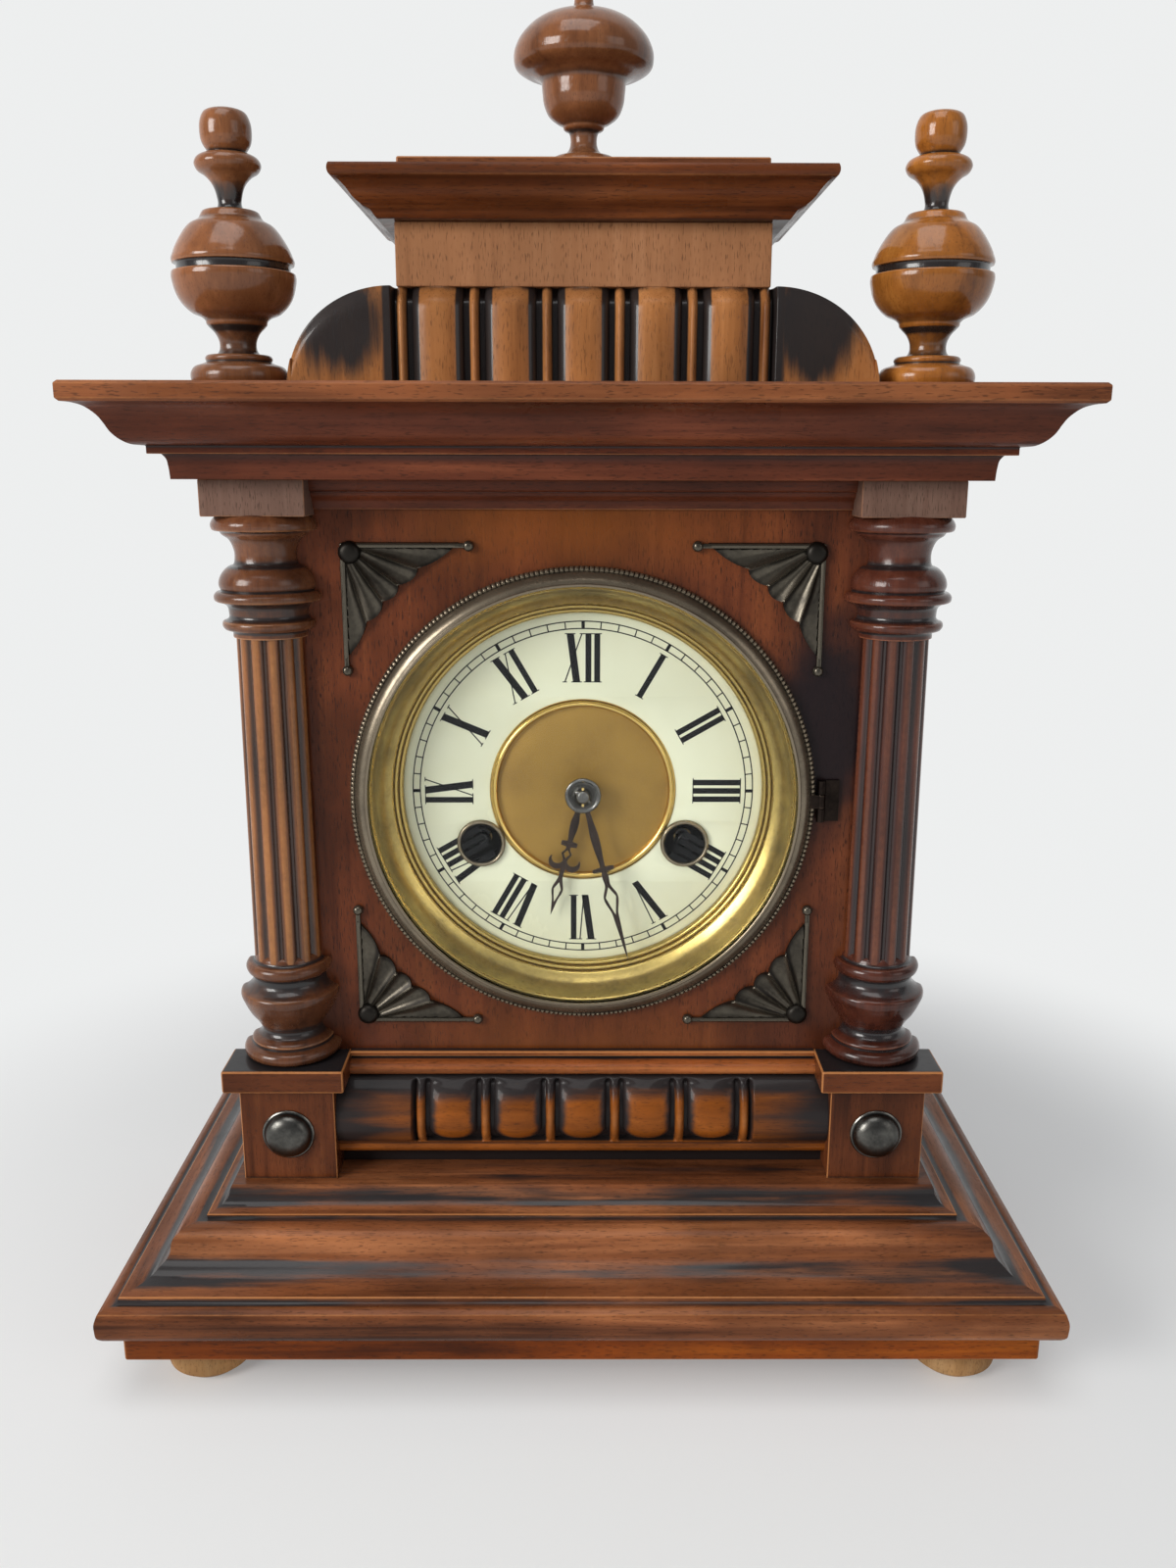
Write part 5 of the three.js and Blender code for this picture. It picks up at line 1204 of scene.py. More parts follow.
# The base
def shares(rows: Profile, reach: float, height: float, foot: float = 0.0) -> list[tuple[float, float, float]]:
    """Scale rows of [share of the reach, share of the height, paint] to a real profile.

    Args:
        rows: The shares.
        reach: Length that a share of one stands for across.
        height: Length that a share of one stands for upwards.
        foot: Height at share zero.

    Returns:
        Rows of [across, height, paint].
    """
    return [(row[0] * reach, foot + row[1] * height, row[2] if len(row) > 2 else 0.0) for row in rows]


@dataclass
class Base:
    """Bun feet, the board and the stepped moulding."""

    finishes: Finishes
    width: float = 338.0
    reach: float = 43.5
    mould_height: float = 38.0
    foot_height: float = 16.0
    foot_x: float = 138.0
    foot_y: float = 53.5
    board_inset: float = 7.0

    def build(self) -> None:
        """Build the feet, the board and the moulding."""
        foot = turned([
            (0.01, 0), (11.5, 0), (15.2, 3.2), (15.9, 7.2), (14.9, 10.9), (12.6, 12.8, 0.3), (12.0, 16), (0.01, 16)],
            64, 30, 0.8)
        for row, y in (("front", -self.foot_y), ("back", self.foot_y)):
            for side, x in (("left", -self.foot_x), ("right", self.foot_x)):
                node = f"foot_{row}_{side}"
                foot.moved((x, y, 0)).object(f"bun_{node}", self.finishes.softwood, "case", "softwood", [node])
        w = self.width / 2 - self.board_inset
        board = soft_block((-w, self.board_inset - FOOT_BACK, self.foot_height), (w, FOOT_BACK, BOARD_TOP), 1.0)
        board.object("soft_base_board", self.finishes.board, "case", "softwood", ["base_board"])
        # Paint on the last two rows darkens the top flat as painted shadow where the frieze and pedestals stand on it
        rows = [
            (0.955, 0, 0.3), (0.986, 0.045), (0.996, 0.12), (0.996, 0.2), (0.973, 0.284), (0.908, 0.316, 0.1),
            (0.878, 0.305, 1), (0.85, 0.32, 1), (0.84, 0.36, 0.1), (0.815, 0.365, 0.1), (0.74, 0.38, 0.45),
            (0.65, 0.415, 1), (0.575, 0.485, 0.9), (0.525, 0.54, 0.45), (0.508, 0.6, 0.1), (0.504, 0.645, 0.12),
            (0.488, 0.7, 0.14), (0.44, 0.75, 0.2), (0.368, 0.774, 0.05), (0.285, 0.768, 0.95),
            (0.264, 0.775, 0.9), (0.264, 0.8, 0.3), (0.22, 0.805, 0.2), (0.16, 0.835, 0.95), (0.115, 0.895, 0.95),
            (0.1, 0.968, 0.7), (0.087, 1, 0.35)]
        profile = shares(rows, self.reach, self.mould_height, BOARD_TOP)
        run = moulding_run(profile, EDGE, PEDESTAL_FRONT, FOOT_BACK, soft=0.5, worn=0.45)
        run.object("stepped_base_moulding", self.finishes.base, "case", "walnut", ["base_moulding"])


# The front
@dataclass
class Pedestals:
    """The two square pedestals with their caps and domed studs."""

    finishes: Finishes
    cap_out: float = 5.0
    cap_in: float = 4.5
    stud_radius: float = 9.6

    def build(self) -> None:
        """Build a pedestal and a stud on each side."""
        # The pedestal gets painted shade along its lower edge
        block = soft_block((INNER, PEDESTAL_FRONT, BASE_TOP), (EDGE, PANEL_FRONT, BLOCK_TOP), 0.5, Grain.ALONG_Z,
                           dark_foot=0.8)
        cap = soft_block((INNER - self.cap_in, PEDESTAL_FRONT - self.cap_in, BLOCK_TOP),
                         (EDGE + self.cap_out, PANEL_FRONT, CAP_TOP), 0.8, paint_top=1.0)
        whole = block.add(cap)
        r = self.stud_radius
        stud = turned([(0.01, 0), (r, 0), (r, 0.45), (r - 0.5, 0.8, 0.5), (r - 1.0, 0.75, 1), (r - 1.1, 1.5),
                       (r - 1.9, 3.0), (r - 3.6, 4.3), (r - 6.2, 5.1), (0.01, 5.4)], 72, soft=0.15)
        for side, mirror in (("left", True), ("right", False)):
            placed = whole.moved(mirror=mirror)
            placed.object(f"{side}_pedestal_block", self.finishes.moulding, "case", "walnut", [f"{side}_pedestal"])
            x = (-1 if mirror else 1) * (EDGE + INNER) / 2
            dome = facing(stud, x, (BASE_TOP + BLOCK_TOP) / 2).moved((0, PEDESTAL_FRONT, 0))
            dome.object(f"{side}_domed_stud", self.finishes.stud, "case", "bronze", [f"{side}_stud"])


@dataclass
class Columns:
    """The half columns with capitals, reeded shafts and feet."""

    finishes: Finishes
    disc: float = 18.2
    block_height: float = 12.0
    turned_height: float = 41.0
    foot_height: float = 38.5
    shaft_top: float = 11.6
    shaft_foot: float = 12.2
    reeds: int = 12
    reed_depth: float = 1.5
    reed_share: float = 0.82

    def reed(self, angle: float) -> tuple[float, float]:
        """Shape one reed of the shaft.

        Args:
            angle: Angle round the shaft, in radians.

        Returns:
            The change of radius and the hollow, which darkens the grooves as painted shade.
        """
        # Painted shade in the grooves between the reeds
        off = abs((self.reeds * angle / TAU) % 1 - 0.5) * 2 / self.reed_share
        if off >= 1:
            return -self.reed_depth, 0.55
        return -self.reed_depth * (1 - math.sqrt(1 - off * off)), 0.55 * step_up(0.3, 1.0, off)

    def build(self) -> None:
        """Build both columns."""
        top = CASE_TOP - self.block_height
        capital_rows = [
            (0.88, 1, 0.4), (0.95, 0.965), (0.985, 0.925), (0.96, 0.885), (0.83, 0.87, 0.6), (0.8, 0.85, 0.2),
            (0.68, 0.81, 0.3), (0.6, 0.74, 0.3), (0.58, 0.66, 0.3), (0.62, 0.6, 0.5), (0.68, 0.592, 0.8), (0.8, 0.55),
            (0.885, 0.485), (0.9, 0.43), (0.86, 0.388, 0.7), (0.95, 0.378), (1, 0.35), (0.99, 0.31),
            (0.86, 0.29, 0.6), (0.77, 0.26, 0.5), (0.745, 0.21, 0.5), (0.75, 0.165, 0.4), (0.79, 0.15, 0.6),
            (0.86, 0.135), (0.875, 0.105), (0.83, 0.07), (0.7, 0.055, 0.6), (0.69, 0)]
        foot_rows = [
            (0.66, 1), (0.68, 0.965, 0.5), (0.79, 0.955), (0.85, 0.915), (0.82, 0.855), (0.75, 0.825, 0.7),
            (0.74, 0.76, 0.62), (0.84, 0.70, 0.55), (0.97, 0.665, 0.3), (0.985, 0.625), (0.94, 0.56),
            (0.82, 0.44, 0.1), (0.7, 0.36, 0.2), (0.64, 0.31, 0.6), (0.61, 0.28, 0.3), (0.66, 0.225),
            (0.78, 0.195), (0.82, 0.17), (0.8, 0.145, 0.8), (0.84, 0.14), (0.95, 0.115), (0.985, 0.075),
            (0.95, 0.025), (0.86, 0, 0.6)]
        capital = shares(capital_rows, self.disc, self.turned_height, top - self.turned_height)
        foot = shares(foot_rows, self.disc, self.foot_height, CAP_TOP)
        ends = turned(self.closed(capital), 96, 75, 0.3, half=True)
        ends.add(turned(self.closed(foot), 96, 75, 0.3, half=True))
        ends = ends.moved((COLUMN_X, PANEL_FRONT, 0))
        low, high = CAP_TOP + self.foot_height - 0.5, top - self.turned_height + 0.5
        steps = 24
        shaft = [(self.shaft_foot + (self.shaft_top - self.shaft_foot) * i / steps, low + (high - low) * i / steps)
                 for i in range(steps + 1)]
        reeded = turned(shaft, self.reeds * 20, 75, 0.1, half=True, reeds=self.reed).moved((COLUMN_X, PANEL_FRONT, 0))
        block = soft_block((INNER, PEDESTAL_FRONT, top), (EDGE, PANEL_FRONT, CASE_TOP), 0.5, Grain.ALONG_Z)
        f = self.finishes
        # Painted shade: the right column takes the darker, shaded copy of the column wood
        woods = (("left", True, f.column, f.column_ends), ("right", False, f.shaded_column, f.shaded_column))
        for side, mirror, shaft_wood, end_wood in woods:
            for name, shell, wood in (("reeded_shaft", reeded, shaft_wood), ("capital_and_foot", ends, end_wood),
                                      ("capital_block", block, f.capital)):
                slot = "pale_walnut" if shell is block else "turned_walnut"
                shell.moved(mirror=mirror).object(f"{side}_{name}", wood, "case", slot, [f"{side}_column"], 50)

    def closed(self, rows: Profile) -> list[tuple[float, ...]]:
        """Lead a turning's profile to the axis at both ends."""
        return [(0.01, rows[0][1]), *rows, (0.01, rows[-1][1])]


@dataclass
class Frieze:
    """The row of eggs between the pedestals and the half-round rail above it."""

    finishes: Finishes
    belly: float = 14.0
    height: float = 37.0
    pitch: float = 24.0
    lobe: float = 17.6
    bead: float = 3.6
    lobes: int = 5
    groove: float = 3.8
    round_at: float = 0.52
    round_size: float = 0.17
    steps: int = 620

    def carve(self, x: float, h: float) -> tuple[float, float, float]:
        """Shape the eggs and the beads between them.

        Args:
            x: Place along the frieze.
            h: Share of its height.

        Returns:
            Depth, darkness and ridge of the carving; the darkness is black paint with painted shade in the grooves
            and round the eggs.
        """
        first = self.lobes / 2 * self.pitch
        if abs(x) > first + self.bead:
            return 0.0, 0.52 + 0.25 * step_up(first + self.bead, INNER, abs(x)), 0.0
        nearest = round((x - first) / self.pitch) * self.pitch + first
        off = abs(x - nearest)
        half_bead = self.bead / 2
        if off < half_bead:
            top = math.sqrt(1 - (off / half_bead) ** 2)
            return self.groove - (self.groove - 1.0) * top, 0.25 + 0.5 * (1 - top), 0.8 * top
        if abs(x) > first:
            t = (off - half_bead) / (self.bead - half_bead)
            return self.groove * (1 - step_up(0, 1, t)), 0.9 - 0.4 * t, 0.0
        # Painted shade in the grooves and round the edges of each egg
        centre = (self.pitch / 2 - off) / (self.lobe / 2)
        below = max(0.0, (self.round_at - h) / self.round_size)
        far = math.hypot(centre, below)
        if far > 1:
            return self.groove, 0.85, 0.0
        return self.groove * 0.9 * (1 - math.sqrt(1 - far * far)), 0.85 * step_up(0.3, 1.05, far), 0.0

    def build(self) -> None:
        """Build the frieze with its rail."""
        rows = [
            (0, 0), (0.14, 0), (0.2, 0.12), (0.4, 0.17), (0.6, 0.21), (0.67, 0.245), (0.66, 0.28), (0.62, 0.3),
            (0.7, 0.33), (0.86, 0.38), (0.96, 0.45), (1, 0.53), (0.995, 0.62), (0.95, 0.72), (0.86, 0.82),
            (0.65, 0.93), (0.4, 1), (0, 1)]
        line = rounded_line(shares(rows, self.belly, self.height, BASE_TOP), 55, 0.3, 0.6)
        hollow, ridge = relief_tones(line)

        def section(x: float) -> list[tuple[float, float, float, float, float]]:
            """Give the section of the frieze.

            Args:
                x: Place along the frieze.

            Returns:
                Rows of [y, z, hollow, ridge, paint].
            """
            made = []
            for (out, z, _), dip, peak in zip(line, hollow, ridge):
                h = (z - BASE_TOP) / self.height
                depth, black, top = self.carve(x, h)
                inside = step_up(0.315, 0.35, h) * (1 - step_up(0.93, 1.0, h))
                egg = max(0.0, out - depth * inside)
                # Painted shade: the top of the eggs darkens under the rail, and their foot darkens in the cove below
                # the lip
                shade_under_rail = 0.9 * step_up(0.60, 1.02, h)
                shade = max(black * step_up(0.30, 0.34, h), shade_under_rail, 1 - step_up(0.16, 0.24, h))
                made.append((PANEL_FRONT - egg, z, dip * 0.7, max(peak * 0.5, top * inside * (1 - shade_under_rail)), shade))
            return made

        xs = [-INNER + 2 * INNER * i / self.steps for i in range(self.steps + 1)]
        whole = carved_run(xs, section, Grain.ALONG_X)
        end = INNER - 4.5
        z = BLOCK_TOP
        rail = [(0, z, 1), (3.5, z, 1), (5.6, z + 0.7, 0.3), (6.9, z + 2.1), (6.9, z + 3.5), (5.6, z + 4.9),
                (3.4, z + 5.5, 0.4), (1.5, z + 5.6, 1), (1.5, z + 6.5, 1), (2.8, z + 6.6, 0.2), (3.0, z + 8.3),
                (2.4, z + 8.5, 0.5), (0, z + 8.5, 1)]
        whole.object("carved_egg_frieze", self.finishes.frieze, "case", "walnut", ["egg_frieze"])
        run = straight_run(rail, end, PANEL_FRONT)
        run.object("half_round_rail", self.finishes.rail, "case", "walnut", ["egg_frieze"])
        rows = [(0, 0), (0.25, 0), (0.3, 0.14), (0.42, 0.3), (0.62, 0.42), (0.7, 0.5), (0.7, 0.58, 0.5), (0.82, 0.6),
                (0.95, 0.75), (1, 0.9), (1, 1), (0, 1)]
        run = straight_run(shares(rows, 8, 10, CASE_TOP - 10), INNER, PANEL_FRONT)
        run.object("bed_moulding", self.finishes.cornice, "case", "walnut", ["upper_moulding"])


# The top
@dataclass
class Cornice:
    """The cornice moulding, its board, and the block, moulding and board on the crest."""

    finishes: Finishes
    reach: float = 31.5
    crest_half: float = 60.5
    crest_reach: float = 17.5

    def build(self) -> None:
        """Build the mouldings and boards of the top."""
        rows = [
            (0.206, 0), (0.216, 0.18), (0.23, 0.28), (0.262, 0.342, 0.3), (0.375, 0.342, 0.3), (0.375, 0.45),
            (0.41, 0.455, 0.3), (0.49, 0.47), (0.568, 0.532), (0.63, 0.625), (0.672, 0.735), (0.708, 0.82),
            (0.75, 0.885), (0.81, 0.95), (0.88, 0.985, 0.3), (0.93, 1, 0.4)]
        profile = shares(rows, self.reach, CORNICE_TOP - CASE_TOP, CASE_TOP)
        run = moulding_run(profile, EDGE, PEDESTAL_FRONT, FOOT_BACK)
        run.object("cornice_run", self.finishes.cornice, "case", "walnut", ["cornice_moulding"])
        rows = [(0.97, 0), (1, 0.14), (1, 0.86), (0.97, 1)]
        profile = shares(rows, self.reach, CORNICE_BOARD_TOP - CORNICE_TOP, CORNICE_TOP)
        run = moulding_run(profile, EDGE, PEDESTAL_FRONT, FOOT_BACK, soft=0.6)
        run.object("cornice_ledge", self.finishes.ledge, "case", "walnut", ["cornice_board"])
        half = self.crest_half
        block = soft_block((-half, CREST_BLOCK_FRONT, CREST_TOP), (half, CASE_BACK, CREST_BLOCK_TOP), 0.4,
                           Grain.ALONG_Z)
        block.object("crest_plinth", self.finishes.pale, "case", "pale_walnut", ["crest_block"])
        rows = [
            (0.27, 0, 0.5), (0.33, 0.09), (0.37, 0.16), (0.43, 0.21, 0.3), (0.52, 0.265), (0.63, 0.37), (0.755, 0.57),
            (0.88, 0.71), (0.985, 0.765), (1, 0.8), (1, 0.96), (0.985, 1)]
        profile = shares(rows, self.crest_reach, CREST_CAP_TOP - CREST_BLOCK_TOP, CREST_BLOCK_TOP)
        run = moulding_run(profile, half, CREST_BLOCK_FRONT, CASE_BACK)
        run.object("crest_cap_moulding", self.finishes.moulding, "case", "walnut", ["crest_cornice"])
        board = soft_block((1 - half, CREST_BLOCK_FRONT + 1, CREST_CAP_TOP),
                           (half - 1, CASE_BACK - 1, CREST_BOARD_TOP), 0.7)
        board.object("crest_top_ledge", self.finishes.ledge, "case", "pale_walnut", ["crest_top_board"])


@dataclass
class Crest:
    """The gadrooned crest with quarter-round ends."""

    finishes: Finishes
    half_top: float = 62.0
    half_foot: float = 96.5
    height: float = 31.5
    pitch: float = 23.6
    lobe: float = 16.6
    bead: float = 3.4
    lobes: int = 5
    relief: float = 5.0
    roll: float = 5.2
    roll_height: float = 9.0
    fine_half: int = 68
    steps_up: int = 26
    steps_along: int = 640
    smudge_left: float = 78.0
    smudge_right: float = 76.0
    smudge_width: float = 13.0
    smudge_height: float = 21.0
    smudge_rise: float = 15.0

    def carve(self, x: float) -> tuple[float, float, float]:
        """Shape the lobes and the beads between them.

        Args:
            x: Place along the crest.

        Returns:
            Depth, darkness and ridge of the carving; the darkness is black paint beside the outer lobes, and painted
            shade in the grooves and on the sides of the lobes.
        """
        first = self.lobes / 2 * self.pitch
        half_bead, half = self.bead / 2, self.lobe / 2
        off = abs(x - (round((x - first) / self.pitch) * self.pitch + first))
        if abs(x) > first + self.bead:
            return 0.0, 0.95 - 0.95 * step_up(0.5, 5.5, abs(x) - first - self.bead), 0.0
        if off < half_bead:
            round_top = math.sqrt(1 - (off / half_bead) ** 2)
            return self.relief - (self.relief - 1.2) * round_top, 0.9 * (1 - round_top), 0.5
        # Painted shade in the grooves and on the sides of the lobes
        if abs(x) > first:
            return self.relief * (1 - step_up(half_bead * 1.3, self.bead, off)), 1.0, 0.0
        centre = (self.pitch / 2 - off) / half
        if centre > 1:
            return self.relief, 1.0, 0.0
        return self.relief * 0.85 * (1 - math.sqrt(1 - centre**2)), step_up(0.60, 0.80, centre), 0.0

    def smudge(self, x: float, z: float) -> float:
        """Blacken the middle of the plain end panels.

        Args:
            x: Place along the crest.
            z: Height above the crest's foot.

        Returns:
            How black the place is.
        """
        if abs(x) < self.half_top + 2:
            return 0.0
        across = (abs(x) - (self.smudge_left if x < 0 else self.smudge_right)) / self.smudge_width
        up = (z - self.smudge_height) / self.smudge_rise
        return max(0.0, 0.95 - 0.30 * (across * across + up * up))

    def build(self) -> None:
        """Build the crest."""

        def section(x: float) -> list[tuple[float, float, float, float, float]]:
            """Give the section of the crest.

            Args:
                x: Place along the crest.

            Returns:
                Rows of [y, z, hollow, ridge, paint].
            """
            depth, black, top = self.carve(x)
            if abs(x) <= self.half_top:
                height = self.height
            else:
                share = (abs(x) - self.half_top) / (self.half_foot - self.half_top)
                height = max(0.25, self.height * math.sqrt(max(0.0, 1 - share * share)))
            made = []
            for i in range(self.steps_up + 1):
                z = height * (1 - (1 - i / self.steps_up) ** 1.25)
                turn = step_up(height - self.roll_height, height, z) if height > self.roll_height else 0.0
                roll = self.roll * (1 - math.sqrt(1 - turn**2 * 0.96))
                fold = 1.0 if abs(x) < self.half_top else 0.35
                rim = step_up(height - 1.5, height, z) * 0.5
                # Painted shade: the lobes' tops darken where they roll back under the plinth
                shade = max(black, self.smudge(x, z), 0.55 * step_up(height - 3.5, height, z) * fold)
                made.append((CREST_FRONT + depth + roll * fold, CORNICE_BOARD_TOP + z, 0.4 * black,
                             max(top, rim * (abs(x) > self.half_top)), min(1.0, shade)))
            z = CORNICE_BOARD_TOP + height
            # The top face under the plinth is darkened as painted shade
            return made + [(CREST_FRONT + 12, z, 0, 0, 0.6), (CASE_BACK, z, 0, 0, 0.3),
                           (CASE_BACK, CORNICE_BOARD_TOP, 0, 0, 0)]

        count = self.steps_along
        xs = [self.half_foot * math.sin(math.pi / 2 * (2 * i / count - 1)) for i in range(count + 1)]
        fine = self.fine_half
        inner = [-fine + 2 * fine * i / count for i in range(count + 1)]
        xs = sorted([x for x in xs if abs(x) > fine] + inner)
        whole = carved_run(xs, section, Grain.ALONG_Z)
        whole.object("carved_crest", self.finishes.carving, "case", "walnut", ["crest_gadroon"], 55)


@dataclass
class Finials:
    """The three turned finials."""

    finishes: Finishes
    side_x: float = 115.0
    side_y: float = -17.5
    side_radius: float = 20.0
    side_height: float = 86.0
    centre_y: float = 8.5
    centre_radius: float = 23.5
    centre_height: float = 71.0

    def build(self) -> None:
        """Build the side finials and the centre finial."""
        rows = [
            (0.001, 1), (0.2, 0.997), (0.33, 0.985), (0.395, 0.955), (0.41, 0.92), (0.385, 0.88), (0.31, 0.852),
            (0.29, 0.845, 1), (0.4, 0.84), (0.5, 0.825), (0.53, 0.807), (0.49, 0.785), (0.38, 0.768),
            (0.27, 0.74, 0.5), (0.2, 0.695, 0.72), (0.19, 0.665, 0.75), (0.225, 0.648, 0.85), (0.245, 0.642, 0.9),
            (0.45, 0.641), (0.48, 0.63, 0.3), (0.5, 0.62), (0.68, 0.592), (0.85, 0.54), (0.955, 0.49),
            (0.985, 0.462), (0.975, 0.456), (0.92, 0.452, 1), (0.915, 0.440, 1), (0.92, 0.428, 1), (0.99, 0.424),
            (1, 0.415), (0.985, 0.38), (0.9, 0.325), (0.72, 0.28), (0.53, 0.258), (0.5, 0.25), (0.49, 0.238),
            (0.46, 0.23, 0.8), (0.36, 0.205, 0.5), (0.3, 0.17, 0.5), (0.32, 0.138, 0.5), (0.37, 0.126, 0.7),
            (0.53, 0.122), (0.55, 0.112), (0.53, 0.1, 0.8), (0.6, 0.093), (0.74, 0.08), (0.795, 0.058),
            (0.79, 0.03), (0.72, 0.006), (0.66, 0), (0.001, 0)]
        finial = turned(shares(rows, self.side_radius, self.side_height), 96, 75, 0.2)
        for side, sign, wood in (("left", -1, self.finishes.turning), ("right", 1, self.finishes.honey)):
            placed = finial.moved((sign * self.side_x, self.side_y, CORNICE_BOARD_TOP))
            placed.object(f"{side}_turned_finial", wood, "case", "turned_walnut", [f"{side}_finial"], 50)
        rows = [
            (0.001, 1), (0.1, 0.992), (0.17, 0.965), (0.195, 0.935), (0.17, 0.89), (0.14, 0.845), (0.13, 0.79),
            (0.16, 0.74), (0.22, 0.722), (0.4, 0.712), (0.6, 0.69), (0.82, 0.64), (0.95, 0.585), (1, 0.53),
            (0.975, 0.485), (0.87, 0.462), (0.7, 0.445), (0.62, 0.425, 0.4), (0.595, 0.38), (0.575, 0.33),
            (0.5, 0.275), (0.38, 0.245), (0.3, 0.23), (0.29, 0.218), (0.22, 0.205, 0.7), (0.19, 0.17),
            (0.22, 0.125), (0.3, 0.1), (0.45, 0.088), (0.5, 0.072), (0.52, 0.045), (0.5, 0.01), (0.47, 0),
            (0.001, 0)]
        finial = turned(shares(rows, self.centre_radius, self.centre_height), 96, 75, 0.2)
        placed = finial.moved((0, self.centre_y, CREST_BOARD_TOP))
        placed.object("centre_turned_finial", self.finishes.turning, "case", "turned_walnut", ["centre_finial"], 50)


# Dial and bezel
def dial_frame(shell: Shell) -> Shell:
    """Move a shell built round the dial's centre to its place in the case."""
    return shell.moved((0, DIAL_PLANE, DIAL_HEIGHT))


@dataclass
class Bezel:
    """The milled bezel, the glass and the concave sight ring."""

    finishes: Finishes
    outer: float = 82.7
    bore: float = 77.2
    lip: float = 76.0
    stand: float = 6.2
    face: float = 13.0
    sight_bore: float = 65.4
    ribs: int = 300
    hinge_x: float = 84.8

    def build(self) -> None:
        """Build the bezel, its glass and the ring behind it."""
        self.frame_ring()
        front = self.face + self.stand - 0.9 - 0.3
        edge = self.bore - 0.3
        pane = turned([(0.01, front - 2), (edge, front - 2), (edge, front), (0.01, front)], 128, soft=0.2)
        dial_frame(facing(pane)).object("pane", self.finishes.glass, "bezel_door", "glass", ["dial_glass"])
        start, end = front - 2.3, 0.4
        inner, depth = self.sight_bore, start - end
        reach = self.bore - 1 - inner
        flange = (self.bore + 1 - inner) / reach
        rows = [(0.95, 0), (0.9, 0.04), (0.86, 0.14), (0.8, 0.28), (0.7, 0.42), (0.58, 0.53), (0.48, 0.59),
                (0.39, 0.635), (0.335, 0.665), (0.31, 0.70), (0.305, 0.765), (0.285, 0.735), (0.24, 0.72),
                (0.19, 0.735), (0.165, 0.775), (0.16, 0.85), (0.14, 0.825), (0.09, 0.81), (0.04, 0.825),
                (0.01, 0.87), (0, 0.93), (0, 1), (0.12, 1), (0.35, 0.87), (0.58, 0.72), (0.8, 0.38), (0.9, 0.3),
                (flange, 0.3), (flange, 0.2), (1, 0.2), (1, 0), (0.95, 0)]
        ring = swept_ring([(inner + a * reach, start - d * depth) for a, d in rows], 180, 60, 0.12, 0.5)
        dial_frame(facing(ring)).object("concave_sight_ring", self.finishes.sight, "case", "brass", ["sight_ring"])

    def frame_ring(self) -> None:
        """Build the bezel ring with its milled edge and its hinge knuckle."""
        width = self.outer - self.bore
        back, front = self.face + 0.3, self.face + self.stand
        profile = [
            (self.bore, back), (self.outer, back), (self.outer, self.face + 1.4), (self.outer - 0.2, self.face + 2.3),
            (self.outer - 0.7, self.face + 2.9), (self.outer - 1.4, self.face + 3.1),
            (self.outer - 1.65, self.face + 2.7), (self.outer - 1.9, self.face + 3.1),
            (self.bore + 0.42 * width, self.face + 4.6), (self.bore + 0.1 * width, self.face + 5.6),
            (self.bore - 0.05, self.face + 5.75), (self.bore - 0.3, front), (self.bore - 0.8, front),
            (self.lip, front - 0.25), (self.lip, front - 0.9), (self.bore, front - 0.9), (self.bore, back)]

        def mill(angle: float, radius: float, height: float) -> float:
            """Raise the small ribs round the outer edge."""
            off = math.hypot(radius - (self.outer - 0.6), height - (self.face + 2.4))
            return 0.46 * step_up(1.5, 0.7, off) * math.sin(angle * self.ribs)

        ring = swept_ring(profile, self.ribs * 4, 42, 0.12, 0.6, mill)
        dial_frame(facing(ring)).object("milled_bezel", self.finishes.bezel, "bezel_door", "bronze", ["bezel"])
        axis_y = -(self.face + 0.3) - 1.5 - 0.35
        knuckle = turned([(0.01, -2.5), (1.5, -2.5), (1.5, 2.5), (0.01, 2.5)], 24, soft=0.2)
        knuckle = knuckle.moved((self.hinge_x, axis_y, 0))
        arm = soft_block((80.0, axis_y - 1.3, -2.5), (self.hinge_x, axis_y + 0.7, 2.5), 0.3)
        dial_frame(knuckle.add(arm)).object("hinge_knuckle", self.finishes.hinge, "bezel_door", "bronze", ["bezel"])


class Letter(Enum):
    """The letters of Roman numerals, as strokes of [left top, left foot, thickness] in millimetres."""

    I = ((0.0, 0.0, 2.1),)
    V = ((0.0, 2.4, 2.5), (5.3, 3.9, 0.45))
    X = ((0.2, 2.5, 2.6), (5.5, -0.7, 0.45))


WIDTHS = {Letter.I: 2.1, Letter.V: 5.8, Letter.X: 5.9}
HOURS = ("XII", "I", "II", "III", "IIII", "V", "VI", "VII", "VIII", "IX", "X", "XI")


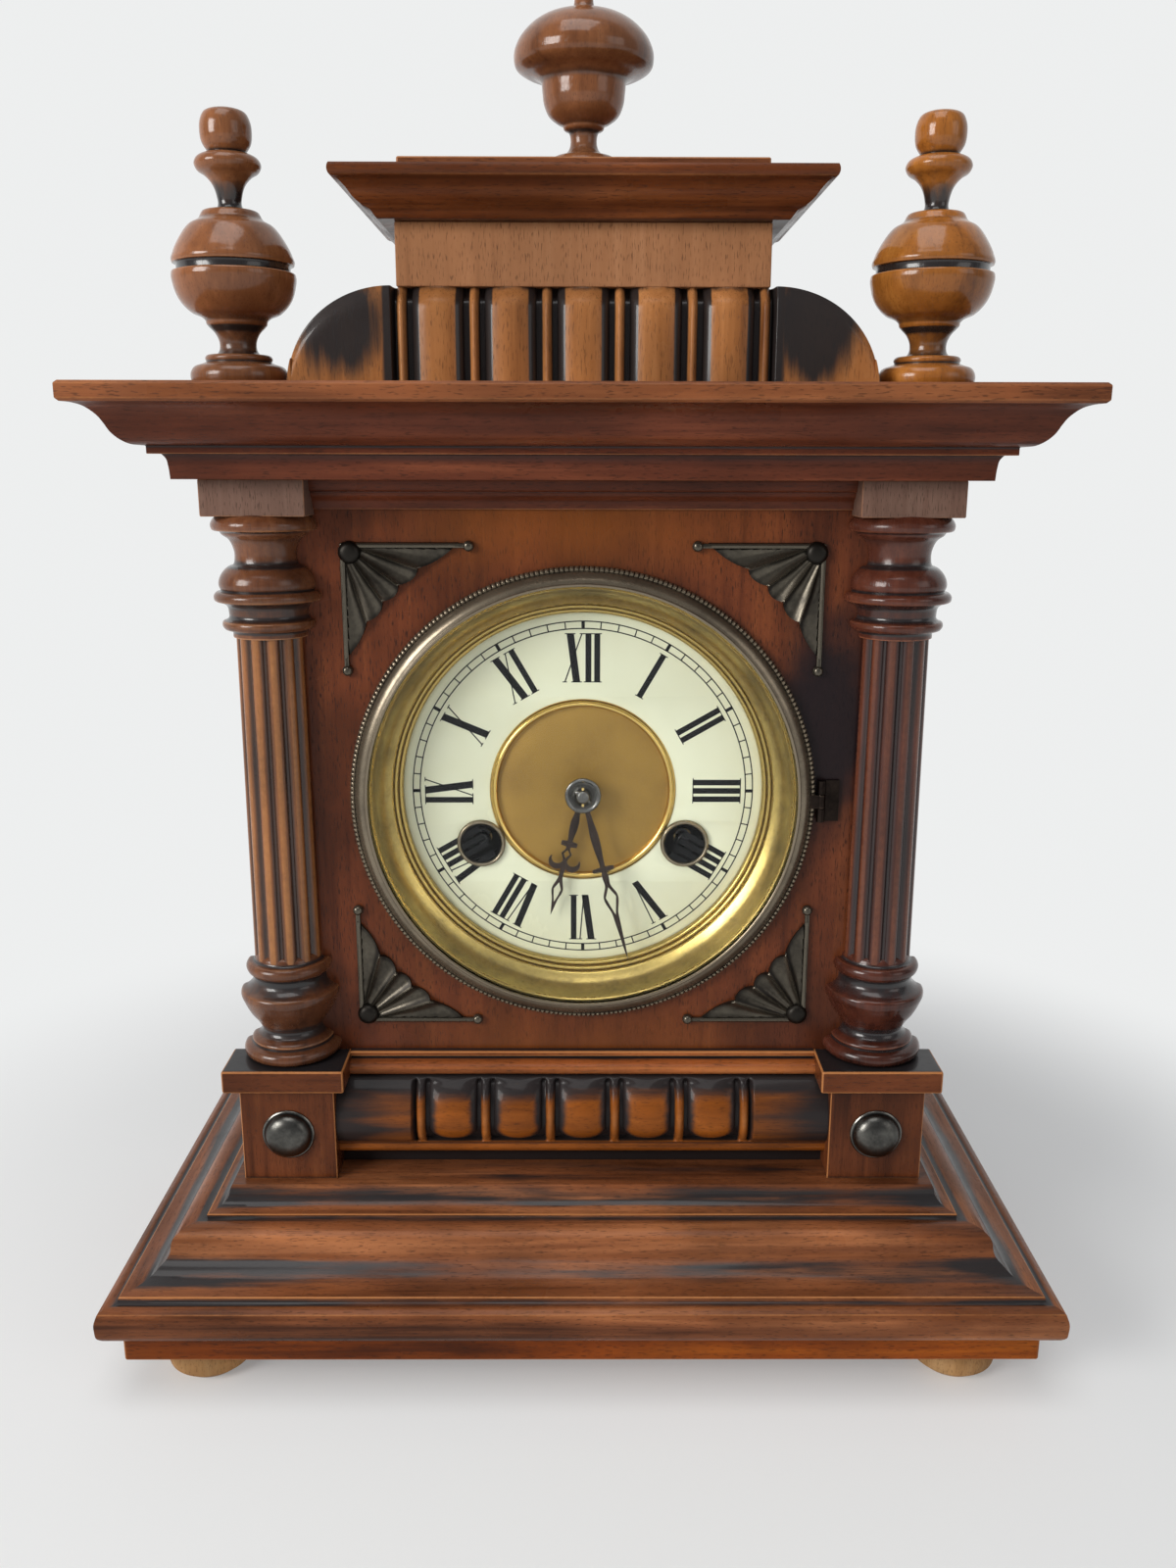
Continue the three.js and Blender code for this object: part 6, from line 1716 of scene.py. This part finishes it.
@dataclass
class Dial:
    """The enamel ring with its numerals, the gilt centre and the winding wells."""

    finishes: Finishes
    radius: float = 66.8
    centre_hole: float = 34.1
    thickness: float = 1.2
    track_outer: float = 62.2
    track_inner: float = 59.6
    track_line: float = 0.42
    numeral_outer: float = 57.9
    numeral_inner: float = 40.2
    eyelet_x: float = 37.6
    eyelet_z: float = -20.0
    hole: float = 8.0
    pan_radius: float = 70.0
    well_floor: float = 8.4
    arbor_in: float = 6.6
    ink_low: float = 0.02
    ink_high: float = -0.05

    def build(self) -> None:
        """Build the enamel ring, its marks, the gilt centre and the wells."""
        holes = [ring_points(self.hole, 64, side * self.eyelet_x, self.eyelet_z) for side in (-1, 1)]
        rings = [ring_points(self.radius, 180), ring_points(self.centre_hole, 120)]
        plate = flat_plate([*rings, *holes], 0, self.thickness, 0.25)
        plate.transform(Matrix.Translation((0, DIAL_PLANE * MM, DIAL_HEIGHT * MM)))
        seat("enamel_chapter_ring", plate, self.finishes.enamel, "case", ["enamel_dial"])
        marks = Shell()
        half = self.track_line / 2
        for radius in (self.track_outer, self.track_inner):
            self.ink_ring(marks, radius + half, radius - half)
        for minute in range(60):
            wide = 0.6 if minute % 5 == 0 else half
            corners = [(-wide, self.track_inner), (wide, self.track_inner), (wide, self.track_outer),
                       (-wide, self.track_outer)]
            self.stroke(marks, minute * 6, corners)
        for hour, numeral in enumerate(HOURS):
            self.numeral(marks, hour * 30, numeral)
        dial_frame(marks).object("dial_numerals", self.finishes.ink, "case", "enamel", [])
        self.centre()
        self.wells()

    def stroke(self, shell: Shell, angle: float, corners: Sequence[tuple[float, float]]) -> None:
        """Raise one flat ink shape.

        Args:
            shell: The shell that takes it.
            angle: Clock angle in degrees.
            corners: Its corners as [across, outward].
        """
        t = math.radians(angle)
        across, out = (math.cos(t), -math.sin(t)), (math.sin(t), math.cos(t))
        places = [(u * across[0] + v * out[0], u * across[1] + v * out[1]) for u, v in corners]
        low = [shell.point((x, self.ink_low, z)) for x, z in places]
        high = [shell.point((x, self.ink_high, z)) for x, z in places]
        shell.face(low)
        shell.face(high[::-1])
        for i in range(len(places)):
            j = (i + 1) % len(places)
            shell.face((low[i], high[i], high[j], low[j]))

    def ink_ring(self, shell: Shell, outer: float, inner: float, count: int = 240) -> None:
        """Draw a thin circle of ink as one closed band.

        Args:
            shell: The shell that takes it.
            outer: Its outer radius.
            inner: Its inner radius.
            count: Number of steps round.
        """
        turns = [TAU * i / count for i in range(count)]
        low, high = self.ink_low, self.ink_high
        grid = [[shell.point((r * math.sin(t), y, r * math.cos(t))) for t in turns]
                for r, y in ((outer, high), (outer, low), (inner, low), (inner, high))]
        shell.rows([*grid, grid[0]], closed=True)

    def numeral(self, shell: Shell, angle: float, text: str) -> None:
        """Draw one hour numeral with its serifs.

        Args:
            shell: The shell that takes the strokes.
            angle: Clock angle in degrees.
            text: The numeral.
        """
        letters = [Letter[c] for c in text]
        gap, serif, hair = 1.05, 0.6, 0.34
        left = -(sum(WIDTHS[letter] for letter in letters) + gap * (len(letters) - 1)) / 2
        low, high = self.numeral_inner, self.numeral_outer
        for letter in letters:
            for top, foot, width in letter.value:
                a, b = left + foot, left + top
                self.stroke(shell, angle, [(a, low), (a + width, low), (b + width, high), (b, high)])
                ends = [(b, high - hair, high)]
                if letter is not Letter.V:
                    ends.append((a, low, low + hair))
                for start, foot_at, top_at in ends:
                    x0, x1 = start - serif, start + width + serif
                    self.stroke(shell, angle, [(x0, foot_at), (x1, foot_at), (x1, top_at), (x0, top_at)])
            left += WIDTHS[letter] + gap

    def centre(self) -> None:
        """Build the gilt centre, its raised bead and the plate behind the enamel."""
        loop = [(4.4, -2.5), (4.4, -0.6), (29.6, -0.6), (30.2, -0.7), (33.0, -0.7), (33.3, -1.0), (33.3, -2.5),
                (4.4, -2.5)]
        disc = swept_ring(loop, 96, 42, 0.1, 1.2)
        dial_frame(facing(disc)).object("gilt_centre", self.finishes.matte_gilt, "case", "brass", ["dial_pan"])
        loop = [(31.2, -0.65), (31.4, 0.2), (31.9, 0.95), (32.5, 1.15), (33.05, 0.75), (33.4, 0.0), (33.5, -0.65),
                (31.2, -0.65)]
        bead = swept_ring(loop, 144, 70, 0.1, 0.3)
        dial_frame(facing(bead)).object("gilt_bead", self.finishes.gilt, "case", "brass", ["dial_pan"])
        holes = [ring_points(self.hole - 0.3, 64, side * self.eyelet_x, self.eyelet_z) for side in (-1, 1)]
        plate = flat_plate([ring_points(self.pan_radius, 160), ring_points(33.5), *holes], 1.5, 1.0, 0)
        plate.transform(Matrix.Translation((0, DIAL_PLANE * MM, DIAL_HEIGHT * MM)))
        seat("dial_back_plate", plate, self.finishes.gilt, "case", ["dial_pan"])

    def wells(self) -> None:
        """Build the rimmed wells round the winding arbors, lined black as painted shade, and the arbors' rounded
        ends.
        """
        rim = [(7.5, 0.9), (7.8, 1.4), (8.35, 1.5), (8.8, 1.0), (9.0, 0.3), (8.9, 0.04), (7.75, 0.02), (7.5, 0.0),
               (7.5, 0.9)]
        floor = self.well_floor
        # Painted shade: a black cup and floor stand for the dark inside the deep winding holes
        lining = [(7.5, 0.5), (7.7, 0.5), (7.7, -floor - 0.6), (3.4, -floor - 0.6), (3.4, -floor), (7.3, -floor),
                  (7.3, 0.4), (7.5, 0.5)]
        end = turned([(0.01, 0), (3.1, 0), (3.1, 0.8), (2.8, 1.7), (2.1, 2.4), (1.1, 2.7), (0.01, 2.8)], 40, soft=0.1)
        rims, shade_linings = Shell(), Shell()
        for side, body in ((-1, "strike_winding_arbor"), (1, "going_winding_arbor")):
            place = (side * self.eyelet_x, self.eyelet_z)
            rims.add(facing(swept_ring(rim, 72, 60, 0.1, 0.4), *place))
            shade_linings.add(facing(swept_ring(lining, 72, 60, 0.1, 1.5), *place))
            cap = facing(end, *place).moved((0, self.arbor_in, 0))
            dial_frame(cap).object(f"{body}_end", self.finishes.arbor_end, body, "steel", [])
        dial_frame(rims).object("well_rims", self.finishes.bezel, "case", "brass", ["dial_pan"])
        dial_frame(shade_linings).object("well_linings", self.finishes.lining, "case", "brass", ["dial_pan"])


@dataclass
class Hand:
    """One pierced hand, drawn as half widths in millimetres at shares of its length."""

    name: str
    body: str
    node: str
    length: float
    angle: float
    front: float
    collet: float
    bore: float
    outline: Profile
    pierced: Sequence[Profile]
    scroll: float = 0.0
    scroll_at: float = 0.0
    thickness: float = 0.8

    def build(self, finishes: Finishes) -> None:
        """Cut the hand from plate, turned to its hour.

        Args:
            finishes: The finishes.
        """
        shapes = [self.closed(p) for p in (self.outline, *self.pierced)]
        pieces = [flat_plate(shapes, 0, self.thickness, 0.12)]
        rings = [ring_points(self.collet, 48), ring_points(self.bore, 32)]
        pieces.append(flat_plate(rings, 0.0, self.thickness + 0.02, 0.12))
        if self.scroll:
            pieces += [flat_plate([self.crescent(side)], 0.02, self.thickness - 0.04, 0.1) for side in (-1, 1)]
        work = join_meshes(self.name, pieces)
        turn = Matrix.Rotation(math.radians(self.angle), 4, "Y")
        work.transform(Matrix.Translation((0, (DIAL_PLANE - self.front) * MM, DIAL_HEIGHT * MM)) @ turn)
        seat(self.name, work, finishes.blued, self.body, [self.node])

    def closed(self, rows: Profile) -> list[tuple[float, float]]:
        """Turn half widths into a closed, smooth outline."""
        line = rounded_line([(w, share * self.length, 0) for w, share in rows], 38, 0.1, 0.6)
        right = [(float(w), float(l)) for w, l, _ in line]
        return right + [(-w, l) for w, l in reversed(right) if w > 0.02]

    def crescent(self, side: int) -> list[tuple[float, float]]:
        """Draw a crescent at one side, thick towards the tip and open towards the hub.

        Args:
            side: -1 for the left, 1 for the right.

        Returns:
            Its outline.
        """
        x, z, outer = side * self.scroll, self.scroll_at * self.length, self.scroll * 1.06
        inner, shift, steps = outer * 0.72, outer * 0.40, 20
        turns = [math.radians(-28 + 236 * i / steps) for i in range(steps + 1)]
        rows = [(x + side * outer * math.cos(t), z + outer * math.sin(t)) for t in turns]
        turns = [math.radians(-14 + 208 * i / steps) for i in range(steps, -1, -1)]
        return rows + [(x + side * inner * math.cos(t), z - shift + inner * math.sin(t)) for t in turns]


@dataclass
class Hands:
    """Both hands and the hub washer with its pin."""

    finishes: Finishes
    hub_out: float = 7.2
    pin_out: float = 9.4
    pin_lean: float = 0.9

    def build(self) -> None:
        """Build the hour hand, the minute hand and the hub."""
        hour = Hand(
            "pierced_hour_hand", "hour_pipe", "hour_hand", 48.5, 194.4, 3.6, 4.8, 3.3,
            [(1.6, 0.02), (1.15, 0.1), (1.0, 0.16), (1.55, 0.24), (1.45, 0.30), (1.0, 0.37), (0.95, 0.392),
             (3.0, 0.398), (3.0, 0.43), (0.85, 0.436), (0.8, 0.45), (2.0, 0.495), (0.85, 0.545), (0.8, 0.56),
             (1.0, 0.60), (0.75, 0.655), (0.85, 0.69), (1.15, 0.715), (2.1, 0.785), (1.15, 0.865), (0.6, 0.93),
             (0.02, 1.0)],
            [[(0.02, 0.462), (1.15, 0.495), (0.02, 0.532)],
             [(0.02, 0.728), (1.35, 0.785), (0.75, 0.84), (0.02, 0.89)]],
            2.9, 0.565)
        minute = Hand(
            "pierced_minute_hand", "minute_arbor", "minute_hand", 66, 165, 7.2, 4.2, 2.1,
            [(1.3, 0.02), (1.0, 0.08), (1.05, 0.15), (1.55, 0.24), (1.4, 0.32), (0.95, 0.40), (0.95, 0.426),
             (4.0, 0.43), (4.0, 0.45), (0.95, 0.454), (1.2, 0.49), (1.0, 0.53), (2.7, 0.605), (1.15, 0.71),
             (1.0, 0.76), (0.75, 0.82), (0.4, 0.93), (0.02, 1.0)],
            [[(0.02, 0.548), (1.95, 0.607), (0.5, 0.69), (0.02, 0.715)]])
        for hand in (hour, minute):
            hand.build(self.finishes)
        hub = turned([(0.01, 0.0), (6.5, 0.0), (6.6, 0.3), (6.5, 0.7), (6.1, 1.0), (5.6, 1.05), (5.4, 0.9),
                      (3.4, 0.95), (2.9, 1.3), (2.6, 2.4), (2.2, 3.1), (1.4, 3.5), (0.01, 3.6)], 64, soft=0.12)
        hub = facing(hub).moved((0, -self.hub_out, 0))
        pin = turned([(0.01, -3.6), (0.45, -3.4), (0.7, 3.2), (0.5, 3.5), (0.01, 3.6)], 16, soft=0.1)
        cos, sin = math.cos(self.pin_lean), math.sin(self.pin_lean)
        pin.points = [(x * cos - z * sin, y - self.pin_out, x * sin + z * cos) for x, y, z in pin.points]
        dial_frame(hub.add(pin)).object("hub_washer_and_pin", self.finishes.washer, "minute_arbor", "steel", [])


@dataclass
class Fans:
    """The four pressed corner fans."""

    finishes: Finishes
    x: float = 83.0
    above: float = 90.5
    below: float = 85.5
    arm: float = 44.0
    edge: float = 95.5
    flutes: int = 5
    rise: float = 2.3
    plate: float = 1.0
    border: float = 2.1
    steps_across: int = 150
    steps_along: int = 40

    def build(self) -> None:
        """Build a fan in each corner of the panel."""
        for row, up, limit in (("upper", 1, self.above), ("lower", -1, self.below)):
            for side, sign in (("left", -1), ("right", 1)):
                shell = self.fan()
                shell.points = [(sign * (self.x - u), -out, up * (limit - v)) for u, v, out in shell.points]
                name = f"{row}_{side}_fan"
                placed = shell.moved((0, PANEL_FRONT, DIAL_HEIGHT))
                placed.object(f"pressed_{name}", self.finishes.bronze, "case", "bronze", [name], 60)

    def reach(self, turn: float) -> float:
        """Measure how far the fan reaches from its corner.

        Args:
            turn: Angle from one straight side, in radians.

        Returns:
            The length.
        """
        centre = (self.arm + math.sqrt(2 * self.edge**2 - self.arm**2)) / 2
        apart = 2 * centre**2 - self.edge**2
        along = centre * (math.cos(turn) + math.sin(turn))
        return along - math.sqrt(along * along - apart)

    def height(self, u: float, v: float, phase: float, s: float) -> tuple[float, float, float]:
        """Return height, hollow and ridge of the pressing.

        Args:
            u: Distance from the corner along one straight side.
            v: Distance along the other.
            phase: Place across a flute, from 0 to 1.
            s: Share of the way to the scalloped edge.

        Returns:
            The height above the panel, the hollow and the ridge.
        """
        scoop = math.sin(math.pi * phase) ** 0.85
        grow = step_up(0.0, 0.7, s)
        out = self.plate * 0.6 + self.rise * (1 - 0.8 * scoop) * grow
        ridge = step_up(0.5, 0.0, scoop) * grow
        hollow = 0.8 * step_up(0.3, 0.05, phase) * step_up(0.0, 0.1, phase) + 0.5 * step_up(0.93, 1.0, s)
        side = min(u, v)
        if side < self.border:
            rib = math.sin(math.pi * side / self.border) ** 0.6
            return self.plate * 0.5 + 1.25 * rib, 0.9 * (1 - rib), 0.6 * rib
        return out, hollow, ridge

    def fan(self) -> Shell:
        """Press one fan in corner coordinates: two arms along U and V, and out from the panel.

        Returns:
            The closed shell.
        """
        shell = Shell()
        across, along = self.steps_across, self.steps_along
        front: list[list[int]] = []
        back: list[list[int]] = []
        for i in range(across + 1):
            t = i / across
            turn = math.pi / 2 * t
            phase = (self.flutes * t) % 1
            reach = self.reach(turn) * (0.92 + 0.075 * math.sin(math.pi * phase) ** 0.75)
            line_front, line_back = [], []
            for k in range(along + 1):
                s = 0.03 + 0.97 * k / along
                u, v = reach * s * math.cos(turn), reach * s * math.sin(turn)
                out, hollow, ridge = self.height(u, v, phase, s)
                line_front.append(shell.point((u, v, out), hollow, ridge))
                line_back.append(shell.point((u, v, 0.0)))
            front.append(line_front)
            back.append(line_back)
        shell.rows(front)
        shell.rows([r[::-1] for r in back])
        for a in ((front[0], back[0]), (front[-1], back[-1])):
            for k in range(along):
                shell.face((a[0][k], a[0][k + 1], a[1][k + 1], a[1][k]))
        for k in (0, -1):
            for i in range(across):
                shell.face((front[i][k], front[i + 1][k], back[i + 1][k], back[i][k]))
        dome = turned([(0.01, 0), (3.9, 0), (3.9, 1.2), (3.5, 2.2), (2.6, 3.0), (1.3, 3.35), (0.01, 3.4)], 40,
                      soft=0.2)
        dome.tones = [(0.85, 0.0, 0.0)] * len(dome.points)
        shell.add(dome.moved((3.4, 3.4, 0)))
        ball = turned([(0.01, 0), (1.8, 0), (1.9, 1.0), (1.6, 2.0), (0.9, 2.6), (0.01, 2.7)], 28, soft=0.2)
        shell.add(ball.moved((self.arm, 1.2, 0))).add(ball.moved((1.2, self.arm, 0)))
        for end in ((self.arm, 1.9), (1.9, self.arm)):
            shell.add(soft_block((0.2, 0.2, 0.0), (*end, 1.6), 0.5))
        return shell


# Behind and inside
@dataclass
class Gong:
    """The coiled wire gong with its clamp, post and sole."""

    finishes: Finishes
    x: float = -60.0
    z: float = -92.0
    behind: float = 70.0
    radius: float = 37.0
    turns: int = 3
    pitch: float = 6.0
    wire: float = 1.2
    clamp: tuple[float, float, float] = (16.0, 12.0, 14.0)
    post: float = 3.0

    def build(self) -> None:
        """Build the coil and its stand."""
        shell = Shell()
        steps, sides = 48 * self.turns, 12
        grid = []
        for i in range(steps + 1):
            t = i / steps
            radius, turn = self.radius - self.turns * self.pitch * t, TAU * self.turns * t
            row = []
            for k in range(sides):
                a = TAU * k / sides
                r = radius + self.wire * math.cos(a)
                depth = self.behind + self.wire * math.sin(a)
                row.append(shell.point((r * math.cos(turn), depth, r * math.sin(turn))))
            grid.append(row)
        shell.rows(grid, closed=True)
        shell.ends(grid)
        end = self.radius - self.turns * self.pitch
        w, d, h = (v / 2 for v in self.clamp)
        floor = BASE_TOP - DIAL_HEIGHT - self.z
        y = self.behind + d
        stand = soft_block((-w, self.behind - d, -self.wire * 2), (end + self.wire, self.behind + d, h), 0.6)
        stand.add(soft_block((-self.post, y - self.post, floor), (self.post, y + self.post, h), 0.6))
        stand.add(soft_block((-w, self.behind - d, floor), (w, y + self.post, floor + self.post), 0.6))
        place = (self.x, 0, self.z)
        dial_frame(shell.moved(place)).object("coiled_gong", self.finishes.gong, "case", "steel", ["gong"])
        dial_frame(stand.moved(place)).object("gong_stand", self.finishes.washer, "case", "steel", ["gong"])


@dataclass
class Works:
    """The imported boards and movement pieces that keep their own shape."""

    finishes: Finishes

    def build(self) -> None:
        """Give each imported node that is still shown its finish."""
        f = self.finishes
        chosen = {"front_panel": f.panel, "bezel_hinge": f.hinge}
        chosen |= dict.fromkeys(("left_side", "right_side", "back_frame", "rear_door"), f.boards)
        chosen |= dict.fromkeys(("going_winding_arbor", "strike_winding_arbor", "anchor", "fly", "hammer"), f.steel)
        for name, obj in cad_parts.items():
            if obj.hide_render:
                continue
            obj.data.materials.clear()
            obj.data.materials.append(chosen.get(name, f.brass))
            log.info("%s keeps its packed shape", name)


# Stage
@dataclass
class Stage:
    """Floor, lights, sky and camera."""

    pale: Colour = (0.85, 0.86, 0.86)
    floor_size: float = 12.0
    shadow_end: float = 0.26
    fade_end: float = 0.45
    sky_strength: float = 0.27
    eye: tuple[float, float, float] = (-0.00016, -0.4724, 0.3260)
    pitch: float = 0.24560
    yaw: float = 0.00439
    roll: float = -0.00223
    lens: float = 29.75

    def floor(self) -> None:
        """Lay a matte floor that takes light and shadow near the clock and is plain pale further off."""
        material, g, shader, end = open_material("pale_floor")
        place = g.object_place()
        tint = g.mix(g.noise(place, 5.0, 2.0), self.pale, tuple(c * 0.985 for c in self.pale))
        g.fill(shader, {"Base Color": tint, "Roughness": 0.9})
        ray = g.outputs(g.node("LightPath"))
        share = g.math("MAXIMUM", ray["Is Camera Ray"], ray["Is Glossy Ray"])
        share = g.math("MAXIMUM", share, ray["Is Transmission Ray"])
        away = g.value("VectorMath", {0: place}, "Value", operation="LENGTH")
        share = share * g.between(away, self.shadow_end, self.fade_end, 0.25, 1.0)
        g.lay_over(share, shader, g.node("Emission", {"Color": self.pale, "Strength": 1.0}), end)
        mesh = bpy.data.meshes.new("floor")
        h = self.floor_size / 2
        mesh.from_pydata([(-h, -h, 0), (h, -h, 0), (h, h, 0), (-h, h, 0)], [], [(0, 1, 2, 3)])
        mesh.materials.append(material)
        made = bpy.data.objects.new("floor", mesh)
        bpy.context.scene.collection.objects.link(made)

    def lamp(self, name: str, place: Sequence[float], aim: Sequence[float], size: float, watts: float,
             colour: Colour = (1, 1, 1)) -> None:
        """Hang one soft area lamp aimed at a point.

        Args:
            name: Name of the lamp.
            place: Where it hangs.
            aim: The point it is aimed at.
            size: Side of its square.
            watts: Its power.
            colour: Its colour.
        """
        data = bpy.data.lights.new(name, "AREA")
        data.shape, data.size, data.energy, data.color = "SQUARE", size, watts, colour
        made = bpy.data.objects.new(name, data)
        made.location = place
        made.rotation_euler = (Vector(aim) - Vector(place)).to_track_quat("-Z", "Y").to_euler()
        bpy.context.scene.collection.objects.link(made)

    def sky(self) -> bpy.types.World:
        """Make the soft sky, which shows pale to the camera and, behind the clock, to metal and glass."""
        world = bpy.data.worlds.new("studio")
        world.use_nodes = True
        g = Graph(world.node_tree)
        light = world.node_tree.nodes["Background"]
        g.fill(light, {0: (0.95, 0.96, 1.0), 1: self.sky_strength})
        away = g.parts(g.value("TexCoord", output="Generated"))[1]
        ray = g.outputs(g.node("LightPath"))
        share = g.math("MAXIMUM", ray["Is Glossy Ray"] * g.between(away, 0.0, 0.2), ray["Is Camera Ray"])
        share = g.math("MAXIMUM", share, ray["Is Transmission Ray"])
        pale = g.node("Background", {"Color": self.pale, "Strength": 1.0})
        g.lay_over(share, light, pale, world.node_tree.nodes["World Output"])
        return world

    def build(self) -> None:
        """Build floor, lights, sky and camera."""
        self.floor()
        self.lamp("window", (-1.55, -1.2, 0.9), (0, 0, 0.25), 0.9, 34, (1.0, 0.985, 0.96))
        self.lamp("overhead", (-0.2, -0.6, 2.0), (0, 0, 0.2), 1.2, 14)
        self.lamp("fill", (1.6, -1.2, 0.9), (0, 0, 0.25), 1.0, 4, (1.0, 0.97, 0.94))
        bpy.context.scene.world = self.sky()
        bpy.context.scene.view_settings.view_transform = "Standard"
        self.camera()

    def camera(self) -> None:
        """Place the camera at the photograph's viewing angle."""
        data = bpy.data.cameras.new("camera")
        data.lens, data.sensor_width, data.sensor_fit, data.clip_start = self.lens, 36, "AUTO", 0.01
        made = bpy.data.objects.new("camera", data)
        tilt = Matrix.Rotation(math.pi / 2 - self.pitch, 4, "X")
        turn = Matrix.Rotation(-self.yaw, 4, "Z")
        lean = Matrix.Rotation(-self.roll, 4, "Z")
        made.matrix_world = Matrix.Translation(self.eye) @ turn @ tilt @ lean
        bpy.context.scene.collection.objects.link(made)
        bpy.context.scene.camera = made


def main() -> None:
    """Build the sub-assemblies in order, then the stage."""
    finishes = Finishes()
    kinds = (Base, Pedestals, Columns, Frieze, Cornice, Crest, Finials, Fans, Bezel, Dial, Hands, Gong, Works)
    for kind in kinds:
        log.info("building %s", kind.__name__)
        kind(finishes).build()
    Stage().build()


if __name__ == "__main__":
    main()
